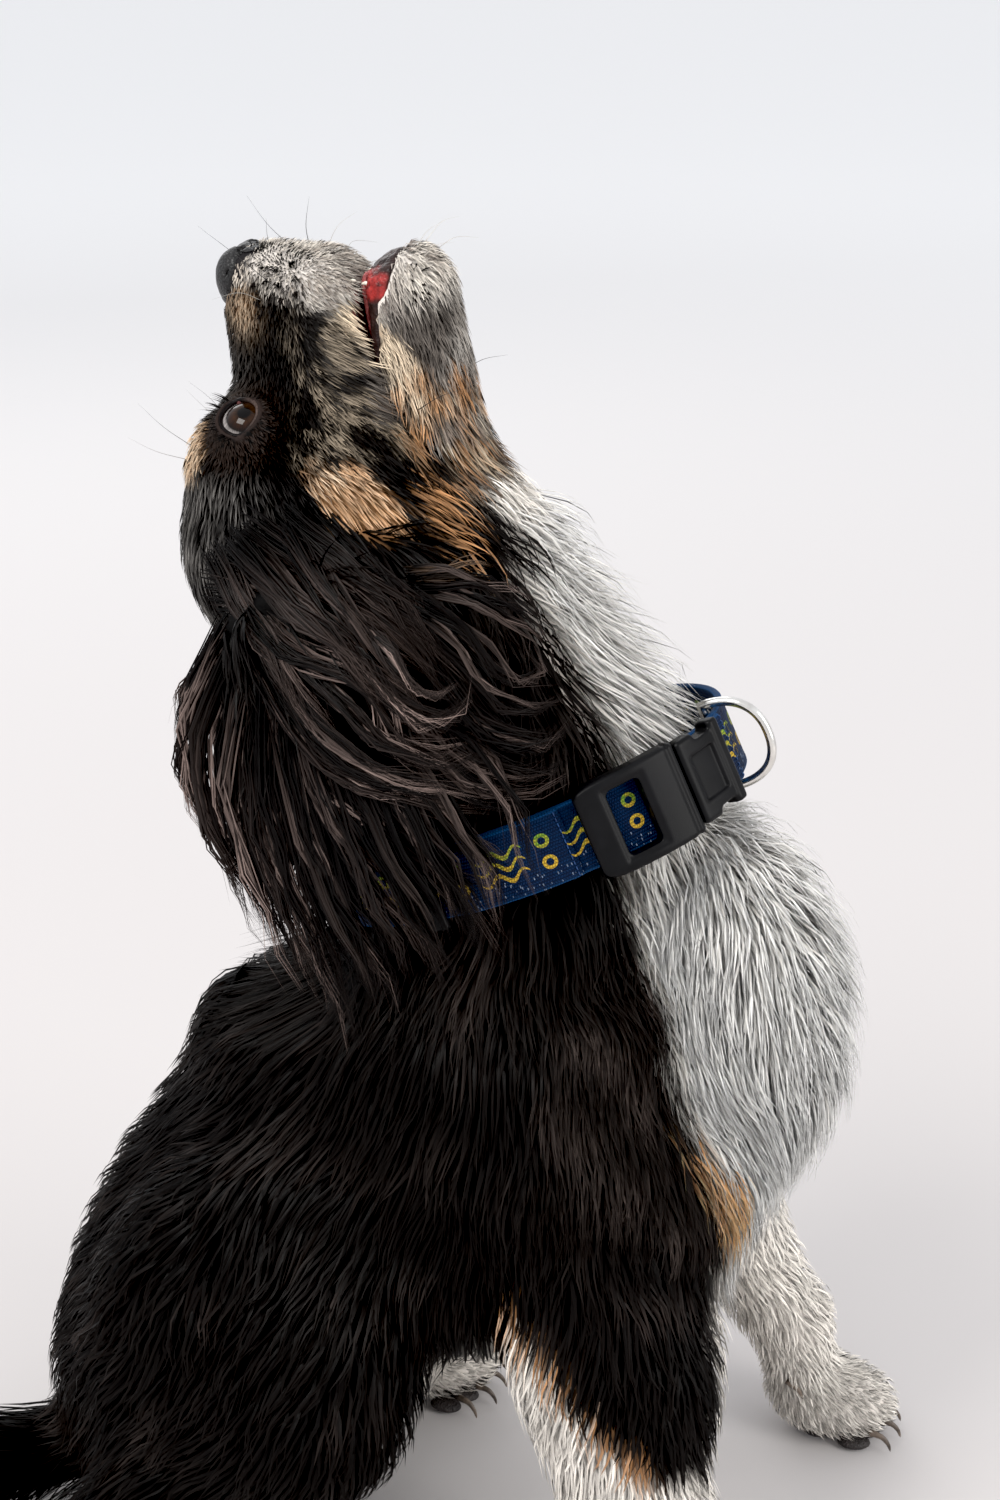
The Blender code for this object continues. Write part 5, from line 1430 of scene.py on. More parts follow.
b_neck = grow(neck, 2.31, lambda P: np.interp(P[:, 2], [300, 350, 420], [26, 28, 26]) + 4 * ramp(P[:, 0], 10, 40), lambda P: 0.98 - 0.12 * pale(P), 4, (0.4, 1.04), 1.9, 0.24, 26.0, 9.0, 0.34, 0.18,
              seed=41, press=True, drop=0.1, soft=0.92, thick=0.24, twist=0.25, lift_fn=lambda P: 12.0 * ramp(P[:, 0] - np.interp(P[:, 2], [300, 430], [40, -22]), 0, 22) * ramp(P[:, 2], 325, 350))
log("neck", b_neck["N"])

# ---- breast
chest = (T_PART == 0) & (T_MID[:, 0] > 30) & (T_MID[:, 2] > 150)
b_chest = grow(chest, 1.63, lambda P: np.interp(P[:, 0], [30, 60, 110], [25, 29, 33]), lambda P: 1.08 - 0.1 * pale(P), 4, (0.45, 1.0), 1.8, 0.22, 34.0, 9.0, 0.30, 0.16,
               seed=51, press=True, drop=0.08, pull=0.22, soft=0.96, thick=0.2, twist=0.15)
log("chest", b_chest["N"])

# ---- trunk
trunk = (T_PART == 0) & ~chest
b_trunk = grow(trunk, 2.7, lambda P: np.interp(P[:, 2], [10, 60, 150, 300], [27, 29, 26, 27]), const(1.22), 3, (0.2, 0.85), 2.1, 0.10, 30.0, 13.0, 0.36, 0.10,
               seed=61, press=True, twist=0.3)
log("trunk", b_trunk["N"])

# ---- legs
fore = T_PART == 2
foot = fore & (T_MID[:, 2] < 44)
TOE_PAWS = [((95, -67, 20), (36, 26, 21), 0.0), ((121, 98, 16.4), (29, 21, 17.8), 6.0), ((-54, -82, 18), (34, 25, 19.5), 5.0), ((-54, 82, 18), (34, 25, 19.5), -5.0)]


def toe_groove(P):
    """1 in the valleys between the toes."""
    out = np.zeros(len(P))
    for c, r, turn in TOE_PAWS:
        q = (P - np.array(c, float)) @ rot_z(turn) / np.array(r, float)
        fan = q[:, 1] / (0.62 + 0.38 * np.clip(q[:, 0], -0.5, 1.2))
        g = np.zeros(len(P))
        for k in (-0.47, 0.0, 0.47):
            g = np.maximum(g, np.exp(-((fan - k) / 0.085) ** 2))
        near = (np.abs(q[:, 1]) < 1.2) & (np.abs(q[:, 0]) < 1.4)
        out = np.maximum(out, g * ramp(q[:, 0], 0.10, 0.50) * near)
    return out


def fore_len(P):
    back = ramp(np.where(P[:, 1] < 0, 62.0, 74.0) + 0.0 * P[:, 2] - P[:, 0], -6, 14)
    return np.interp(P[:, 2], [0, 30, 60, 130, 190], [5, 8, 11, 19, 27]) + back * np.interp(P[:, 2], [30, 60, 110, 170], [0, 12, 16, 3])


b_fore = {}
for nm, s in (("right", -1), ("left", 1)):
    m = (T_SIDE * s > 0)
    b_fore[nm] = [grow(fore & ~foot & m, np.interp(T_MID[:, 2], [60, 120, 170], [2.08, 2.44, 2.75]), fore_len, lambda P: np.interp(P[:, 2], [60, 120, 170], [0.85, 1.05, 1.3]), 3, (0.3, 0.95), 2.0, 0.20, 24.0, 10.0, 0.42, 0.14, seed=71, twist=0.3),
                  grow(foot & m, 1.5, lambda P: np.interp(P[:, 2], [0, 25, 44], [4.5, 6.0, 8.0]), const(0.74), 2, (0.5, 1.15), 2.0, 0.06, 16.0, 0, 0.0, 0.16, seed=73, groove=toe_groove)]
hind = T_PART == 3
hfoot = hind & (T_MID[:, 2] < 40) & (T_MID[:, 0] > -150)
b_hind = {}
for nm, s in (("right", -1), ("left", 1)):
    m = (T_SIDE * s > 0)
    b_hind[nm] = [grow(hind & ~hfoot & m, 3.0, lambda P: np.interp(P[:, 2], [20, 60, 120], [17, 24, 28]), const(1.45), 3, (0.35, 1.05), 2.0, 0.22, 26.0, 12.0, 0.5, 0.14, seed=81),
                  grow(hfoot & m, 2.0, lambda P: np.interp(P[:, 2], [0, 25, 40], [5.0, 7.0, 10]), const(0.95), 2, (0.5, 1.15), 2.0, 0.06, 16.0, 0, 0.0, 0.16, seed=83, groove=toe_groove)]
tail = T_PART == 4
b_tail = [grow(tail, 2.9, lambda P: np.interp(P[:, 0], [-320, -290, -200, -150], [26, 44, 52, 34]), const(1.3), 5, (0.4, 1.1), 1.8, 0.25, 34.0, 12.0, 0.5, 0.2, seed=91)]
log("legs and tail", sum(b["N"] for k in b_fore.values() for b in k), sum(b["N"] for k in b_hind.values() for b in k), b_tail[0]["N"])

COAT = []
COAT += coat_piece("coat_face", [b_face, b_lip, b_dots, b_dots2], PART_AXIS["head"], M_FACE)
COAT += coat_piece("coat_skull", [b_skull], PART_AXIS["head"], M_SKULL)
COAT += coat_piece("coat_neck", [b_neck], PART_AXIS["neck"], M_NECK)
COAT += coat_piece("coat_breast", [b_chest], PART_AXIS["chest"], M_WHITE)
COAT += coat_piece("coat_trunk", [b_trunk], PART_AXIS["trunk"], M_BODY)
for nm in ("right", "left"):
    COAT += coat_piece("coat_foreleg_" + nm, b_fore[nm], PART_AXIS["fore_" + nm], M_BODY)
    COAT += coat_piece("coat_hindleg_" + nm, b_hind[nm], PART_AXIS["hind_" + nm], M_BODY)
COAT += coat_piece("coat_tail", b_tail, PART_AXIS["tail"], M_BODY)


# ------------------------------------------------------------------ ears: long locks that hang from the leather
# Each lock: a place in the mass of hair, and its middle line as (x, y, z) for the dog's right ear.
# depth of the layer, number of tufts, radius of the lock at its root and at its tip, tuft width, lightness of its ends,
# partly the hair's own paler ends and partly painted highlight
EAR_LOCKS = [
    ("A1", [(-89, -46, 404), (-64, -54, 405), (-37, -60, 405), (-17, -62, 409)], 120, 9.5, 6.0, 0.7, 0.65),
    ("A2", [(-81, -46, 417), (-56, -54, 413), (-34, -60, 411), (-14, -61, 413)], 110, 8.5, 6.0, 0.7, 0.45),
    ("B1", [(-70, -60, 405), (-54, -68, 394), (-33, -74, 390), (-20, -76, 385), (-15, -76, 371), (-3, -74, 365), (9, -70, 366)], 90, 5.5, 2.6, 0.65, 1.0),
    ("B2", [(-65, -60, 407), (-44, -68, 398), (-24, -76, 396), (-11, -79, 382), (1, -78, 377), (9, -75, 384), (9, -72, 394)], 90, 5.5, 2.6, 0.65, 0.95),
    ("B3", [(-51, -60, 408), (-31, -68, 404), (-18, -76, 401), (-9, -80, 389), (2, -79, 387), (8, -76, 392)], 80, 5.0, 2.4, 0.65, 0.85),
    ("B4", [(-60, -60, 404), (-45, -69, 386), (-30, -75, 376), (-14, -78, 366), (2, -76, 362), (14, -71, 366)], 90, 6.0, 3.0, 0.7, 0.7),
    ("C1", [(-68, -62, 396), (-53, -70, 376), (-42, -74, 362), (-22, -76, 353), (0, -74, 349), (19, -70, 346)], 100, 6.5, 2.8, 0.65, 1.25),
    ("C2", [(-60, -64, 394), (-47, -73, 374), (-29, -77, 361), (-6, -77, 354), (13, -73, 352)], 100, 6.5, 3.4, 0.7, 0.8),
    ("C3", [(-70, -62, 387), (-59, -68, 362), (-41, -72, 344), (-15, -72, 334), (8, -68, 330)], 100, 7.0, 4.0, 0.8, 0.5),
    ("D1", [(-76, -52, 400), (-87, -58, 385), (-95, -60, 368), (-100, -60, 352)], 60, 6.0, 4.5, 0.7, 0.5),
    ("D2", [(-74, -54, 398), (-85, -62, 378), (-91, -65, 354), (-87, -66, 334), (-82, -66, 322)], 95, 7.0, 4.5, 0.75, 1.0),
    ("D3", [(-71, -56, 393), (-80, -65, 373), (-85, -68, 348), (-80, -69, 328), (-71, -68, 306), (-62, -66, 284)], 95, 7.0, 4.5, 0.75, 1.05),
    ("D4", [(-68, -58, 390), (-72, -68, 368), (-75, -71, 344), (-70, -71, 322), (-62, -70, 298), (-54, -68, 274)], 95, 7.5, 4.5, 0.8, 0.85),
    ("D5", [(-65, -60, 388), (-66, -70, 362), (-66, -73, 337), (-59, -73, 314), (-51, -71, 288), (-43, -69, 264)], 95, 7.5, 4.5, 0.8, 0.7),
    ("D6", [(-61, -62, 387), (-60, -72, 356), (-55, -75, 329), (-47, -75, 303), (-38, -72, 275), (-32, -69, 252)], 95, 7.5, 4.0, 0.8, 0.5),
    ("D7", [(-55, -64, 385), (-51, -72, 354), (-43, -75, 327), (-33, -75, 305), (-21, -73, 285), (-12, -71, 266)], 100, 7.5, 4.0, 0.8, 0.4),
    ("D8", [(-50, -66, 383), (-41, -73, 352), (-29, -75, 329), (-15, -76, 312), (-4, -75, 296), (4, -72, 280)], 100, 7.5, 4.5, 0.8, 0.35),
    ("E1", [(-15, -62, 416), (5, -66, 407), (19, -68, 394), (28, -68, 391), (32, -67, 396), (29, -66, 400)], 80, 6.5, 1.6, 0.65, 0.3),
    ("E2", [(-16, -62, 411), (2, -67, 399), (18, -69, 384), (31, -68, 381), (39, -66, 388)], 80, 6.5, 3.0, 0.7, 0.3),
    ("E3", [(-18, -62, 405), (-2, -68, 388), (16, -70, 372), (33, -68, 370), (43, -66, 380)], 85, 7.0, 4.2, 0.7, 0.3),
    ("E4", [(-19, -62, 399), (-5, -68, 377), (13, -71, 362), (32, -69, 360), (42, -66, 370)], 85, 7.0, 4.6, 0.7, 0.3),
    ("E5", [(-21, -62, 393), (-9, -68, 366), (10, -71, 353), (28, -69, 351), (38, -67, 359)], 80, 7.0, 4.6, 0.7, 0.3),
    ("E6", [(-14, -60, 408), (3, -63, 392), (14, -65, 376), (24, -66, 366), (34, -65, 366)], 90, 7.5, 6.0, 0.8, 0.2),
    ("F1", [(-16, -58, 417), (-3, -62, 422), (7, -63, 424), (14, -62, 423)], 70, 5.0, 3.6, 0.6, 1.3),
    ("F2", [(-14, -60, 418), (5, -64, 421), (19, -64, 417), (27, -62, 411)], 60, 5.0, 3.4, 0.65, 0.5),
    ("F3", [(-14, -60, 416), (8, -65, 414), (24, -66, 408), (31, -64, 402)], 60, 5.5, 4.0, 0.7, 0.3),
    ("G1", [(-24, -64, 386), (-15, -70, 360), (-1, -72, 341), (14, -70, 331), (22, -68, 324)], 85, 7.5, 5.0, 0.8, 0.25),
    ("G3", [(-28, -64, 379), (-20, -70, 349), (-6, -73, 330), (8, -75, 312), (16, -75, 296)], 95, 7.5, 6.0, 0.8, 0.25),
    ("G2", [(-34, -64, 384), (-16, -71, 376), (8, -70, 368), (22, -75, 354), (29, -79, 340), (35, -82, 324)], 60, 5.0, 3.6, 0.62, 0.5),
    ("G4", [(-24, -64, 384), (-16, -72, 352), (-4, -77, 334), (6, -79, 316), (12, -78, 300)], 75, 7.0, 5.0, 0.75, 0.3),
    ("G5", [(-22, -64, 388), (-8, -72, 358), (8, -76, 340), (18, -79, 322), (22, -78, 306)], 70, 6.5, 4.5, 0.7, 0.35),
    ("K1", [(-78, -43, 428), (-58, -54, 421), (-38, -63, 414), (-18, -67, 404), (0, -71, 390)], 120, 7.0, 5.0, 0.7, 0.5),
    ("K2", [(-64, -45, 431), (-46, -56, 424), (-28, -63, 416), (-10, -67, 403), (4, -71, 386)], 110, 7.0, 5.0, 0.7, 0.25),
    ("K3", [(-86, -41, 421), (-74, -54, 409), (-62, -63, 398), (-50, -70, 385), (-36, -74, 370)], 120, 8.0, 6.0, 0.7, 0.6),
    ("K4", [(-50, -48, 432), (-36, -57, 425), (-20, -63, 415), (-6, -67, 400), (4, -71, 382)], 100, 7.0, 5.0, 0.7, 0.12),
    ("K5", [(-80, -46, 424), (-66, -58, 418), (-52, -69, 411), (-36, -74, 402), (-18, -77, 388), (-4, -77, 372)], 120, 8.0, 6.0, 0.75, 0.45),
    ("K6", [(-60, -48, 430), (-48, -60, 422), (-36, -70, 413), (-22, -74, 401), (-8, -76, 386)], 110, 7.5, 6.0, 0.75, 0.2),
    ("J1", [(-58, -64, 352), (-49, -70, 332), (-40, -76, 312), (-30, -77, 294), (-24, -74, 274)], 100, 9.0, 7.0, 1.0, 0.08),
    ("J2", [(-46, -66, 356), (-36, -72, 336), (-26, -78, 316), (-17, -78, 299), (-12, -75, 282)], 100, 9.0, 7.0, 1.0, 0.08),
    ("J3", [(-34, -66, 358), (-23, -73, 340), (-12, -78, 323), (-3, -78, 308), (3, -76, 293)], 100, 9.0, 7.0, 1.0, 0.08),
    ("J4", [(-22, -66, 360), (-11, -74, 344), (0, -79, 330), (8, -80, 318), (13, -79, 304)], 60, 7.0, 5.0, 0.85, 0.12),
    ("H1", [(-39, -66, 381), (-31, -73, 353), (-16, -75, 333), (2, -74, 324), (19, -72, 320)], 85, 7.5, 5.0, 0.8, 0.3),
    ("I1", [(-30, -58, 396), (-22, -62, 372), (-14, -62, 350), (-6, -62, 334)], 90, 10.0, 9.0, 0.95, 0.15),
    ("I2", [(-50, -58, 392), (-52, -62, 362), (-48, -62, 336), (-43, -64, 310), (-37, -64, 286)], 110, 11.0, 10.0, 1.1, 0.08),
    ("I3", [(-64, -54, 392), (-72, -58, 366), (-74, -60, 340), (-66, -62, 312), (-57, -62, 288)], 110, 10.0, 9.0, 1.1, 0.08),
]


def spline(points, m):
    """m + 1 evenly spaced points of a smooth curve through the given ones."""
    P = np.asarray(points, float)
    P = np.concatenate([[2 * P[0] - P[1]], P, [2 * P[-1] - P[-2]]])
    out = []
    for i in range(1, len(P) - 2):
        p0, p1, p2, p3 = P[i - 1], P[i], P[i + 1], P[i + 2]
        for t in np.linspace(0, 1, 24, endpoint=False):
            out.append(0.5 * ((2 * p1) + (p2 - p0) * t + (2 * p0 - 5 * p1 + 4 * p2 - p3) * t * t + (3 * p1 - p0 - 3 * p2 + p3) * t ** 3))
    out.append(P[-2])
    out = np.array(out)
    s = np.concatenate([[0], np.cumsum(np.linalg.norm(np.diff(out, axis=0), axis=1))])
    u = np.linspace(0, s[-1], m + 1)
    return np.stack([np.interp(u, s, out[:, k]) for k in range(3)], 1), s[-1]


def lock_paths(points, count, r0, r1, n, side, squash=0.55, wave=2.0):
    """Paths of the tufts of one lock: strands gathered in a few wavy wisps, wider at the root, their ends drawn together."""
    C, length = spline(points, 60)
    K = count
    S = max(3, int(round(K / 13.0)))
    g = rng.integers(0, S, K)                       # the wisp each tuft belongs to
    last = np.clip(rng.normal(0.92, 0.06, S)[g] + rng.normal(0, 0.05, K), 0.6, 1.04)
    first = rng.uniform(0.0, 0.16, K)
    u = first[:, None] + (last - first)[:, None] * np.linspace(0, 1, n + 1)[None]
    T = np.gradient(C, axis=0)
    T /= np.linalg.norm(T, axis=1)[:, None]
    out = np.array([0.0, float(side), 0.0])
    B = np.cross(T, out)
    B /= np.linalg.norm(B, axis=1)[:, None] + 1e-9
    O = np.cross(B, T)
    f = np.clip(u, 0, 1.05) * 60.0
    i = np.clip(f.astype(int), 0, 59)
    t = (f - i)[..., None]
    c = C[i] * (1 - t) + C[i + 1] * t
    b = B[i] * (1 - t) + B[i + 1] * t
    o = O[i] * (1 - t) + O[i + 1] * t
    ga = rng.uniform(0, 2 * math.pi, S)
    gr = np.sqrt(rng.random(S)) * 0.80
    gx, gy = (np.cos(ga) * gr)[g], (np.sin(ga) * gr)[g]
    a = rng.uniform(0, 2 * math.pi, K)
    rad = np.sqrt(rng.random(K))
    R = (r0 + (r1 - r0) * np.clip(u, 0, 1) ** 0.8)
    own = np.interp(u, [0, 0.35, 1], [0.55, 0.30, 0.20]) * R
    ph = rng.uniform(0, 2 * math.pi, S)[g] + rng.normal(0, 0.25, K)
    amp = wave * rng.uniform(0.4, 1.3, S)[g]
    per = rng.uniform(0.8, 1.25, S)[g] / 34.0
    wob = amp[:, None] * np.sin(ph[:, None] + u * length * 2 * math.pi * per[:, None]) * np.clip(u * 1.6, 0, 1)
    out_w = 0.5 * amp[:, None] * np.cos(ph[:, None] + u * length * 2 * math.pi * per[:, None]) * np.clip(u * 1.6, 0, 1)
    fly = (rng.random(K) < 0.08)[:, None] * np.clip(u - 0.5, 0, 1) * rng.normal(0, 7.0, K)[:, None]
    x = gx[:, None] * R + (np.cos(a) * rad)[:, None] * own + wob + fly
    y = (gy[:, None] * R + (np.sin(a) * rad)[:, None] * own) * squash + out_w * 0.6
    layer = gy * 0.7 + np.sin(a) * rad * 0.3
    # painted highlight, partly the hair's own paler ends: about a third of the wisps of a lock get light ends, the rest
    # stay dark
    lit = rng.permutation(np.concatenate([rng.uniform(0.9, 1.7, max(1, round(S * 0.34))), rng.uniform(0.0, 0.16, S - max(1, round(S * 0.34)))]))[g]
    return c + b * x[..., None] + o * y[..., None], o[:, 0], layer, lit


def ear_hair(side):
    """Locks and short underlying hair of one ear. side is -1 for the dog's right."""
    nm = "right" if side < 0 else "left"
    batches = []
    for j, (key, pts, count, r0, r1, w, light) in enumerate(EAR_LOCKS):
        pts = np.asarray(pts, float).copy()
        if side > 0:
            if key[0] in "EFGJK" or key in ("B1", "B2", "B4", "C1"):
                continue
            count = int(count * 0.42)
            pts[:, 1] *= -1
            pts[:, 0] = -56.0 + (pts[:, 0] + 56.0) * 0.55
            pts = pts + np.array([0.0, 0.0, 1.0]) * 0
            pts[1:] += rng.normal(0, 2.0, (len(pts) - 1, 3)) * np.array([1, 0.4, 1]) * np.linspace(0.4, 1.6, len(pts) - 1)[:, None]
        n = 7 if len(pts) > 5 else 6
        paths, o0, layer, lit = lock_paths(pts, count, r0, r1, n, side)
        # painted highlight: the locks over the crown get lighter ends, standing in for the sheen there
        if key[0] == "K":
            lit = 0.30 + 0.70 * lit
        K = len(paths)
        flat = paths.reshape(-1, 3)
        # keep clear of the neck and the cheek
        d = sample(LAX, OUT_D, flat)
        need = np.where((flat[:, 1] * side) > 10, np.clip(1.5 - d, 0, 14), 0)
        flat = flat + np.array([0.0, side, 0.0]) * need[:, None]
        paths = flat.reshape(paths.shape)
        rc = np.broadcast_to(BLACK * 0.7, (K, 3)).copy()
        # light ends of the locks: partly the hair's own paler colour, partly painted highlight
        li = light * lit * rng.uniform(0.1, 1.6, K) * (0.75 + 0.35 * layer)
        tipc = np.array([0.300, 0.222, 0.196])
        if key == "F1":
            tipc = np.array([0.11, 0.072, 0.048])
        tc = rc + tipc[None] * np.clip(li, 0, 1.8)[:, None] + BLACK
        batches.append(tufts(paths, o0, w * rng.uniform(0.7, 1.3, K), rc, tc, twist=rng.normal(0, 0.5, K), thick=0.4,
                             nrm_fn=lambda fl, s=side: np.broadcast_to(np.array([0.05, float(s), 0.02]), fl.shape), curve=0.8, tip_w=0.25, soft=0.5))
    # short hair all over the leather
    m = T_EAR & (T_MID[:, 1] * side > 0)
    P, N, s = scatter(m, 1.6)
    K = len(P)
    down = np.stack([np.interp(P[:, 2], [360, 405], [-0.15, 0.85]), 0.0 * P[:, 0], np.full(K, -1.0)], 1)
    d = down - N * (N * down).sum(1)[:, None]
    d = unit_rows(d + rng.normal(0, 0.16, (K, 3)))
    L = rng.uniform(14, 24, K)
    n = 3
    paths = np.stack([P - N * 0.4] + [P + d * (L * i / n)[:, None] + N * (3.6 * (1 - (1 - i / n) ** 2)) for i in range(1, n + 1)], 1)
    rc = np.broadcast_to(BLACK, (K, 3)) * 1.0
    tc = np.broadcast_to(BROWNBLACK * 1.2, (K, 3)) * 1.0
    NN = np.repeat(N, n + 1, axis=0)
    batches.append(tufts(paths, N, rng.uniform(0.9, 1.4, K), rc, tc, twist=rng.normal(0, 0.4, K), nrm_fn=lambda fl: NN))
    return coat_piece("coat_ear_" + nm, batches, PART_AXIS["ear_" + nm], M_EAR)


COAT += ear_hair(-1)
COAT += ear_hair(1)
log("ears")


# ------------------------------------------------------------------ helpers for the fine pieces
def to_world(L):
    return HEAD_O + np.asarray(L, float) @ HR.T


def outward(V, F):
    """Turns the faces of a closed mesh outwards."""
    T = F if F.shape[1] == 3 else np.concatenate([F[:, [0, 1, 2]], F[:, [0, 2, 3]]])
    vol = (V[T[:, 0]] * np.cross(V[T[:, 1]], V[T[:, 2]])).sum()
    return F if vol > 0 else F[:, ::-1]


def tube(P, R, sides=8, loop=False, up=(0.0, 0.0, 1.0), squash=1.0):
    """A closed tube along the points P with the radii R, its ends drawn to points on the line. squash flattens it along up."""
    P = np.asarray(P, float)
    n = len(P)
    R = np.broadcast_to(np.asarray(R, float), n)
    T = (np.roll(P, -1, 0) - np.roll(P, 1, 0)) if loop else np.gradient(P, axis=0)
    T = T / (np.linalg.norm(T, axis=1)[:, None] + 1e-12)
    U = np.broadcast_to(np.asarray(up, float), P.shape)
    B = np.cross(T, U)
    B /= np.linalg.norm(B, axis=1)[:, None] + 1e-9
    U2 = np.cross(B, T)
    a = np.arange(sides) * 2 * math.pi / sides
    V = P[:, None] + (B[:, None] * np.cos(a)[None, :, None] + U2[:, None] * (np.sin(a) * squash)[None, :, None]) * R[:, None, None]
    V = V.reshape(-1, 3)
    F = []
    for i in range(n if loop else n - 1):
        for j in range(sides):
            p, q = i * sides + j, i * sides + (j + 1) % sides
            p2, q2 = ((i + 1) % n) * sides + j, ((i + 1) % n) * sides + (j + 1) % sides
            F += [(p, q, q2), (p, q2, p2)]
    if not loop:
        V = np.concatenate([V, P[:1], P[-1:]])
        for j in range(sides):
            F.append((j, n * sides, (j + 1) % sides))
            F.append(((n - 1) * sides + j, (n - 1) * sides + (j + 1) % sides, n * sides + 1))
    F = np.array(F)
    return V, outward(V - V.mean(0), F)


def ball(c, r, m=None, nu=20, nv=14):
    """A closed ellipsoid."""
    th = np.linspace(0, math.pi, nv + 1)[1:-1]
    ph = np.arange(nu) * 2 * math.pi / nu
    D = np.stack([np.outer(np.sin(th), np.cos(ph)), np.outer(np.sin(th), np.sin(ph)), np.outer(np.cos(th), np.ones(nu))], -1).reshape(-1, 3)
    D = np.concatenate([D, [[0, 0, 1.0], [0, 0, -1.0]]])
    F = []
    k = len(D) - 2
    for i in range(len(th) - 1):
        for j in range(nu):
            p, q = i * nu + j, i * nu + (j + 1) % nu
            F += [(p, p + nu, q + nu), (p, q + nu, q)]
    for j in range(nu):
        F.append((j, (j + 1) % nu, k))
        F.append(((len(th) - 1) * nu + j, k + 1, (len(th) - 1) * nu + (j + 1) % nu))
    V = D * np.asarray(r, float)
    if m is not None:
        V = V @ np.asarray(m).T
    F = np.array(F)
    return V + np.asarray(c, float), outward(V, F)


def joined(parts):
    V, F, n = [], [], 0
    for v, f in parts:
        V.append(v)
        F.append(f + n)
        n += len(v)
    return np.concatenate(V), np.concatenate(F)


def noise_colour(nt, b, c0, c1, scale, detail=4.0, attr=None, lo=0.35, hi=0.65, vec=None):
    """Mottles the base colour between two tones, or the colour attribute attr by that much."""
    tc = add(nt, "ShaderNodeTexCoord")
    no = add(nt, "ShaderNodeTexNoise")
    no.inputs["Scale"].default_value = scale
    no.inputs["Detail"].default_value = detail
    nt.links.new(vec if vec is not None else tc.outputs["Object"], no.inputs["Vector"])
    mr = add(nt, "ShaderNodeMapRange")
    mr.inputs["From Min"].default_value = lo
    mr.inputs["From Max"].default_value = hi
    nt.links.new(no.outputs["Fac"], mr.inputs["Value"])
    if attr:
        col = add(nt, "ShaderNodeAttribute", attribute_name=attr)
        mr.inputs["To Min"].default_value = c0
        mr.inputs["To Max"].default_value = c1
        vm = add(nt, "ShaderNodeVectorMath", operation="SCALE")
        nt.links.new(col.outputs["Color"], vm.inputs[0])
        nt.links.new(mr.outputs["Result"], vm.inputs["Scale"])
        nt.links.new(vm.outputs["Vector"], b.inputs["Base Color"])
    else:
        mx = add(nt, "ShaderNodeMix", data_type="RGBA")
        mx.inputs["A"].default_value = (*c0, 1.0)
        mx.inputs["B"].default_value = (*c1, 1.0)
        nt.links.new(mr.outputs["Result"], mx.inputs["Factor"])
        nt.links.new(mx.outputs["Result"], b.inputs["Base Color"])
    return tc, no


def rough_range(nt, b, src, lo, hi):
    r = add(nt, "ShaderNodeMapRange")
    r.inputs["To Min"].default_value = lo
    r.inputs["To Max"].default_value = hi
    nt.links.new(src, r.inputs["Value"])
    nt.links.new(r.outputs["Result"], b.inputs["Roughness"])


def bump(nt, b, src, strength, distance):
    bp = add(nt, "ShaderNodeBump")
    bp.inputs["Strength"].default_value = strength
    bp.inputs["Distance"].default_value = distance
    nt.links.new(src, bp.inputs["Height"])
    nt.links.new(bp.outputs["Normal"], b.inputs["Normal"])
    return bp


def piece(name, V, F, mat, colour=None, replaces=()):
    o = mesh_from(name, V, F)
    if colour is not None:
        put_colour(o.data, "Col", colour)
    o.data.materials.append(mat)
    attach(o, "root")
    if replaces:
        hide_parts(*replaces)
    print("[piece]", name, len(F) * (F.shape[1] - 2), "triangles")
    return o


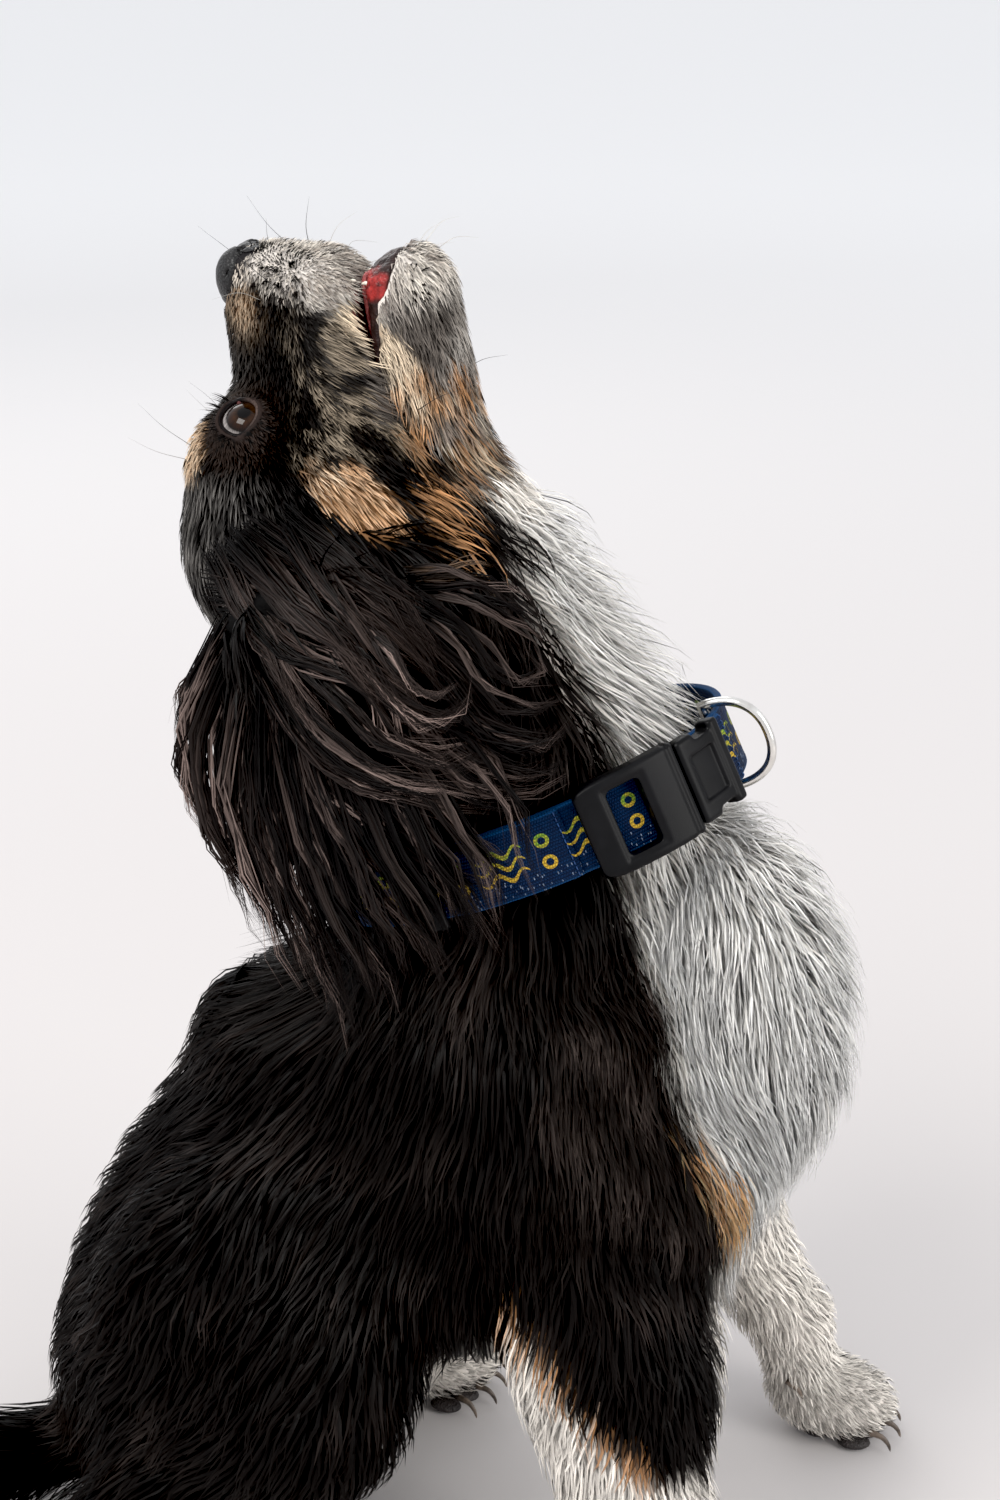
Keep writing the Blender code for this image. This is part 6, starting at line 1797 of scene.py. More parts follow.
# ------------------------------------------------------------------ eyes
def eye_material():
    """Pupil, brown iris with fibres, dark rim, and the white with fine veins, painted grey as shade, by the angle from
    the eye's axis.
    """
    m, nt, b = nodes_of("eyeball")
    at = add(nt, "ShaderNodeAttribute", attribute_name="eyeco")
    sp = add(nt, "ShaderNodeSeparateXYZ")
    nt.links.new(at.outputs["Vector"], sp.inputs["Vector"])
    ac = add(nt, "ShaderNodeMath", operation="ARCCOSINE")
    nt.links.new(sp.outputs["Z"], ac.inputs[0])
    flat = add(nt, "ShaderNodeVectorMath", operation="MULTIPLY")
    flat.inputs[1].default_value = (1, 1, 0)
    nt.links.new(at.outputs["Vector"], flat.inputs[0])
    nm = add(nt, "ShaderNodeVectorMath", operation="NORMALIZE")
    nt.links.new(flat.outputs["Vector"], nm.inputs[0])
    sc = add(nt, "ShaderNodeVectorMath", operation="SCALE")
    sc.inputs["Scale"].default_value = 9.0
    nt.links.new(nm.outputs["Vector"], sc.inputs[0])
    cz = add(nt, "ShaderNodeCombineXYZ")
    nt.links.new(ac.outputs["Value"], cz.inputs["Z"])
    ad = add(nt, "ShaderNodeVectorMath", operation="ADD")
    nt.links.new(sc.outputs["Vector"], ad.inputs[0])
    nt.links.new(cz.outputs["Vector"], ad.inputs[1])
    fib = add(nt, "ShaderNodeTexNoise")
    fib.inputs["Scale"].default_value = 1.6
    fib.inputs["Detail"].default_value = 5.0
    nt.links.new(ad.outputs["Vector"], fib.inputs["Vector"])
    # a slightly wavy edge between the rings
    wv = add(nt, "ShaderNodeMath", operation="MULTIPLY_ADD")
    wv.inputs[1].default_value = 0.05
    nt.links.new(fib.outputs["Fac"], wv.inputs[0])
    nt.links.new(ac.outputs["Value"], wv.inputs[2])
    mr = add(nt, "ShaderNodeMapRange")
    mr.inputs["From Max"].default_value = 0.97
    nt.links.new(wv.outputs["Value"], mr.inputs["Value"])
    cr = add(nt, "ShaderNodeValToRGB")
    el = cr.color_ramp.elements
    # painted shade: the white of the eye is given in greys far below white, standing in for the shade of the lids over
    # it
    stops = [(0.0, (0.0015, 0.001, 0.001)), (0.22, (0.0015, 0.001, 0.001)), (0.26, (0.013, 0.0055, 0.0025)), (0.37, (0.027, 0.0115, 0.005)), (0.47, (0.020, 0.008, 0.004)),
             (0.60, (0.012, 0.005, 0.003)), (0.67, (0.006, 0.004, 0.003)), (0.73, (0.20, 0.18, 0.172)), (0.84, (0.42, 0.39, 0.38)), (1.0, (0.17, 0.10, 0.09))]
    el[0].position, el[0].color = stops[0][0], (*stops[0][1], 1)
    el[1].position, el[1].color = stops[-1][0], (*stops[-1][1], 1)
    for p, c in stops[1:-1]:
        e = el.new(p)
        e.color = (*c, 1)
    nt.links.new(mr.outputs["Result"], cr.inputs["Fac"])
    fm = add(nt, "ShaderNodeMapRange")
    fm.inputs["From Min"].default_value = 0.3
    fm.inputs["From Max"].default_value = 0.7
    fm.inputs["To Min"].default_value = 0.55
    fm.inputs["To Max"].default_value = 1.35
    nt.links.new(fib.outputs["Fac"], fm.inputs["Value"])
    vm = add(nt, "ShaderNodeVectorMath", operation="SCALE")
    nt.links.new(cr.outputs["Color"], vm.inputs[0])
    nt.links.new(fm.outputs["Result"], vm.inputs["Scale"])
    nt.links.new(vm.outputs["Vector"], b.inputs["Base Color"])
    rough_range(nt, b, fib.outputs["Fac"], 0.03, 0.09)
    b.inputs["Coat Weight"].default_value = 0.35
    b.inputs["Coat Roughness"].default_value = 0.015
    b.inputs["Coat IOR"].default_value = 1.33
    b.inputs["Specular IOR Level"].default_value = 0.12
    return m


def rim_material():
    """Dark wet edge of the lids, from its colour attribute, with fine creases."""
    m, nt, b = nodes_of("lid_rim")
    tc, no = noise_colour(nt, b, 0.6, 1.4, 1400.0, attr="Col")
    rough_range(nt, b, no.outputs["Fac"], 0.25, 0.45)
    bump(nt, b, no.outputs["Fac"], 0.4, 0.0002)
    b.inputs["Specular IOR Level"].default_value = 0.08
    return m


M_EYE, M_RIM = eye_material(), rim_material()
IRIS_AX = dict(right=unit((0.78, 0.60, -0.16)), left=unit((0.965, 0.205, -0.16)))   # the dog looks a little to its right


def almond(m):
    """The edge of the opening between the lids as directions from the eye's centre, once round, with the part of it that is upper lid."""
    w = np.arange(m) * 2 * math.pi / m
    t, up = np.cos(w), np.sin(w) > 0
    lim = np.where(up, 0.56, 0.70) * np.sqrt(np.clip(1.0 - np.abs(t) ** np.where(up, 2.1, 3.0), 0, 1))
    a, b = t * np.where(t > 0, 0.70, 0.76), np.where(up, lim, -lim)
    v = GAZE + np.tan(a)[:, None] * SLIT + np.tan(b)[:, None] * LIDUP
    return unit_rows(v), w, up


for side, s in (("right", -1.0), ("left", 1.0)):
    f = np.array([1.0, s, 1.0])
    ax = IRIS_AX[side] * f
    e1 = unit(np.cross(ax, (0, 0, 1)))
    e2 = np.cross(ax, e1)
    M = np.stack([e1, e2, ax], 1)
    V, F = ball((0, 0, 0), (1, 1, 1), None, 72, 64)
    th = np.arccos(np.clip(V[:, 2], -1, 1))
    R = EYE_R * (1.0 + 0.045 * np.exp(-(th / 0.60) ** 4))
    W = to_world(EYE_C * f + (V * R[:, None]) @ M.T)
    o = piece("eyeball_" + side, W, outward(W - W.mean(0), F), M_EYE, replaces=("eye_" + side,))
    put_vector(o.data, "eyeco", V)
    # rims of the lids, the corner's pink flesh and the lashes
    d, w, up = almond(72)
    P = to_world((EYE_C + d * (EYE_R + 0.85)) * f)
    rad = 0.68 + 0.10 * np.abs(np.cos(w))
    out = (d * f) @ HR.T
    U = out
    n, sides = len(P), 8
    T = unit_rows(np.roll(P, -1, 0) - np.roll(P, 1, 0))
    B = unit_rows(np.cross(T, U))
    U2 = np.cross(B, T)
    a = np.arange(sides) * 2 * math.pi / sides
    V = (P[:, None] + (B[:, None] * np.cos(a)[None, :, None] * 0.85 + U2[:, None] * np.sin(a)[None, :, None] * 1.15) * rad[:, None, None]).reshape(-1, 3)
    F = np.array([q for i in range(n) for j in range(sides) for q in
                  ((i * sides + j, i * sides + (j + 1) % sides, ((i + 1) % n) * sides + (j + 1) % sides), (i * sides + j, ((i + 1) % n) * sides + (j + 1) % sides, ((i + 1) % n) * sides + j))])
    F = outward(V - V.mean(0), F)
    dark, pale = np.array([0.006, 0.0045, 0.0045]), np.array([0.085, 0.060, 0.052])
    inner = np.clip(-np.sin(w) * 1.3 - 0.35, 0, 1)
    k = np.repeat(inner, sides)
    C = dark + (pale - dark) * k[:, None] * 0.9
    piece("lid_rims_" + side, V, F, M_RIM, colour=C)
    g = EYE_C + unit(GAZE + 0.90 * SLIT - 0.10 * LIDUP) * (EYE_R - 0.1)
    V, F = ball(to_world(g * f), (1.0, 1.5, 1.3), None, 14, 10)
    piece("caruncle_" + side, V, F, M_RIM, colour=np.broadcast_to(np.array([0.11, 0.04, 0.038]), V.shape))
    roots, paths, nn = [], [], []
    for i in range(64):
        hi = i < 44
        q = rng.uniform(0.10, 0.90) * math.pi * (1 if hi else -1)
        t = math.cos(q)
        lim = (0.56 if hi else 0.73) * math.sqrt(max(0.0, 1 - abs(t) ** (2.1 if hi else 3.0)))
        bb = (lim if hi else -lim) + (0.05 if hi else -0.05)
        v = unit(GAZE + math.tan(t * 0.80) * SLIT + math.tan(bb) * LIDUP)
        L = rng.uniform(3.6, 6.0) if hi else rng.uniform(2.0, 3.2)
        fan = SLIT * t * 0.45
        vert = LIDUP * (1.0 if hi else -1.0)
        p = [EYE_C + v * (EYE_R + 1.0)]
        for k in range(1, 5):
            u = k / 4.0
            p.append(p[0] + (v * (0.9 * u - 0.15 * u * u) + vert * (0.20 * u + 0.55 * u * u) + fan * u) * L)
        paths.append([to_world(x * f) for x in p])
        nn.append((v * f) @ HR.T)
    paths, nn = np.array(paths), np.array(nn)
    N5 = np.repeat(nn, 5, axis=0)
    b = tufts(paths, nn, np.full(len(paths), 0.26), np.broadcast_to(BLACK, (len(paths), 3)) * 0.6, np.broadcast_to(BROWNBLACK, (len(paths), 3)) * 0.7, thick=0.9, nrm_fn=lambda fl: N5)
    COAT += coat_piece("lashes_" + side, [b], PART_AXIS["head"], M_FACE)


# ------------------------------------------------------------------ nose leather, lips, tongue and teeth
def outline(P):
    """The coat's outline at any points, by the same unions as the lattices."""
    d = np.full(len(P), 60.0)
    lo0, hi0 = P.min(0), P.max(0)
    for q in BODY_PRIMS:
        lo, hi = prim_box(q, 34.0)
        if (hi0 < lo).any() or (lo0 > hi).any():
            continue
        d = smin(d, prim_dist(q, P), q["k"])
    return d


def fine_net(lo, hi, step, value):
    """A closed fine net of one detail, worked out in the head's own frame."""
    axes = [np.arange(lo[k], hi[k] + step, step) for k in range(3)]
    g = np.stack(np.meshgrid(*axes, indexing="ij"), -1)
    V = value(g.reshape(-1, 3)).reshape(g.shape[:3])
    for k in range(3):                       # closed at the box
        sl = [slice(None)] * 3
        for e in (0, -1):
            sl[k] = e
            V[tuple(sl)] = np.maximum(V[tuple(sl)], 0.4)
    P, Q = surface_net(V, axes)
    P, Q = keep_largest(P, Q)
    P = relax(P, Q, 2)
    return P, Q


def skin_at(L):
    P = to_world(L)
    return FULL_SKIN(P, outline(P), sample(LAX, COAT_D, P))


def nose_value(L):
    s = skin_at(L)
    v = smax(s - 0.35, -11.0 * (leather_mask(L) + 0.015), 0.9)
    A = L.copy()
    # the leather's cobbled grain, shallow
    c = hash_noise(L, 1.35, 131) * 0.10 + hash_noise(L, 0.9, 137) * 0.05
    return v + c


def nose_material():
    m, nt, b = nodes_of("nose_leather")
    tc, no = noise_colour(nt, b, (0.0050, 0.0048, 0.0050), (0.014, 0.0135, 0.014), 260.0)
    vo = add(nt, "ShaderNodeTexVoronoi")
    vo.inputs["Scale"].default_value = 1050.0
    nt.links.new(tc.outputs["Object"], vo.inputs["Vector"])
    rough_range(nt, b, vo.outputs["Distance"], 0.30, 0.58)
    bump(nt, b, vo.outputs["Distance"], 0.85, 0.0005)
    b.inputs["Specular IOR Level"].default_value = 0.30
    b.inputs["Coat Weight"].default_value = 0.12
    b.inputs["Coat Roughness"].default_value = 0.20
    return m


NP_, NQ_ = fine_net((52, -18, 1), (80, 18, 34), 0.55, nose_value)
NW = to_world(NP_)
piece("nose_leather", NW, outward(NW - NW.mean(0), NQ_), nose_material(), replaces=("nose",))


def lips_value(L):
    s = skin_at(L)
    v = smax(s - 0.32, -8.0 * (lip_mask(L) + 0.03), 0.8)
    front = np.clip((L[:, 0] - 50.0) / 6.0, 0, 1)
    warts = hash_noise(L, 1.9, 141) * 0.55 + hash_noise(L, 1.1, 143) * 0.25
    return v - front * np.maximum(warts, -0.1) * 0.9


def wet_material(name, rough0, rough1, scale, b_strength, dist):
    m, nt, b = nodes_of(name)
    tc, no = noise_colour(nt, b, 0.62, 1.38, scale, attr="Col")
    rough_range(nt, b, no.outputs["Fac"], rough0, rough1)
    vo = add(nt, "ShaderNodeTexVoronoi")
    vo.inputs["Scale"].default_value = scale * 2.0
    nt.links.new(tc.outputs["Object"], vo.inputs["Vector"])
    bump(nt, b, vo.outputs["Distance"], b_strength, dist)
    b.inputs["Specular IOR Level"].default_value = 0.18
    b.inputs["Coat Weight"].default_value = 0.12
    b.inputs["Coat Roughness"].default_value = 0.12
    b.inputs["Subsurface Weight"].default_value = 0.08
    b.inputs["Subsurface Radius"].default_value = (0.002, 0.0008, 0.0005)
    return m


LP_, LQ_ = fine_net((24, -21, -44), (77, 21, -19), 0.75, lips_value)
x, a, z = LP_[:, 0], np.abs(LP_[:, 1]), LP_[:, 2]
dark, red, gum = np.array([0.026, 0.0135, 0.012]), np.array([0.30, 0.028, 0.026]), np.array([0.11, 0.032, 0.030])
nz = hash_noise(LP_, 3.2, 151)
tr = ramp(63.0 + 2.0 * nz - x, -1.2, 1.2) * ramp(x + 1.5 * nz, 53, 55.5) * ramp(z + 35.0 + 1.5 * nz, -1.5, 1.5)
C = mix(np.broadcast_to(dark, LP_.shape), red, tr)
inner = ramp(z + 27.5, -0.8, 1.5) * (x > 30) * ramp(a, 13, 9)
C = mix(C, gum * 0.8, inner * 0.7)
spots = ramp(hash_noise(LP_, 2.4, 157) - 0.30, 0.0, 0.2)
C = mix(C, dark * 0.8, spots * 0.8)
LW = to_world(LP_)
piece("lip_flesh", LW, outward(LW - LW.mean(0), LQ_), wet_material("lip_flesh", 0.22, 0.5, 480.0, 0.6, 0.0005), colour=C)


def tongue_value(L):
    d = 60.0
    for c, r in (((56, 0, -24.6), (6, 7.5, 2.0)), ((43, 0, -25.6), (6, 8.5, 1.5)), ((49.5, 0, -25.1), (7, 8.2, 1.8))):
        q = (L - np.array(c)) / np.array(r)
        k = np.sqrt((q * q).sum(1))
        e = (k - 1.0) * min(r)
        d = e if isinstance(d, float) else smin(d, e, 1.0)
    return d + 0.5 * np.exp(-(L[:, 1] / 0.8) ** 2) * (L[:, 2] > -24.8)


TP_, TQ_ = fine_net((35, -10, -29), (64, 10, -21), 0.6, tongue_value)
TW = to_world(TP_)
C = mix(np.broadcast_to(np.array([0.42, 0.11, 0.105]), TP_.shape), np.array([0.30, 0.06, 0.06]), ramp(hash_noise(TP_, 2.0, 161), -0.4, 0.6))
piece("tongue_flesh", TW, outward(TW - TW.mean(0), TQ_), wet_material("tongue", 0.25, 0.45, 900.0, 0.8, 0.0003), colour=C, replaces=("tongue",))

m, nt, b = nodes_of("tooth")
tc, no = noise_colour(nt, b, (0.72, 0.66, 0.52), (0.82, 0.78, 0.68), 300.0)
rough_range(nt, b, no.outputs["Fac"], 0.14, 0.3)
bump(nt, b, no.outputs["Fac"], 0.2, 0.0002)
M_TOOTH = m
teeth = []
for sy in (-1, 1):
    for (p0, p1, p2, r) in (((60.0, 9.4 * sy, -20.6), (60.4, 9.6 * sy, -22.2), (60.2, 9.4 * sy, -23.4), 0.8), ((58.2, 8.4 * sy, -28.6), (59.0, 8.8 * sy, -26.2), (58.8, 8.6 * sy, -24.4), 1.1)):
        C3, _ = spline([p0, p1, p2], 8)
        teeth.append(tube(to_world(C3), r * np.linspace(1, 0, 9) ** 0.6 * 0.96 + 0.05, 8, up=HX))
    for k, (yy, rr2) in enumerate(((1.1, 0.7), (3.2, 0.75))):
        C3, _ = spline([(62.2 - 0.5 * k, yy * sy, -29.0), (62.8 - 0.5 * k, yy * sy, -27.6), (62.8 - 0.5 * k, yy * sy, -26.6)], 6)
        teeth.append(tube(to_world(C3), rr2 * np.array([1, 1, 1.02, 1.02, 0.98, 0.85, 0.4]), 8, up=HX, squash=0.75))
V, F = joined(teeth)
piece("teeth", V, F, M_TOOTH)

# ------------------------------------------------------------------ claws and pads
PAWS = [("fore_right", (95, -67, 20), (36, 26, 21), 0.0), ("fore_left", (121, 98, 16.4), (29, 21, 17.8), 6.0),
        ("hind_right", (-54, -82, 18), (34, 25, 19.5), 5.0), ("hind_left", (-54, 82, 18), (34, 25, 19.5), -5.0)]
m, nt, b = nodes_of("claw_horn")
tc, no = noise_colour(nt, b, (0.05, 0.038, 0.030), (0.17, 0.13, 0.10), 240.0)
rough_range(nt, b, no.outputs["Fac"], 0.25, 0.45)
bump(nt, b, no.outputs["Fac"], 0.4, 0.0003)
M_CLAW = m
m, nt, b = nodes_of("pad_leather")
tc, no = noise_colour(nt, b, (0.016, 0.013, 0.013), (0.04, 0.033, 0.032), 200.0)
vo = add(nt, "ShaderNodeTexVoronoi")
vo.inputs["Scale"].default_value = 1100.0
nt.links.new(tc.outputs["Object"], vo.inputs["Vector"])
rough_range(nt, b, vo.outputs["Distance"], 0.5, 0.75)
bump(nt, b, vo.outputs["Distance"], 0.9, 0.0005)
M_PAD = m
for nm, c, r, turn in PAWS:
    c, r = np.array(c, float), np.array(r, float)
    R3 = rot_z(turn)
    fwd, lat = R3 @ np.array([1.0, 0, 0]), R3 @ np.array([0, 1.0, 0])
    claws, pads = [], []
    for k, g in enumerate((-0.66, -0.23, 0.23, 0.66)):
        reach = r[0] * (0.97 if abs(g) < 0.4 else 0.84)
        out = unit(fwd + lat * g * 0.45)
        base = c + fwd * (reach - 9.0) + lat * (g * r[1] * 0.94)
        p = [base + np.array([0, 0, 8.5 - c[2]]), base + out * 5.5 + np.array([0, 0, 8.0 - c[2]]), base + out * 8.6 + np.array([0, 0, 5.2 - c[2]]), base + out * 9.8 + np.array([0, 0, 1.9 - c[2]])]
        C3, _ = spline(p, 12)
        claws.append(tube(C3, 1.6 * np.linspace(1, 0.0, 13) ** 0.55 + 0.10, 8, up=lat, squash=0.72))
        q = c + fwd * (reach - 15.0) + lat * (g * r[1] * 0.92)
        pads.append(ball((q[0], q[1], 2.9), (7.0, 4.6, 2.5), R3, 18, 12))
    q = c - fwd * 6.0
    pads.append(ball((q[0], q[1], 3.1), (9.0, 12.0, 2.7), R3, 22, 14))
    if nm.startswith("fore"):
        inn = -math.copysign(1.0, c[1])
        q = c - fwd * 20.0 + lat * (inn * r[1] * 0.74) + np.array([0, 0, 16.0])
        C3, _ = spline([q, q + fwd * 5 + lat * inn * 2.2 - np.array([0, 0, 2.5]), q + fwd * 7 + lat * inn * 1.8 - np.array([0, 0, 7.0])], 8)
        claws.append(tube(C3, 1.5 * np.linspace(1, 0, 9) ** 0.55 + 0.08, 8, up=lat, squash=0.8))
    V, F = joined(claws)
    V[:, 2] = np.maximum(V[:, 2], 0.4)
    piece("claws_" + nm, V, F, M_CLAW)
    V, F = joined(pads)
    piece("pads_" + nm, V, F, M_PAD)

# ------------------------------------------------------------------ whiskers
WHISKERS = [  # root, bend and tip in the head's frame, for the dog's right; thickness; darkness
    ((69.0, -15.8, 0.6), (77.0, -18.0, 1.8), (84.0, -19.0, 1.0), 0.30, 1.0),
    ((63.4, -19.8, 2.8), (75.0, -23.5, 13.0), (84.0, -24.0, 23.0), 0.30, 1.0),
    ((18.6, -20.4, -42.4), (23.5, -24.5, -52.0), (26.0, -24.0, -63.0), 0.34, 1.0),
    ((62.0, -22.4, -8.8), (66.0, -30.0, -9.5), (66.0, -40.0, -12.0), 0.26, 0.5),
    ((57.0, -22.6, -14.6), (60.0, -30.0, -18.0), (58.0, -42.0, -23.0), 0.26, 0.4),
    ((58.0, -20.0, 6.8), (62.0, -27.0, 11.0), (62.0, -36.0, 17.0), 0.26, 0.5),
    ((66.0, -18.0, -4.0), (73.0, -24.0, -6.0), (78.0, -31.0, -9.0), 0.26, 0.3),
    ((69.0, -5.0, -44.0), (74.0, -7.0, -49.0), (77.0, -8.0, -55.0), 0.24, 0.2),
    ((66.0, -9.0, -47.0), (70.0, -12.0, -53.0), (71.0, -15.0, -60.0), 0.24, 0.2),
    ((10.0, -18.0, 40.0), (18.0, -21.0, 48.0), (27.0, -23.0, 55.0), 0.24, 0.8),
    ((6.0, -21.0, 40.0), (11.0, -26.0, 50.0), (17.0, -29.0, 58.0), 0.24, 0.6),
    ((-6.0, -42.0, -16.0), (-2.0, -49.0, -18.0), (2.0, -57.0, -18.0), 0.24, 0.5),
]
for side, s in (("right", 1.0), ("left", -1.0)):
    parts, cols = [], []
    for p0, p1, p2, th, dk in WHISKERS:
        q = [np.array(p) * np.array([1, s, 1]) for p in (p0, p1, p2)]
        if s < 0:
            q[1] = q[1] + rng.normal(0, 1.0, 3)
            q[2] = q[2] + rng.normal(0, 2.5, 3)
        C3, _ = spline(to_world(np.array(q)), 14)
        V, F = tube(C3, th * 0.5 * np.linspace(1, 0.12, 15), 5, up=(0.3, 0.5, 0.8))
        parts.append((V, F))
        cols.append(np.broadcast_to(np.array([0.012, 0.010, 0.010]) * dk + np.array([0.62, 0.58, 0.52]) * (1 - dk), V.shape))
    V, F = joined(parts)
    m = bpy.data.materials.get("whisker")
    if m is None:
        m, nt, b = nodes_of("whisker")
        tc, no = noise_colour(nt, b, 0.85, 1.15, 300.0, attr="Col")
        rough_range(nt, b, no.outputs["Fac"], 0.3, 0.45)
    piece("whiskers_" + side, V, F, m, colour=np.concatenate(cols))
log("face pieces, claws and whiskers")


# ------------------------------------------------------------------ the collar, in its own ring coordinates
def ring_pt(phi, r, h):
    """phi in radians from the throat to the dog's right, r out from the strap's middle line, h up the neck."""
    c, s = np.cos(phi), np.sin(phi)
    n = np.stack([c / STRAP_A, -s / STRAP_B], -1)
    n = n / np.linalg.norm(n, axis=-1)[..., None]
    px, py = STRAP_A * c + n[..., 0] * r, -STRAP_B * s + n[..., 1] * r
    return COLLAR_O + px[..., None] * CX + py[..., None] * np.array([0.0, 1.0, 0.0]) + h[..., None] * CZ


def ring_net(name, phi0, phi1, value, r0, r1, h0, h1, step, mat, replaces):
    """A net of an implicit body given along the strap (u, in mm from its middle), up it (h) and out from it (r)."""
    pm = math.radians(0.5 * (phi0 + phi1))
    speed = math.hypot(STRAP_A * math.sin(pm), STRAP_B * math.cos(pm))
    half = math.radians(phi1 - phi0) * 0.5 * speed
    axes = [np.arange(-half - 2 * step, half + 3 * step, step), np.arange(h0 - 2 * step, h1 + 3 * step, step), np.arange(r0 - 2 * step, r1 + 3 * step, step)]
    g = np.stack(np.meshgrid(*axes, indexing="ij"), -1)
    V = value(g[..., 0], g[..., 1], g[..., 2], half)
    for k in range(3):
        sl = [slice(None)] * 3
        for e in (0, -1):
            sl[k] = e
            V[tuple(sl)] = np.maximum(V[tuple(sl)], 0.4)
    P, Q = surface_net(V, axes)
    P, Q = keep_largest(P, Q)
    P = relax(P, Q, 2)
    W = ring_pt(pm + P[:, 0] / speed, P[:, 2], P[:, 1])
    o = piece(name, W, outward(W - W.mean(0), Q), mat, replaces=replaces)
    return o


def rbox(u, h, r, c, d, k):
    """Distance to a box with edges rounded by k."""
    q = [np.abs(u - c[0]) - (d[0] - k), np.abs(h - c[1]) - (d[1] - k), np.abs(r - c[2]) - (d[2] - k)]
    o = np.sqrt(sum(np.maximum(x, 0) ** 2 for x in q))
    return o + np.minimum(np.maximum(np.maximum(q[0], q[1]), q[2]), 0) - k


T2 = STRAP_T / 2.0


def female_value(u, h, r, half):
    body = rbox(u, h, r, (0, 0, T2 + 3.7), (half, 17.3, 3.5), 2.3)
    # rounded shoulders at the end away from the throat, a straight end towards the other half
    body = smax(body, np.abs(h) - 17.3 + np.clip((u - (half - 9.0)) / 9.0, 0, 1) ** 2 * 2.6, 2.0)
    win = rbox(u, h, r, (2.6, 0, T2 + 6.0), (5.6, 11.8, 9.0), 1.8)
    body = smax(body, -win, 0.9)
    lip = np.abs(u + half - 3.2) - 0.28                # a seam near the socket's mouth
    body = body + 0.45 * np.exp(-(lip / 0.35) ** 2) * (lip > -2)
    # bevel round the window
    w2 = rbox(u, h, r, (2.6, 0, T2 + 8.4), (7.2, 13.4, 1.9), 1.0)
    return smax(body, -w2, 0.5)


def male_value(u, h, r, half):
    body = rbox(u, h, r, (0, 0, T2 + 3.5), (half + 0.2, 15.2, 3.2), 1.8)
    slot1 = rbox(u, h, r, (1.0, 0, T2 + 6.8), (half * 0.52, 8.2, 1.3), 0.6)     # sunken panel
    body = smax(body, -slot1, 0.5)
    notch = rbox(u, h, r, (-half * 0.15, 15.8, T2 + 4.4), (3.6, 3.4, 4.6), 1.5)   # finger hollows of the side springs
    notch2 = rbox(u, h, r, (-half * 0.15, -15.8, T2 + 4.4), (3.6, 3.4, 4.6), 1.5)
    body = smax(body, -smin(notch, notch2, 0.5), 0.9)
    bar = rbox(u, h, r, (-half + 1.8, 0, T2 + 4.2), (2.0, 15.2, 3.2), 1.2)
    return smin(body, bar, 0.6)


def slider_value(u, h, r, half):
    body = rbox(u, h, r, (0, 0, T2 + 1.9), (half, 15.3, 1.6), 0.9)
    s1 = rbox(u, h, r, (0, 0, T2 + 3.6), (0.8, 11.5, 0.9), 0.4)
    return smax(body, -s1, 0.4)


def plastic_material():
    m, nt, b = nodes_of("moulded_plastic")
    tc, no = noise_colour(nt, b, (0.0030, 0.0030, 0.0034), (0.0060, 0.0060, 0.0068), 70.0)
    fine = add(nt, "ShaderNodeTexNoise")
    fine.inputs["Scale"].default_value = 2400.0
    fine.inputs["Detail"].default_value = 3.0
    nt.links.new(tc.outputs["Object"], fine.inputs["Vector"])
    rough_range(nt, b, no.outputs["Fac"], 0.30, 0.46)
    bump(nt, b, fine.outputs["Fac"], 0.35, 0.0001)
    b.inputs["Specular IOR Level"].default_value = 0.14
    return m


def metal_material():
    m, nt, b = nodes_of("ring_steel")
    tc, no = noise_colour(nt, b, (0.62, 0.60, 0.57), (0.80, 0.79, 0.76), 160.0)
    sc = add(nt, "ShaderNodeTexNoise")
    sc.inputs["Scale"].default_value = 700.0
    nt.links.new(tc.outputs["Object"], sc.inputs["Vector"])
    rough_range(nt, b, sc.outputs["Fac"], 0.10, 0.30)
    bump(nt, b, sc.outputs["Fac"], 0.15, 0.0001)
    b.inputs["Metallic"].default_value = 1.0
    return m


M_PLASTIC, M_METAL = plastic_material(), metal_material()
ring_net("buckle_socket", 33, 62, female_value, T2 + 0.2, T2 + 7.3, -17.4, 17.4, 0.55, M_PLASTIC, ("collar_buckle_female",))
ring_net("buckle_plug", 16, 32.5, male_value, T2 + 0.2, T2 + 7.6, -15.4, 15.4, 0.55, M_PLASTIC, ("collar_buckle_male",))
ring_net("slider", 103, 110, slider_value, T2 + 0.2, T2 + 3.6, -15.4, 15.4, 0.5, M_PLASTIC, ("collar_slider",))

# the D-shaped ring: a straight bar behind the strap and a bow in front
half, wire, inn, outr, phid = 15.5, 1.6, -T2 - 2.1, T2 + 14.5, math.radians(4.0)
path = [(inn, -half + 2 * half * i / 11.0) for i in range(12)]
for i in range(1, 40):
    a = math.pi / 2 - math.pi * i / 40
    path.append((inn + (outr - inn) * math.cos(a) ** 0.75, half * math.copysign(abs(math.sin(a)) ** 0.9, math.sin(a))))
path = np.array(path)
PR = ring_pt(np.full(len(path), phid), path[:, 0], path[:, 1])
tang = unit(ring_pt(np.array([phid + 0.01]), np.zeros(1), np.zeros(1))[0] - ring_pt(np.array([phid - 0.01]), np.zeros(1), np.zeros(1))[0])
V, F = tube(PR, wire, 14, loop=True, up=tang)
piece("d_ring", V, F, M_METAL, replaces=("collar_d_ring",))


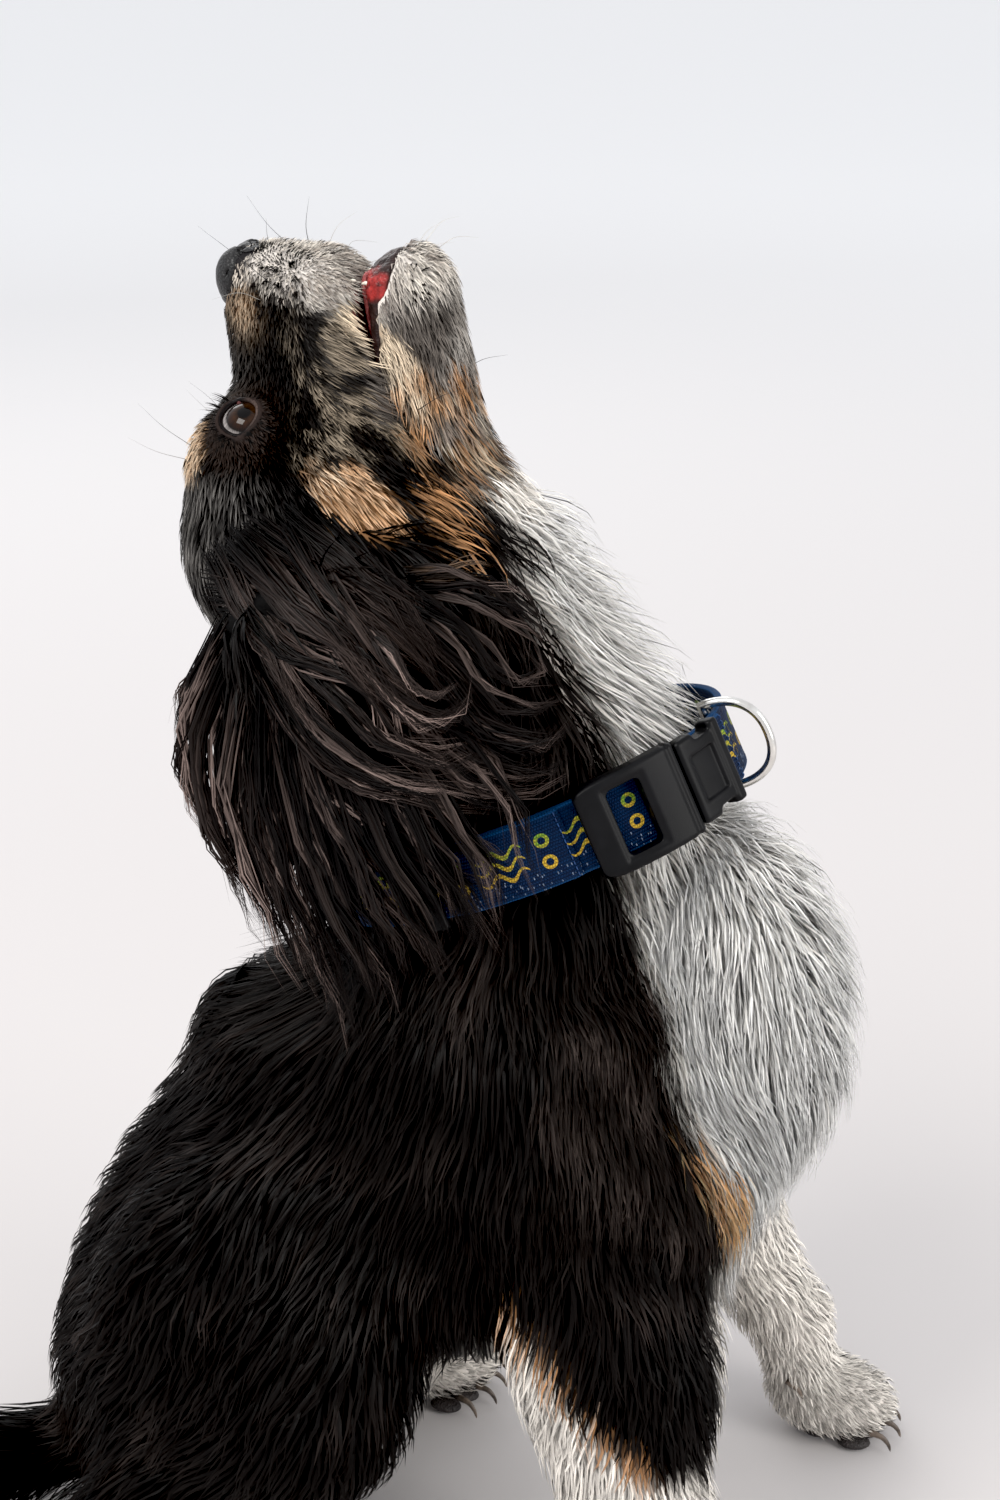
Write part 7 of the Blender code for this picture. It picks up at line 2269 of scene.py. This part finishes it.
def webbing_material():
    """Navy webbing: ribs across and a herringbone of threads, pale flecks low on it, a lighter woven edge, and a band of small marigold motifs."""
    m, nt, b = nodes_of("webbing_navy")
    at = add(nt, "ShaderNodeAttribute", attribute_name="along")
    sp = add(nt, "ShaderNodeSeparateXYZ")
    nt.links.new(at.outputs["Vector"], sp.inputs["Vector"])

    def math_(op, a, bb=None, c=None):
        n = add(nt, "ShaderNodeMath", operation=op)
        for i, v in enumerate((a, bb, c)):
            if v is None:
                continue
            if isinstance(v, (int, float)):
                n.inputs[i].default_value = float(v)
            else:
                nt.links.new(v, n.inputs[i])
        return n.outputs["Value"]

    U, H = sp.outputs["X"], sp.outputs["Y"]          # millimetres along and across
    # threads: rows 1.15 mm apart, slanted alternately
    row = math_("MULTIPLY", H, 1.0 / 1.15)
    rowi = math_("FLOOR", row)
    par = math_("MULTIPLY", math_("FLOORED_MODULO", rowi, 2.0), 2.0)
    sgn = math_("SUBTRACT", par, 1.0)
    fr = math_("SUBTRACT", row, rowi)
    sl = math_("MULTIPLY_ADD", math_("MULTIPLY", fr, sgn), 0.55, math_("MULTIPLY", U, 1.0 / 0.95))
    th = math_("SINE", math_("MULTIPLY", sl, 2 * math.pi))
    rib = math_("SINE", math_("MULTIPLY", fr, math.pi))
    hgt = math_("MULTIPLY", math_("MULTIPLY_ADD", th, 0.35, 0.65), rib)
    no = add(nt, "ShaderNodeTexNoise")
    no.inputs["Scale"].default_value = 0.45
    no.inputs["Detail"].default_value = 5.0
    nt.links.new(at.outputs["Vector"], no.inputs["Vector"])
    # navy and blue
    mx = add(nt, "ShaderNodeMix", data_type="RGBA")
    mx.inputs["A"].default_value = (0.002, 0.009, 0.034, 1)
    mx.inputs["B"].default_value = (0.003, 0.024, 0.076, 1)
    fac = math_("MULTIPLY_ADD", no.outputs["Fac"], 1.4, math_("MULTIPLY_ADD", hgt, 0.5, -0.65))
    nt.links.new(fac, mx.inputs["Factor"])
    # paler woven selvedges
    edge = math_("SMOOTH_MIN", 1.0, math_("MULTIPLY", math_("MAXIMUM", math_("SUBTRACT", math_("ABSOLUTE", H), 11.2), 0.0), 1.2), 0.1)
    mx2 = add(nt, "ShaderNodeMix", data_type="RGBA")
    mx2.inputs["B"].default_value = (0.005, 0.044, 0.130, 1)
    nt.links.new(mx.outputs["Result"], mx2.inputs["A"])
    nt.links.new(edge, mx2.inputs["Factor"])
    # pale flecks on the lower part
    vo = add(nt, "ShaderNodeTexVoronoi")
    vo.inputs["Scale"].default_value = 0.52
    vo.inputs["Randomness"].default_value = 1.0
    st = add(nt, "ShaderNodeMapping")
    st.inputs["Scale"].default_value = (1.9, 0.75, 1.0)
    nt.links.new(at.outputs["Vector"], st.inputs["Vector"])
    nt.links.new(st.outputs["Vector"], vo.inputs["Vector"])
    fl = math_("LESS_THAN", vo.outputs["Distance"], 0.20)
    low = math_("LESS_THAN", H, -5.2)
    fleck = math_("MULTIPLY", math_("MULTIPLY", fl, low), 0.55)
    mx3 = add(nt, "ShaderNodeMix", data_type="RGBA")
    mx3.inputs["B"].default_value = (0.34, 0.42, 0.55, 1)
    nt.links.new(mx2.outputs["Result"], mx3.inputs["A"])
    nt.links.new(fleck, mx3.inputs["Factor"])
    # motifs: every 31 mm a stack of three waves, and between them a pair of rings
    pm = math_("SUBTRACT", math_("FLOORED_MODULO", math_("ADD", U, 8.0), 31.0), 15.5)
    wavey = math_("MULTIPLY", math_("SINE", math_("MULTIPLY", pm, 0.72)), 1.5)
    hh = math_("SUBTRACT", math_("SUBTRACT", H, wavey), 0.4)
    band = math_("ABSOLUTE", math_("SUBTRACT", math_("FLOORED_MODULO", math_("ADD", hh, 2.1), 4.2), 2.1))
    wl = math_("LESS_THAN", band, math_("MULTIPLY_ADD", math_("ABSOLUTE", pm), -0.085, 1.02))
    inb = math_("MULTIPLY", math_("LESS_THAN", math_("ABSOLUTE", hh), 6.3), math_("LESS_THAN", math_("ABSOLUTE", pm), 8.5))
    waves = math_("MULTIPLY", wl, inb)
    pr = math_("SUBTRACT", math_("FLOORED_MODULO", math_("ADD", U, 23.5), 31.0), 15.5)
    hr = math_("SUBTRACT", math_("ABSOLUTE", math_("SUBTRACT", H, 0.4)), 3.9)
    rd = math_("SQRT", math_("ADD", math_("MULTIPLY", pr, pr), math_("MULTIPLY", hr, hr)))
    rings = math_("LESS_THAN", math_("ABSOLUTE", math_("SUBTRACT", rd, 1.9)), 0.62)
    mot = math_("MAXIMUM", waves, rings)
    gy = add(nt, "ShaderNodeMix", data_type="RGBA")
    gy.inputs["A"].default_value = (0.62, 0.40, 0.035, 1)
    gy.inputs["B"].default_value = (0.20, 0.36, 0.030, 1)
    nt.links.new(math_("MULTIPLY_ADD", no.outputs["Fac"], 2.6, math_("MULTIPLY_ADD", H, 0.10, -1.15)), gy.inputs["Factor"])
    mx4 = add(nt, "ShaderNodeMix", data_type="RGBA")
    nt.links.new(mx3.outputs["Result"], mx4.inputs["A"])
    nt.links.new(gy.outputs["Result"], mx4.inputs["B"])
    nt.links.new(math_("MULTIPLY", mot, math_("MULTIPLY_ADD", hgt, 0.35, 0.62)), mx4.inputs["Factor"])
    # painted shade: the colour is darkened in the valleys between the threads
    dk = math_("MULTIPLY_ADD", hgt, 0.55, 0.62)
    vm = add(nt, "ShaderNodeVectorMath", operation="SCALE")
    nt.links.new(mx4.outputs["Result"], vm.inputs[0])
    nt.links.new(dk, vm.inputs["Scale"])
    nt.links.new(vm.outputs["Vector"], b.inputs["Base Color"])
    rough_range(nt, b, no.outputs["Fac"], 0.55, 0.8)
    bump(nt, b, hgt, 0.8, 0.0004)
    b.inputs["Specular IOR Level"].default_value = 0.12
    b.inputs["Sheen Weight"].default_value = 0.02
    b.inputs["Sheen Roughness"].default_value = 0.5
    return m


def strap_piece():
    """The strap: rounded woven edges with a stitched rib at the top; its double layers are added after it."""
    prof = []
    w, t = STRAP_W / 2.0, T2
    hs = np.linspace(-w + 0.9, w - 0.9, 13)
    for h in hs:
        prof.append((t - 0.10 + 0.10 * (abs(h) > 10.5), h))
    for a in np.linspace(0, 180, 7)[1:-1]:
        prof.append((math.cos(math.radians(a)) * t, w - 0.9 + 0.9 * math.sin(math.radians(a))))
    for h in hs[::-1]:
        prof.append((-t, h))
    for a in np.linspace(180, 360, 7)[1:-1]:
        prof.append((math.cos(math.radians(a)) * t, -w + 0.9 + 0.9 * math.sin(math.radians(a))))
    prof = np.array(prof)
    n = 360
    phi = np.arange(n) * 2 * math.pi / n
    sp = np.hypot(STRAP_A * np.sin(phi), STRAP_B * np.cos(phi)) * 2 * math.pi / n
    s = np.concatenate([[0], np.cumsum(sp)[:-1]])
    PH, R = np.meshgrid(phi, prof[:, 0], indexing="ij")
    H = np.broadcast_to(prof[:, 1], PH.shape)
    S = np.broadcast_to(s[:, None], PH.shape)
    ripple = 0.10 * np.sin(S * 2 * math.pi / 1.9) * (np.abs(H) > 11.0)
    V = ring_pt(PH, R + ripple, H + 0.0).reshape(-1, 3)
    k = len(prof)
    i, j = np.meshgrid(np.arange(n), np.arange(k), indexing="ij")
    i2, j2 = (i + 1) % n, (j + 1) % k
    Q = np.stack([i * k + j, i * k + j2, i2 * k + j2, i2 * k + j], -1).reshape(-1, 4)
    Q = outward(V - V.mean(0), Q)
    al = np.stack([S, H, R], -1).reshape(-1, 3)
    return V, Q, al


M_WEB = webbing_material()
V, Q, al = strap_piece()
o = piece("strap", V, Q, M_WEB, replaces=("collar_strap",))
put_vector(o.data, "along", al)
# second layers: stitched back on itself beside the buckle, and round the ring's bar
lay, laya, n0 = [], [], 0
for p0, p1, r0, hw, th in ((66.0, 99.0, T2 + 1.05, STRAP_W / 2 - 0.5, 0.85), (6.6, 14.6, T2 + 1.05, STRAP_W / 2 - 0.5, 0.85)):
    n = 40
    phi = np.radians(np.linspace(p0, p1, n))
    prof = np.array([(r0 - th, -hw), (r0 + th * 0.6, -hw), (r0 + th, -hw + 0.7), (r0 + th, -hw * 0.5), (r0 + th, 0), (r0 + th, hw * 0.5), (r0 + th, hw - 0.7), (r0 + th * 0.6, hw), (r0 - th, hw)])
    PH, R = np.meshgrid(phi, prof[:, 0], indexing="ij")
    H = np.broadcast_to(prof[:, 1], PH.shape)
    fall = np.clip(np.minimum(np.arange(n), n - 1 - np.arange(n)) / 2.0, 0, 1)[:, None]
    R = np.where(R > r0, r0 - th + (R - r0 + th) * (0.35 + 0.65 * fall), R)
    V = ring_pt(PH, R, H).reshape(-1, 3)
    k = len(prof)
    i, j = np.meshgrid(np.arange(n - 1), np.arange(k), indexing="ij")
    j2 = (j + 1) % k
    F = np.stack([i * k + j, i * k + j2, (i + 1) * k + j2, (i + 1) * k + j], -1).reshape(-1, 4)
    T3 = np.concatenate([F[:, [0, 1, 2]], F[:, [0, 2, 3]]])
    caps = []
    for base in (0, (n - 1) * k):
        for j in range(1, k - 1):
            t3 = (base, base + j, base + j + 1)
            caps.append(t3 if base == 0 else t3[::-1])
    T3 = np.concatenate([T3, np.array(caps)])
    vol_fix = outward(V - V.mean(0), T3)
    lay.append((V, vol_fix))
    s = np.interp(phi, np.arange(361) * 2 * math.pi / 360, np.concatenate([[0], np.cumsum(np.hypot(STRAP_A * np.sin(np.radians(np.arange(360))), STRAP_B * np.cos(np.radians(np.arange(360)))) * math.pi / 180)]))
    laya.append(np.stack([np.broadcast_to(s[:, None], PH.shape), H, R], -1).reshape(-1, 3))
V, F = joined(lay)
o = piece("strap_fold", V, F, M_WEB)
put_vector(o.data, "along", np.concatenate(laya))
# stitches across the folds
st = []
for p in (15.2, 7.4, 67.2, 97.6):
    for h in np.arange(-11.0, 11.1, 2.0):
        q = ring_pt(np.radians(np.array([p, p, p])), np.array([T2 + 1.7, T2 + 2.25, T2 + 1.7]), np.array([h - 0.75, h, h + 0.75]))
        C3, _ = spline(q, 6)
        st.append(tube(C3, 0.24, 6, up=CX))
V, F = joined(st)
m, nt, b = nodes_of("thread_blue")
tc, no = noise_colour(nt, b, (0.004, 0.02, 0.08), (0.012, 0.06, 0.19), 900.0)
rough_range(nt, b, no.outputs["Fac"], 0.5, 0.7)
bump(nt, b, no.outputs["Fac"], 0.5, 0.0002)
piece("stitches", V, F, m)
log("collar")


# ------------------------------------------------------------------ the skin as a piece
def skin_material():
    """Bare skin under the coat: its colour from the markings, with painted shade among the roots, pores and fine
    creases.
    """
    m, nt, b = nodes_of("skin")
    col = add(nt, "ShaderNodeAttribute", attribute_name="Col")
    tc = add(nt, "ShaderNodeTexCoord")
    no = add(nt, "ShaderNodeTexNoise")
    no.inputs["Scale"].default_value = 420.0
    no.inputs["Detail"].default_value = 4.0
    nt.links.new(tc.outputs["Object"], no.inputs["Vector"])
    mr = add(nt, "ShaderNodeMapRange")
    mr.inputs["To Min"].default_value = 0.7
    mr.inputs["To Max"].default_value = 1.3
    nt.links.new(no.outputs["Fac"], mr.inputs["Value"])
    vm = add(nt, "ShaderNodeVectorMath", operation="SCALE")
    nt.links.new(col.outputs["Color"], vm.inputs[0])
    nt.links.new(mr.outputs["Result"], vm.inputs["Scale"])
    nt.links.new(vm.outputs["Vector"], b.inputs["Base Color"])
    vo = add(nt, "ShaderNodeTexVoronoi")
    vo.inputs["Scale"].default_value = 900.0
    nt.links.new(tc.outputs["Object"], vo.inputs["Vector"])
    bp = add(nt, "ShaderNodeBump")
    bp.inputs["Strength"].default_value = 0.4
    bp.inputs["Distance"].default_value = 0.0003
    nt.links.new(vo.outputs["Distance"], bp.inputs["Height"])
    nt.links.new(bp.outputs["Normal"], b.inputs["Normal"])
    rough = add(nt, "ShaderNodeMapRange")
    rough.inputs["To Min"].default_value = 0.55
    rough.inputs["To Max"].default_value = 0.75
    nt.links.new(no.outputs["Fac"], rough.inputs["Value"])
    nt.links.new(rough.outputs["Result"], b.inputs["Roughness"])
    b.inputs["Specular IOR Level"].default_value = 0.12
    return m


skin = mesh_from("skin", SV, SQ)
rc, tcol, wt = markings(SV, 0.6)
L = head_local(SV)
A = L.copy()
A[:, 1] = np.abs(A[:, 1])
# painted shade: the skin takes the hair's root colour darkened, standing in for the shadow among the roots
scol = rc * 0.55
scol = mix(scol, np.array([0.80, 0.74, 0.68]), wt)
gap, rr_ = lid_gap(L)
near_eye = ramp(0.34 - gap, 0.0, 0.26) * (rr_ < EYE_R + 8)
scol = mix(scol, np.array([0.020, 0.013, 0.011]), near_eye)
lm = ramp(leather_mask(L), -0.02, 0.05)
lm = np.maximum(lm, ramp(leather_mask(L), -0.42, -0.20) * (L[:, 0] > 40))
scol = mix(scol, np.array([0.012, 0.011, 0.012]), lm)
lp = ramp(lip_mask(L), -0.05, 0.12) * (L[:, 0] > 20)
scol = mix(scol, np.array([0.05, 0.022, 0.02]), lp)
xm, am, zm = L[:, 0], A[:, 1], L[:, 2]
inside = (np.abs(zm + 26.4 - 0.075 * (xm - 34.0)) < np.clip((xm - 30) * 0.055, 0.3, 2.0) + 1.4) & (xm > 26)
scol = mix(scol, np.array([0.15, 0.035, 0.032]), ramp(16.0 - am, -2, 2) * inside)
put_colour(skin.data, "Col", scol)
skin.data.materials.append(skin_material())
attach(skin, "root")
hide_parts("head", "lower_jaw", "nose", "neck", "trunk", "tail", "ear_left", "ear_right", "foreleg_left", "foreleg_right", "forepaw_left", "forepaw_right",
            "hindleg_left", "hindleg_right", "hind_foot_left", "hind_foot_right")

# ------------------------------------------------------------------ floor, light and camera
def stage_material(name, near, far, rough):
    """A pale studio floor, darker near the dog and paling away from it: partly the cloth's own pinkish colour, partly
    painted shade round the dog.
    """
    m, nt, b = nodes_of(name)
    tc = add(nt, "ShaderNodeTexCoord")
    ln = add(nt, "ShaderNodeVectorMath", operation="LENGTH")
    nt.links.new(tc.outputs["Object"], ln.inputs[0])
    mr = add(nt, "ShaderNodeMapRange", interpolation_type="SMOOTHSTEP")
    mr.inputs["From Min"].default_value = 0.2
    mr.inputs["From Max"].default_value = 3.6
    nt.links.new(ln.outputs["Value"], mr.inputs["Value"])
    mx = add(nt, "ShaderNodeMix", data_type="RGBA")
    mx.inputs["A"].default_value = (*near, 1.0)
    mx.inputs["B"].default_value = (*far, 1.0)
    nt.links.new(mr.outputs["Result"], mx.inputs["Factor"])
    nt.links.new(mx.outputs["Result"], b.inputs["Base Color"])
    no = add(nt, "ShaderNodeTexNoise")
    no.inputs["Scale"].default_value = 3.0
    r = add(nt, "ShaderNodeMapRange")
    r.inputs["To Min"].default_value = rough - 0.05
    r.inputs["To Max"].default_value = rough + 0.05
    nt.links.new(no.outputs["Fac"], r.inputs["Value"])
    nt.links.new(r.outputs["Result"], b.inputs["Roughness"])
    b.inputs["Specular IOR Level"].default_value = 0.1
    return m


me = bpy.data.meshes.new("floor")
bm = bmesh.new()
bmesh.ops.create_grid(bm, x_segments=2, y_segments=2, size=40.0)
bm.to_mesh(me)
bm.free()
floor = bpy.data.objects.new("floor", me)
bpy.context.scene.collection.objects.link(floor)
me.materials.append(stage_material("floor_pale", (0.60, 0.575, 0.57), (0.88, 0.88, 0.884), 0.75))
floor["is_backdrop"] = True

world = bpy.data.worlds.new("studio")
bpy.context.scene.world = world
world.use_nodes = True
bg = world.node_tree.nodes["Background"]
bg.inputs["Color"].default_value = (0.96, 0.97, 1.0, 1.0)
bg.inputs["Strength"].default_value = 0.98


def area(name, loc, target, size, power, col=(1, 1, 1)):
    d = bpy.data.lights.new(name, "AREA")
    d.shape = "RECTANGLE"
    d.size, d.size_y = size
    d.energy = power
    d.color = col
    o = bpy.data.objects.new(name, d)
    bpy.context.scene.collection.objects.link(o)
    o.location = loc
    o.rotation_euler = (Vector(target) - Vector(loc)).to_track_quat("-Z", "Y").to_euler()
    return o


area("key", (-0.55, -1.15, 1.75), (0.05, 0.0, 0.30), (0.9, 0.7), 26.0, (1.0, 0.98, 0.95))
area("side", (1.7, -0.5, 0.9), (0.1, 0.0, 0.25), (0.8, 1.2), 17.0, (1.0, 0.985, 0.955))
area("back", (-0.8, 1.5, 1.3), (0.0, 0.0, 0.3), (1.2, 0.8), 6.0, (1.0, 0.99, 0.97))

CAM_A, CAM_E, CAM_D = math.radians(15.0), math.radians(22.0), 0.850
cam_t = (np.array([0.0, 0.0, 338.0]) + SHIFT) / 1000.0
cam_b = np.array([math.sin(CAM_A) * math.cos(CAM_E), -math.cos(CAM_A) * math.cos(CAM_E), math.sin(CAM_E)])
cd = bpy.data.cameras.new("camera")
cd.sensor_width = 36.0
cd.lens = 2416.0 * 36.0 / 1500.0
cd.clip_start = 0.02
cam = bpy.data.objects.new("camera", cd)
bpy.context.scene.collection.objects.link(cam)
cam.location = cam_t + cam_b * CAM_D
cam.rotation_euler = Vector(cam_b).to_track_quat("Z", "Y").to_euler()
bpy.context.scene.camera = cam
vs = bpy.context.scene.view_settings
vs.view_transform = "Standard"
vs.use_curve_mapping = True
vs.curve_mapping.black_level = (0.006, 0.006, 0.006)
vs.curve_mapping.update()

lo, hi = CAD_BOX
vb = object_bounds()


def plain(box):
    return [[round(float(v), 5) for v in p] for p in box]


log("boxes", plain(CAD_BOX), plain(vb))
log("done")
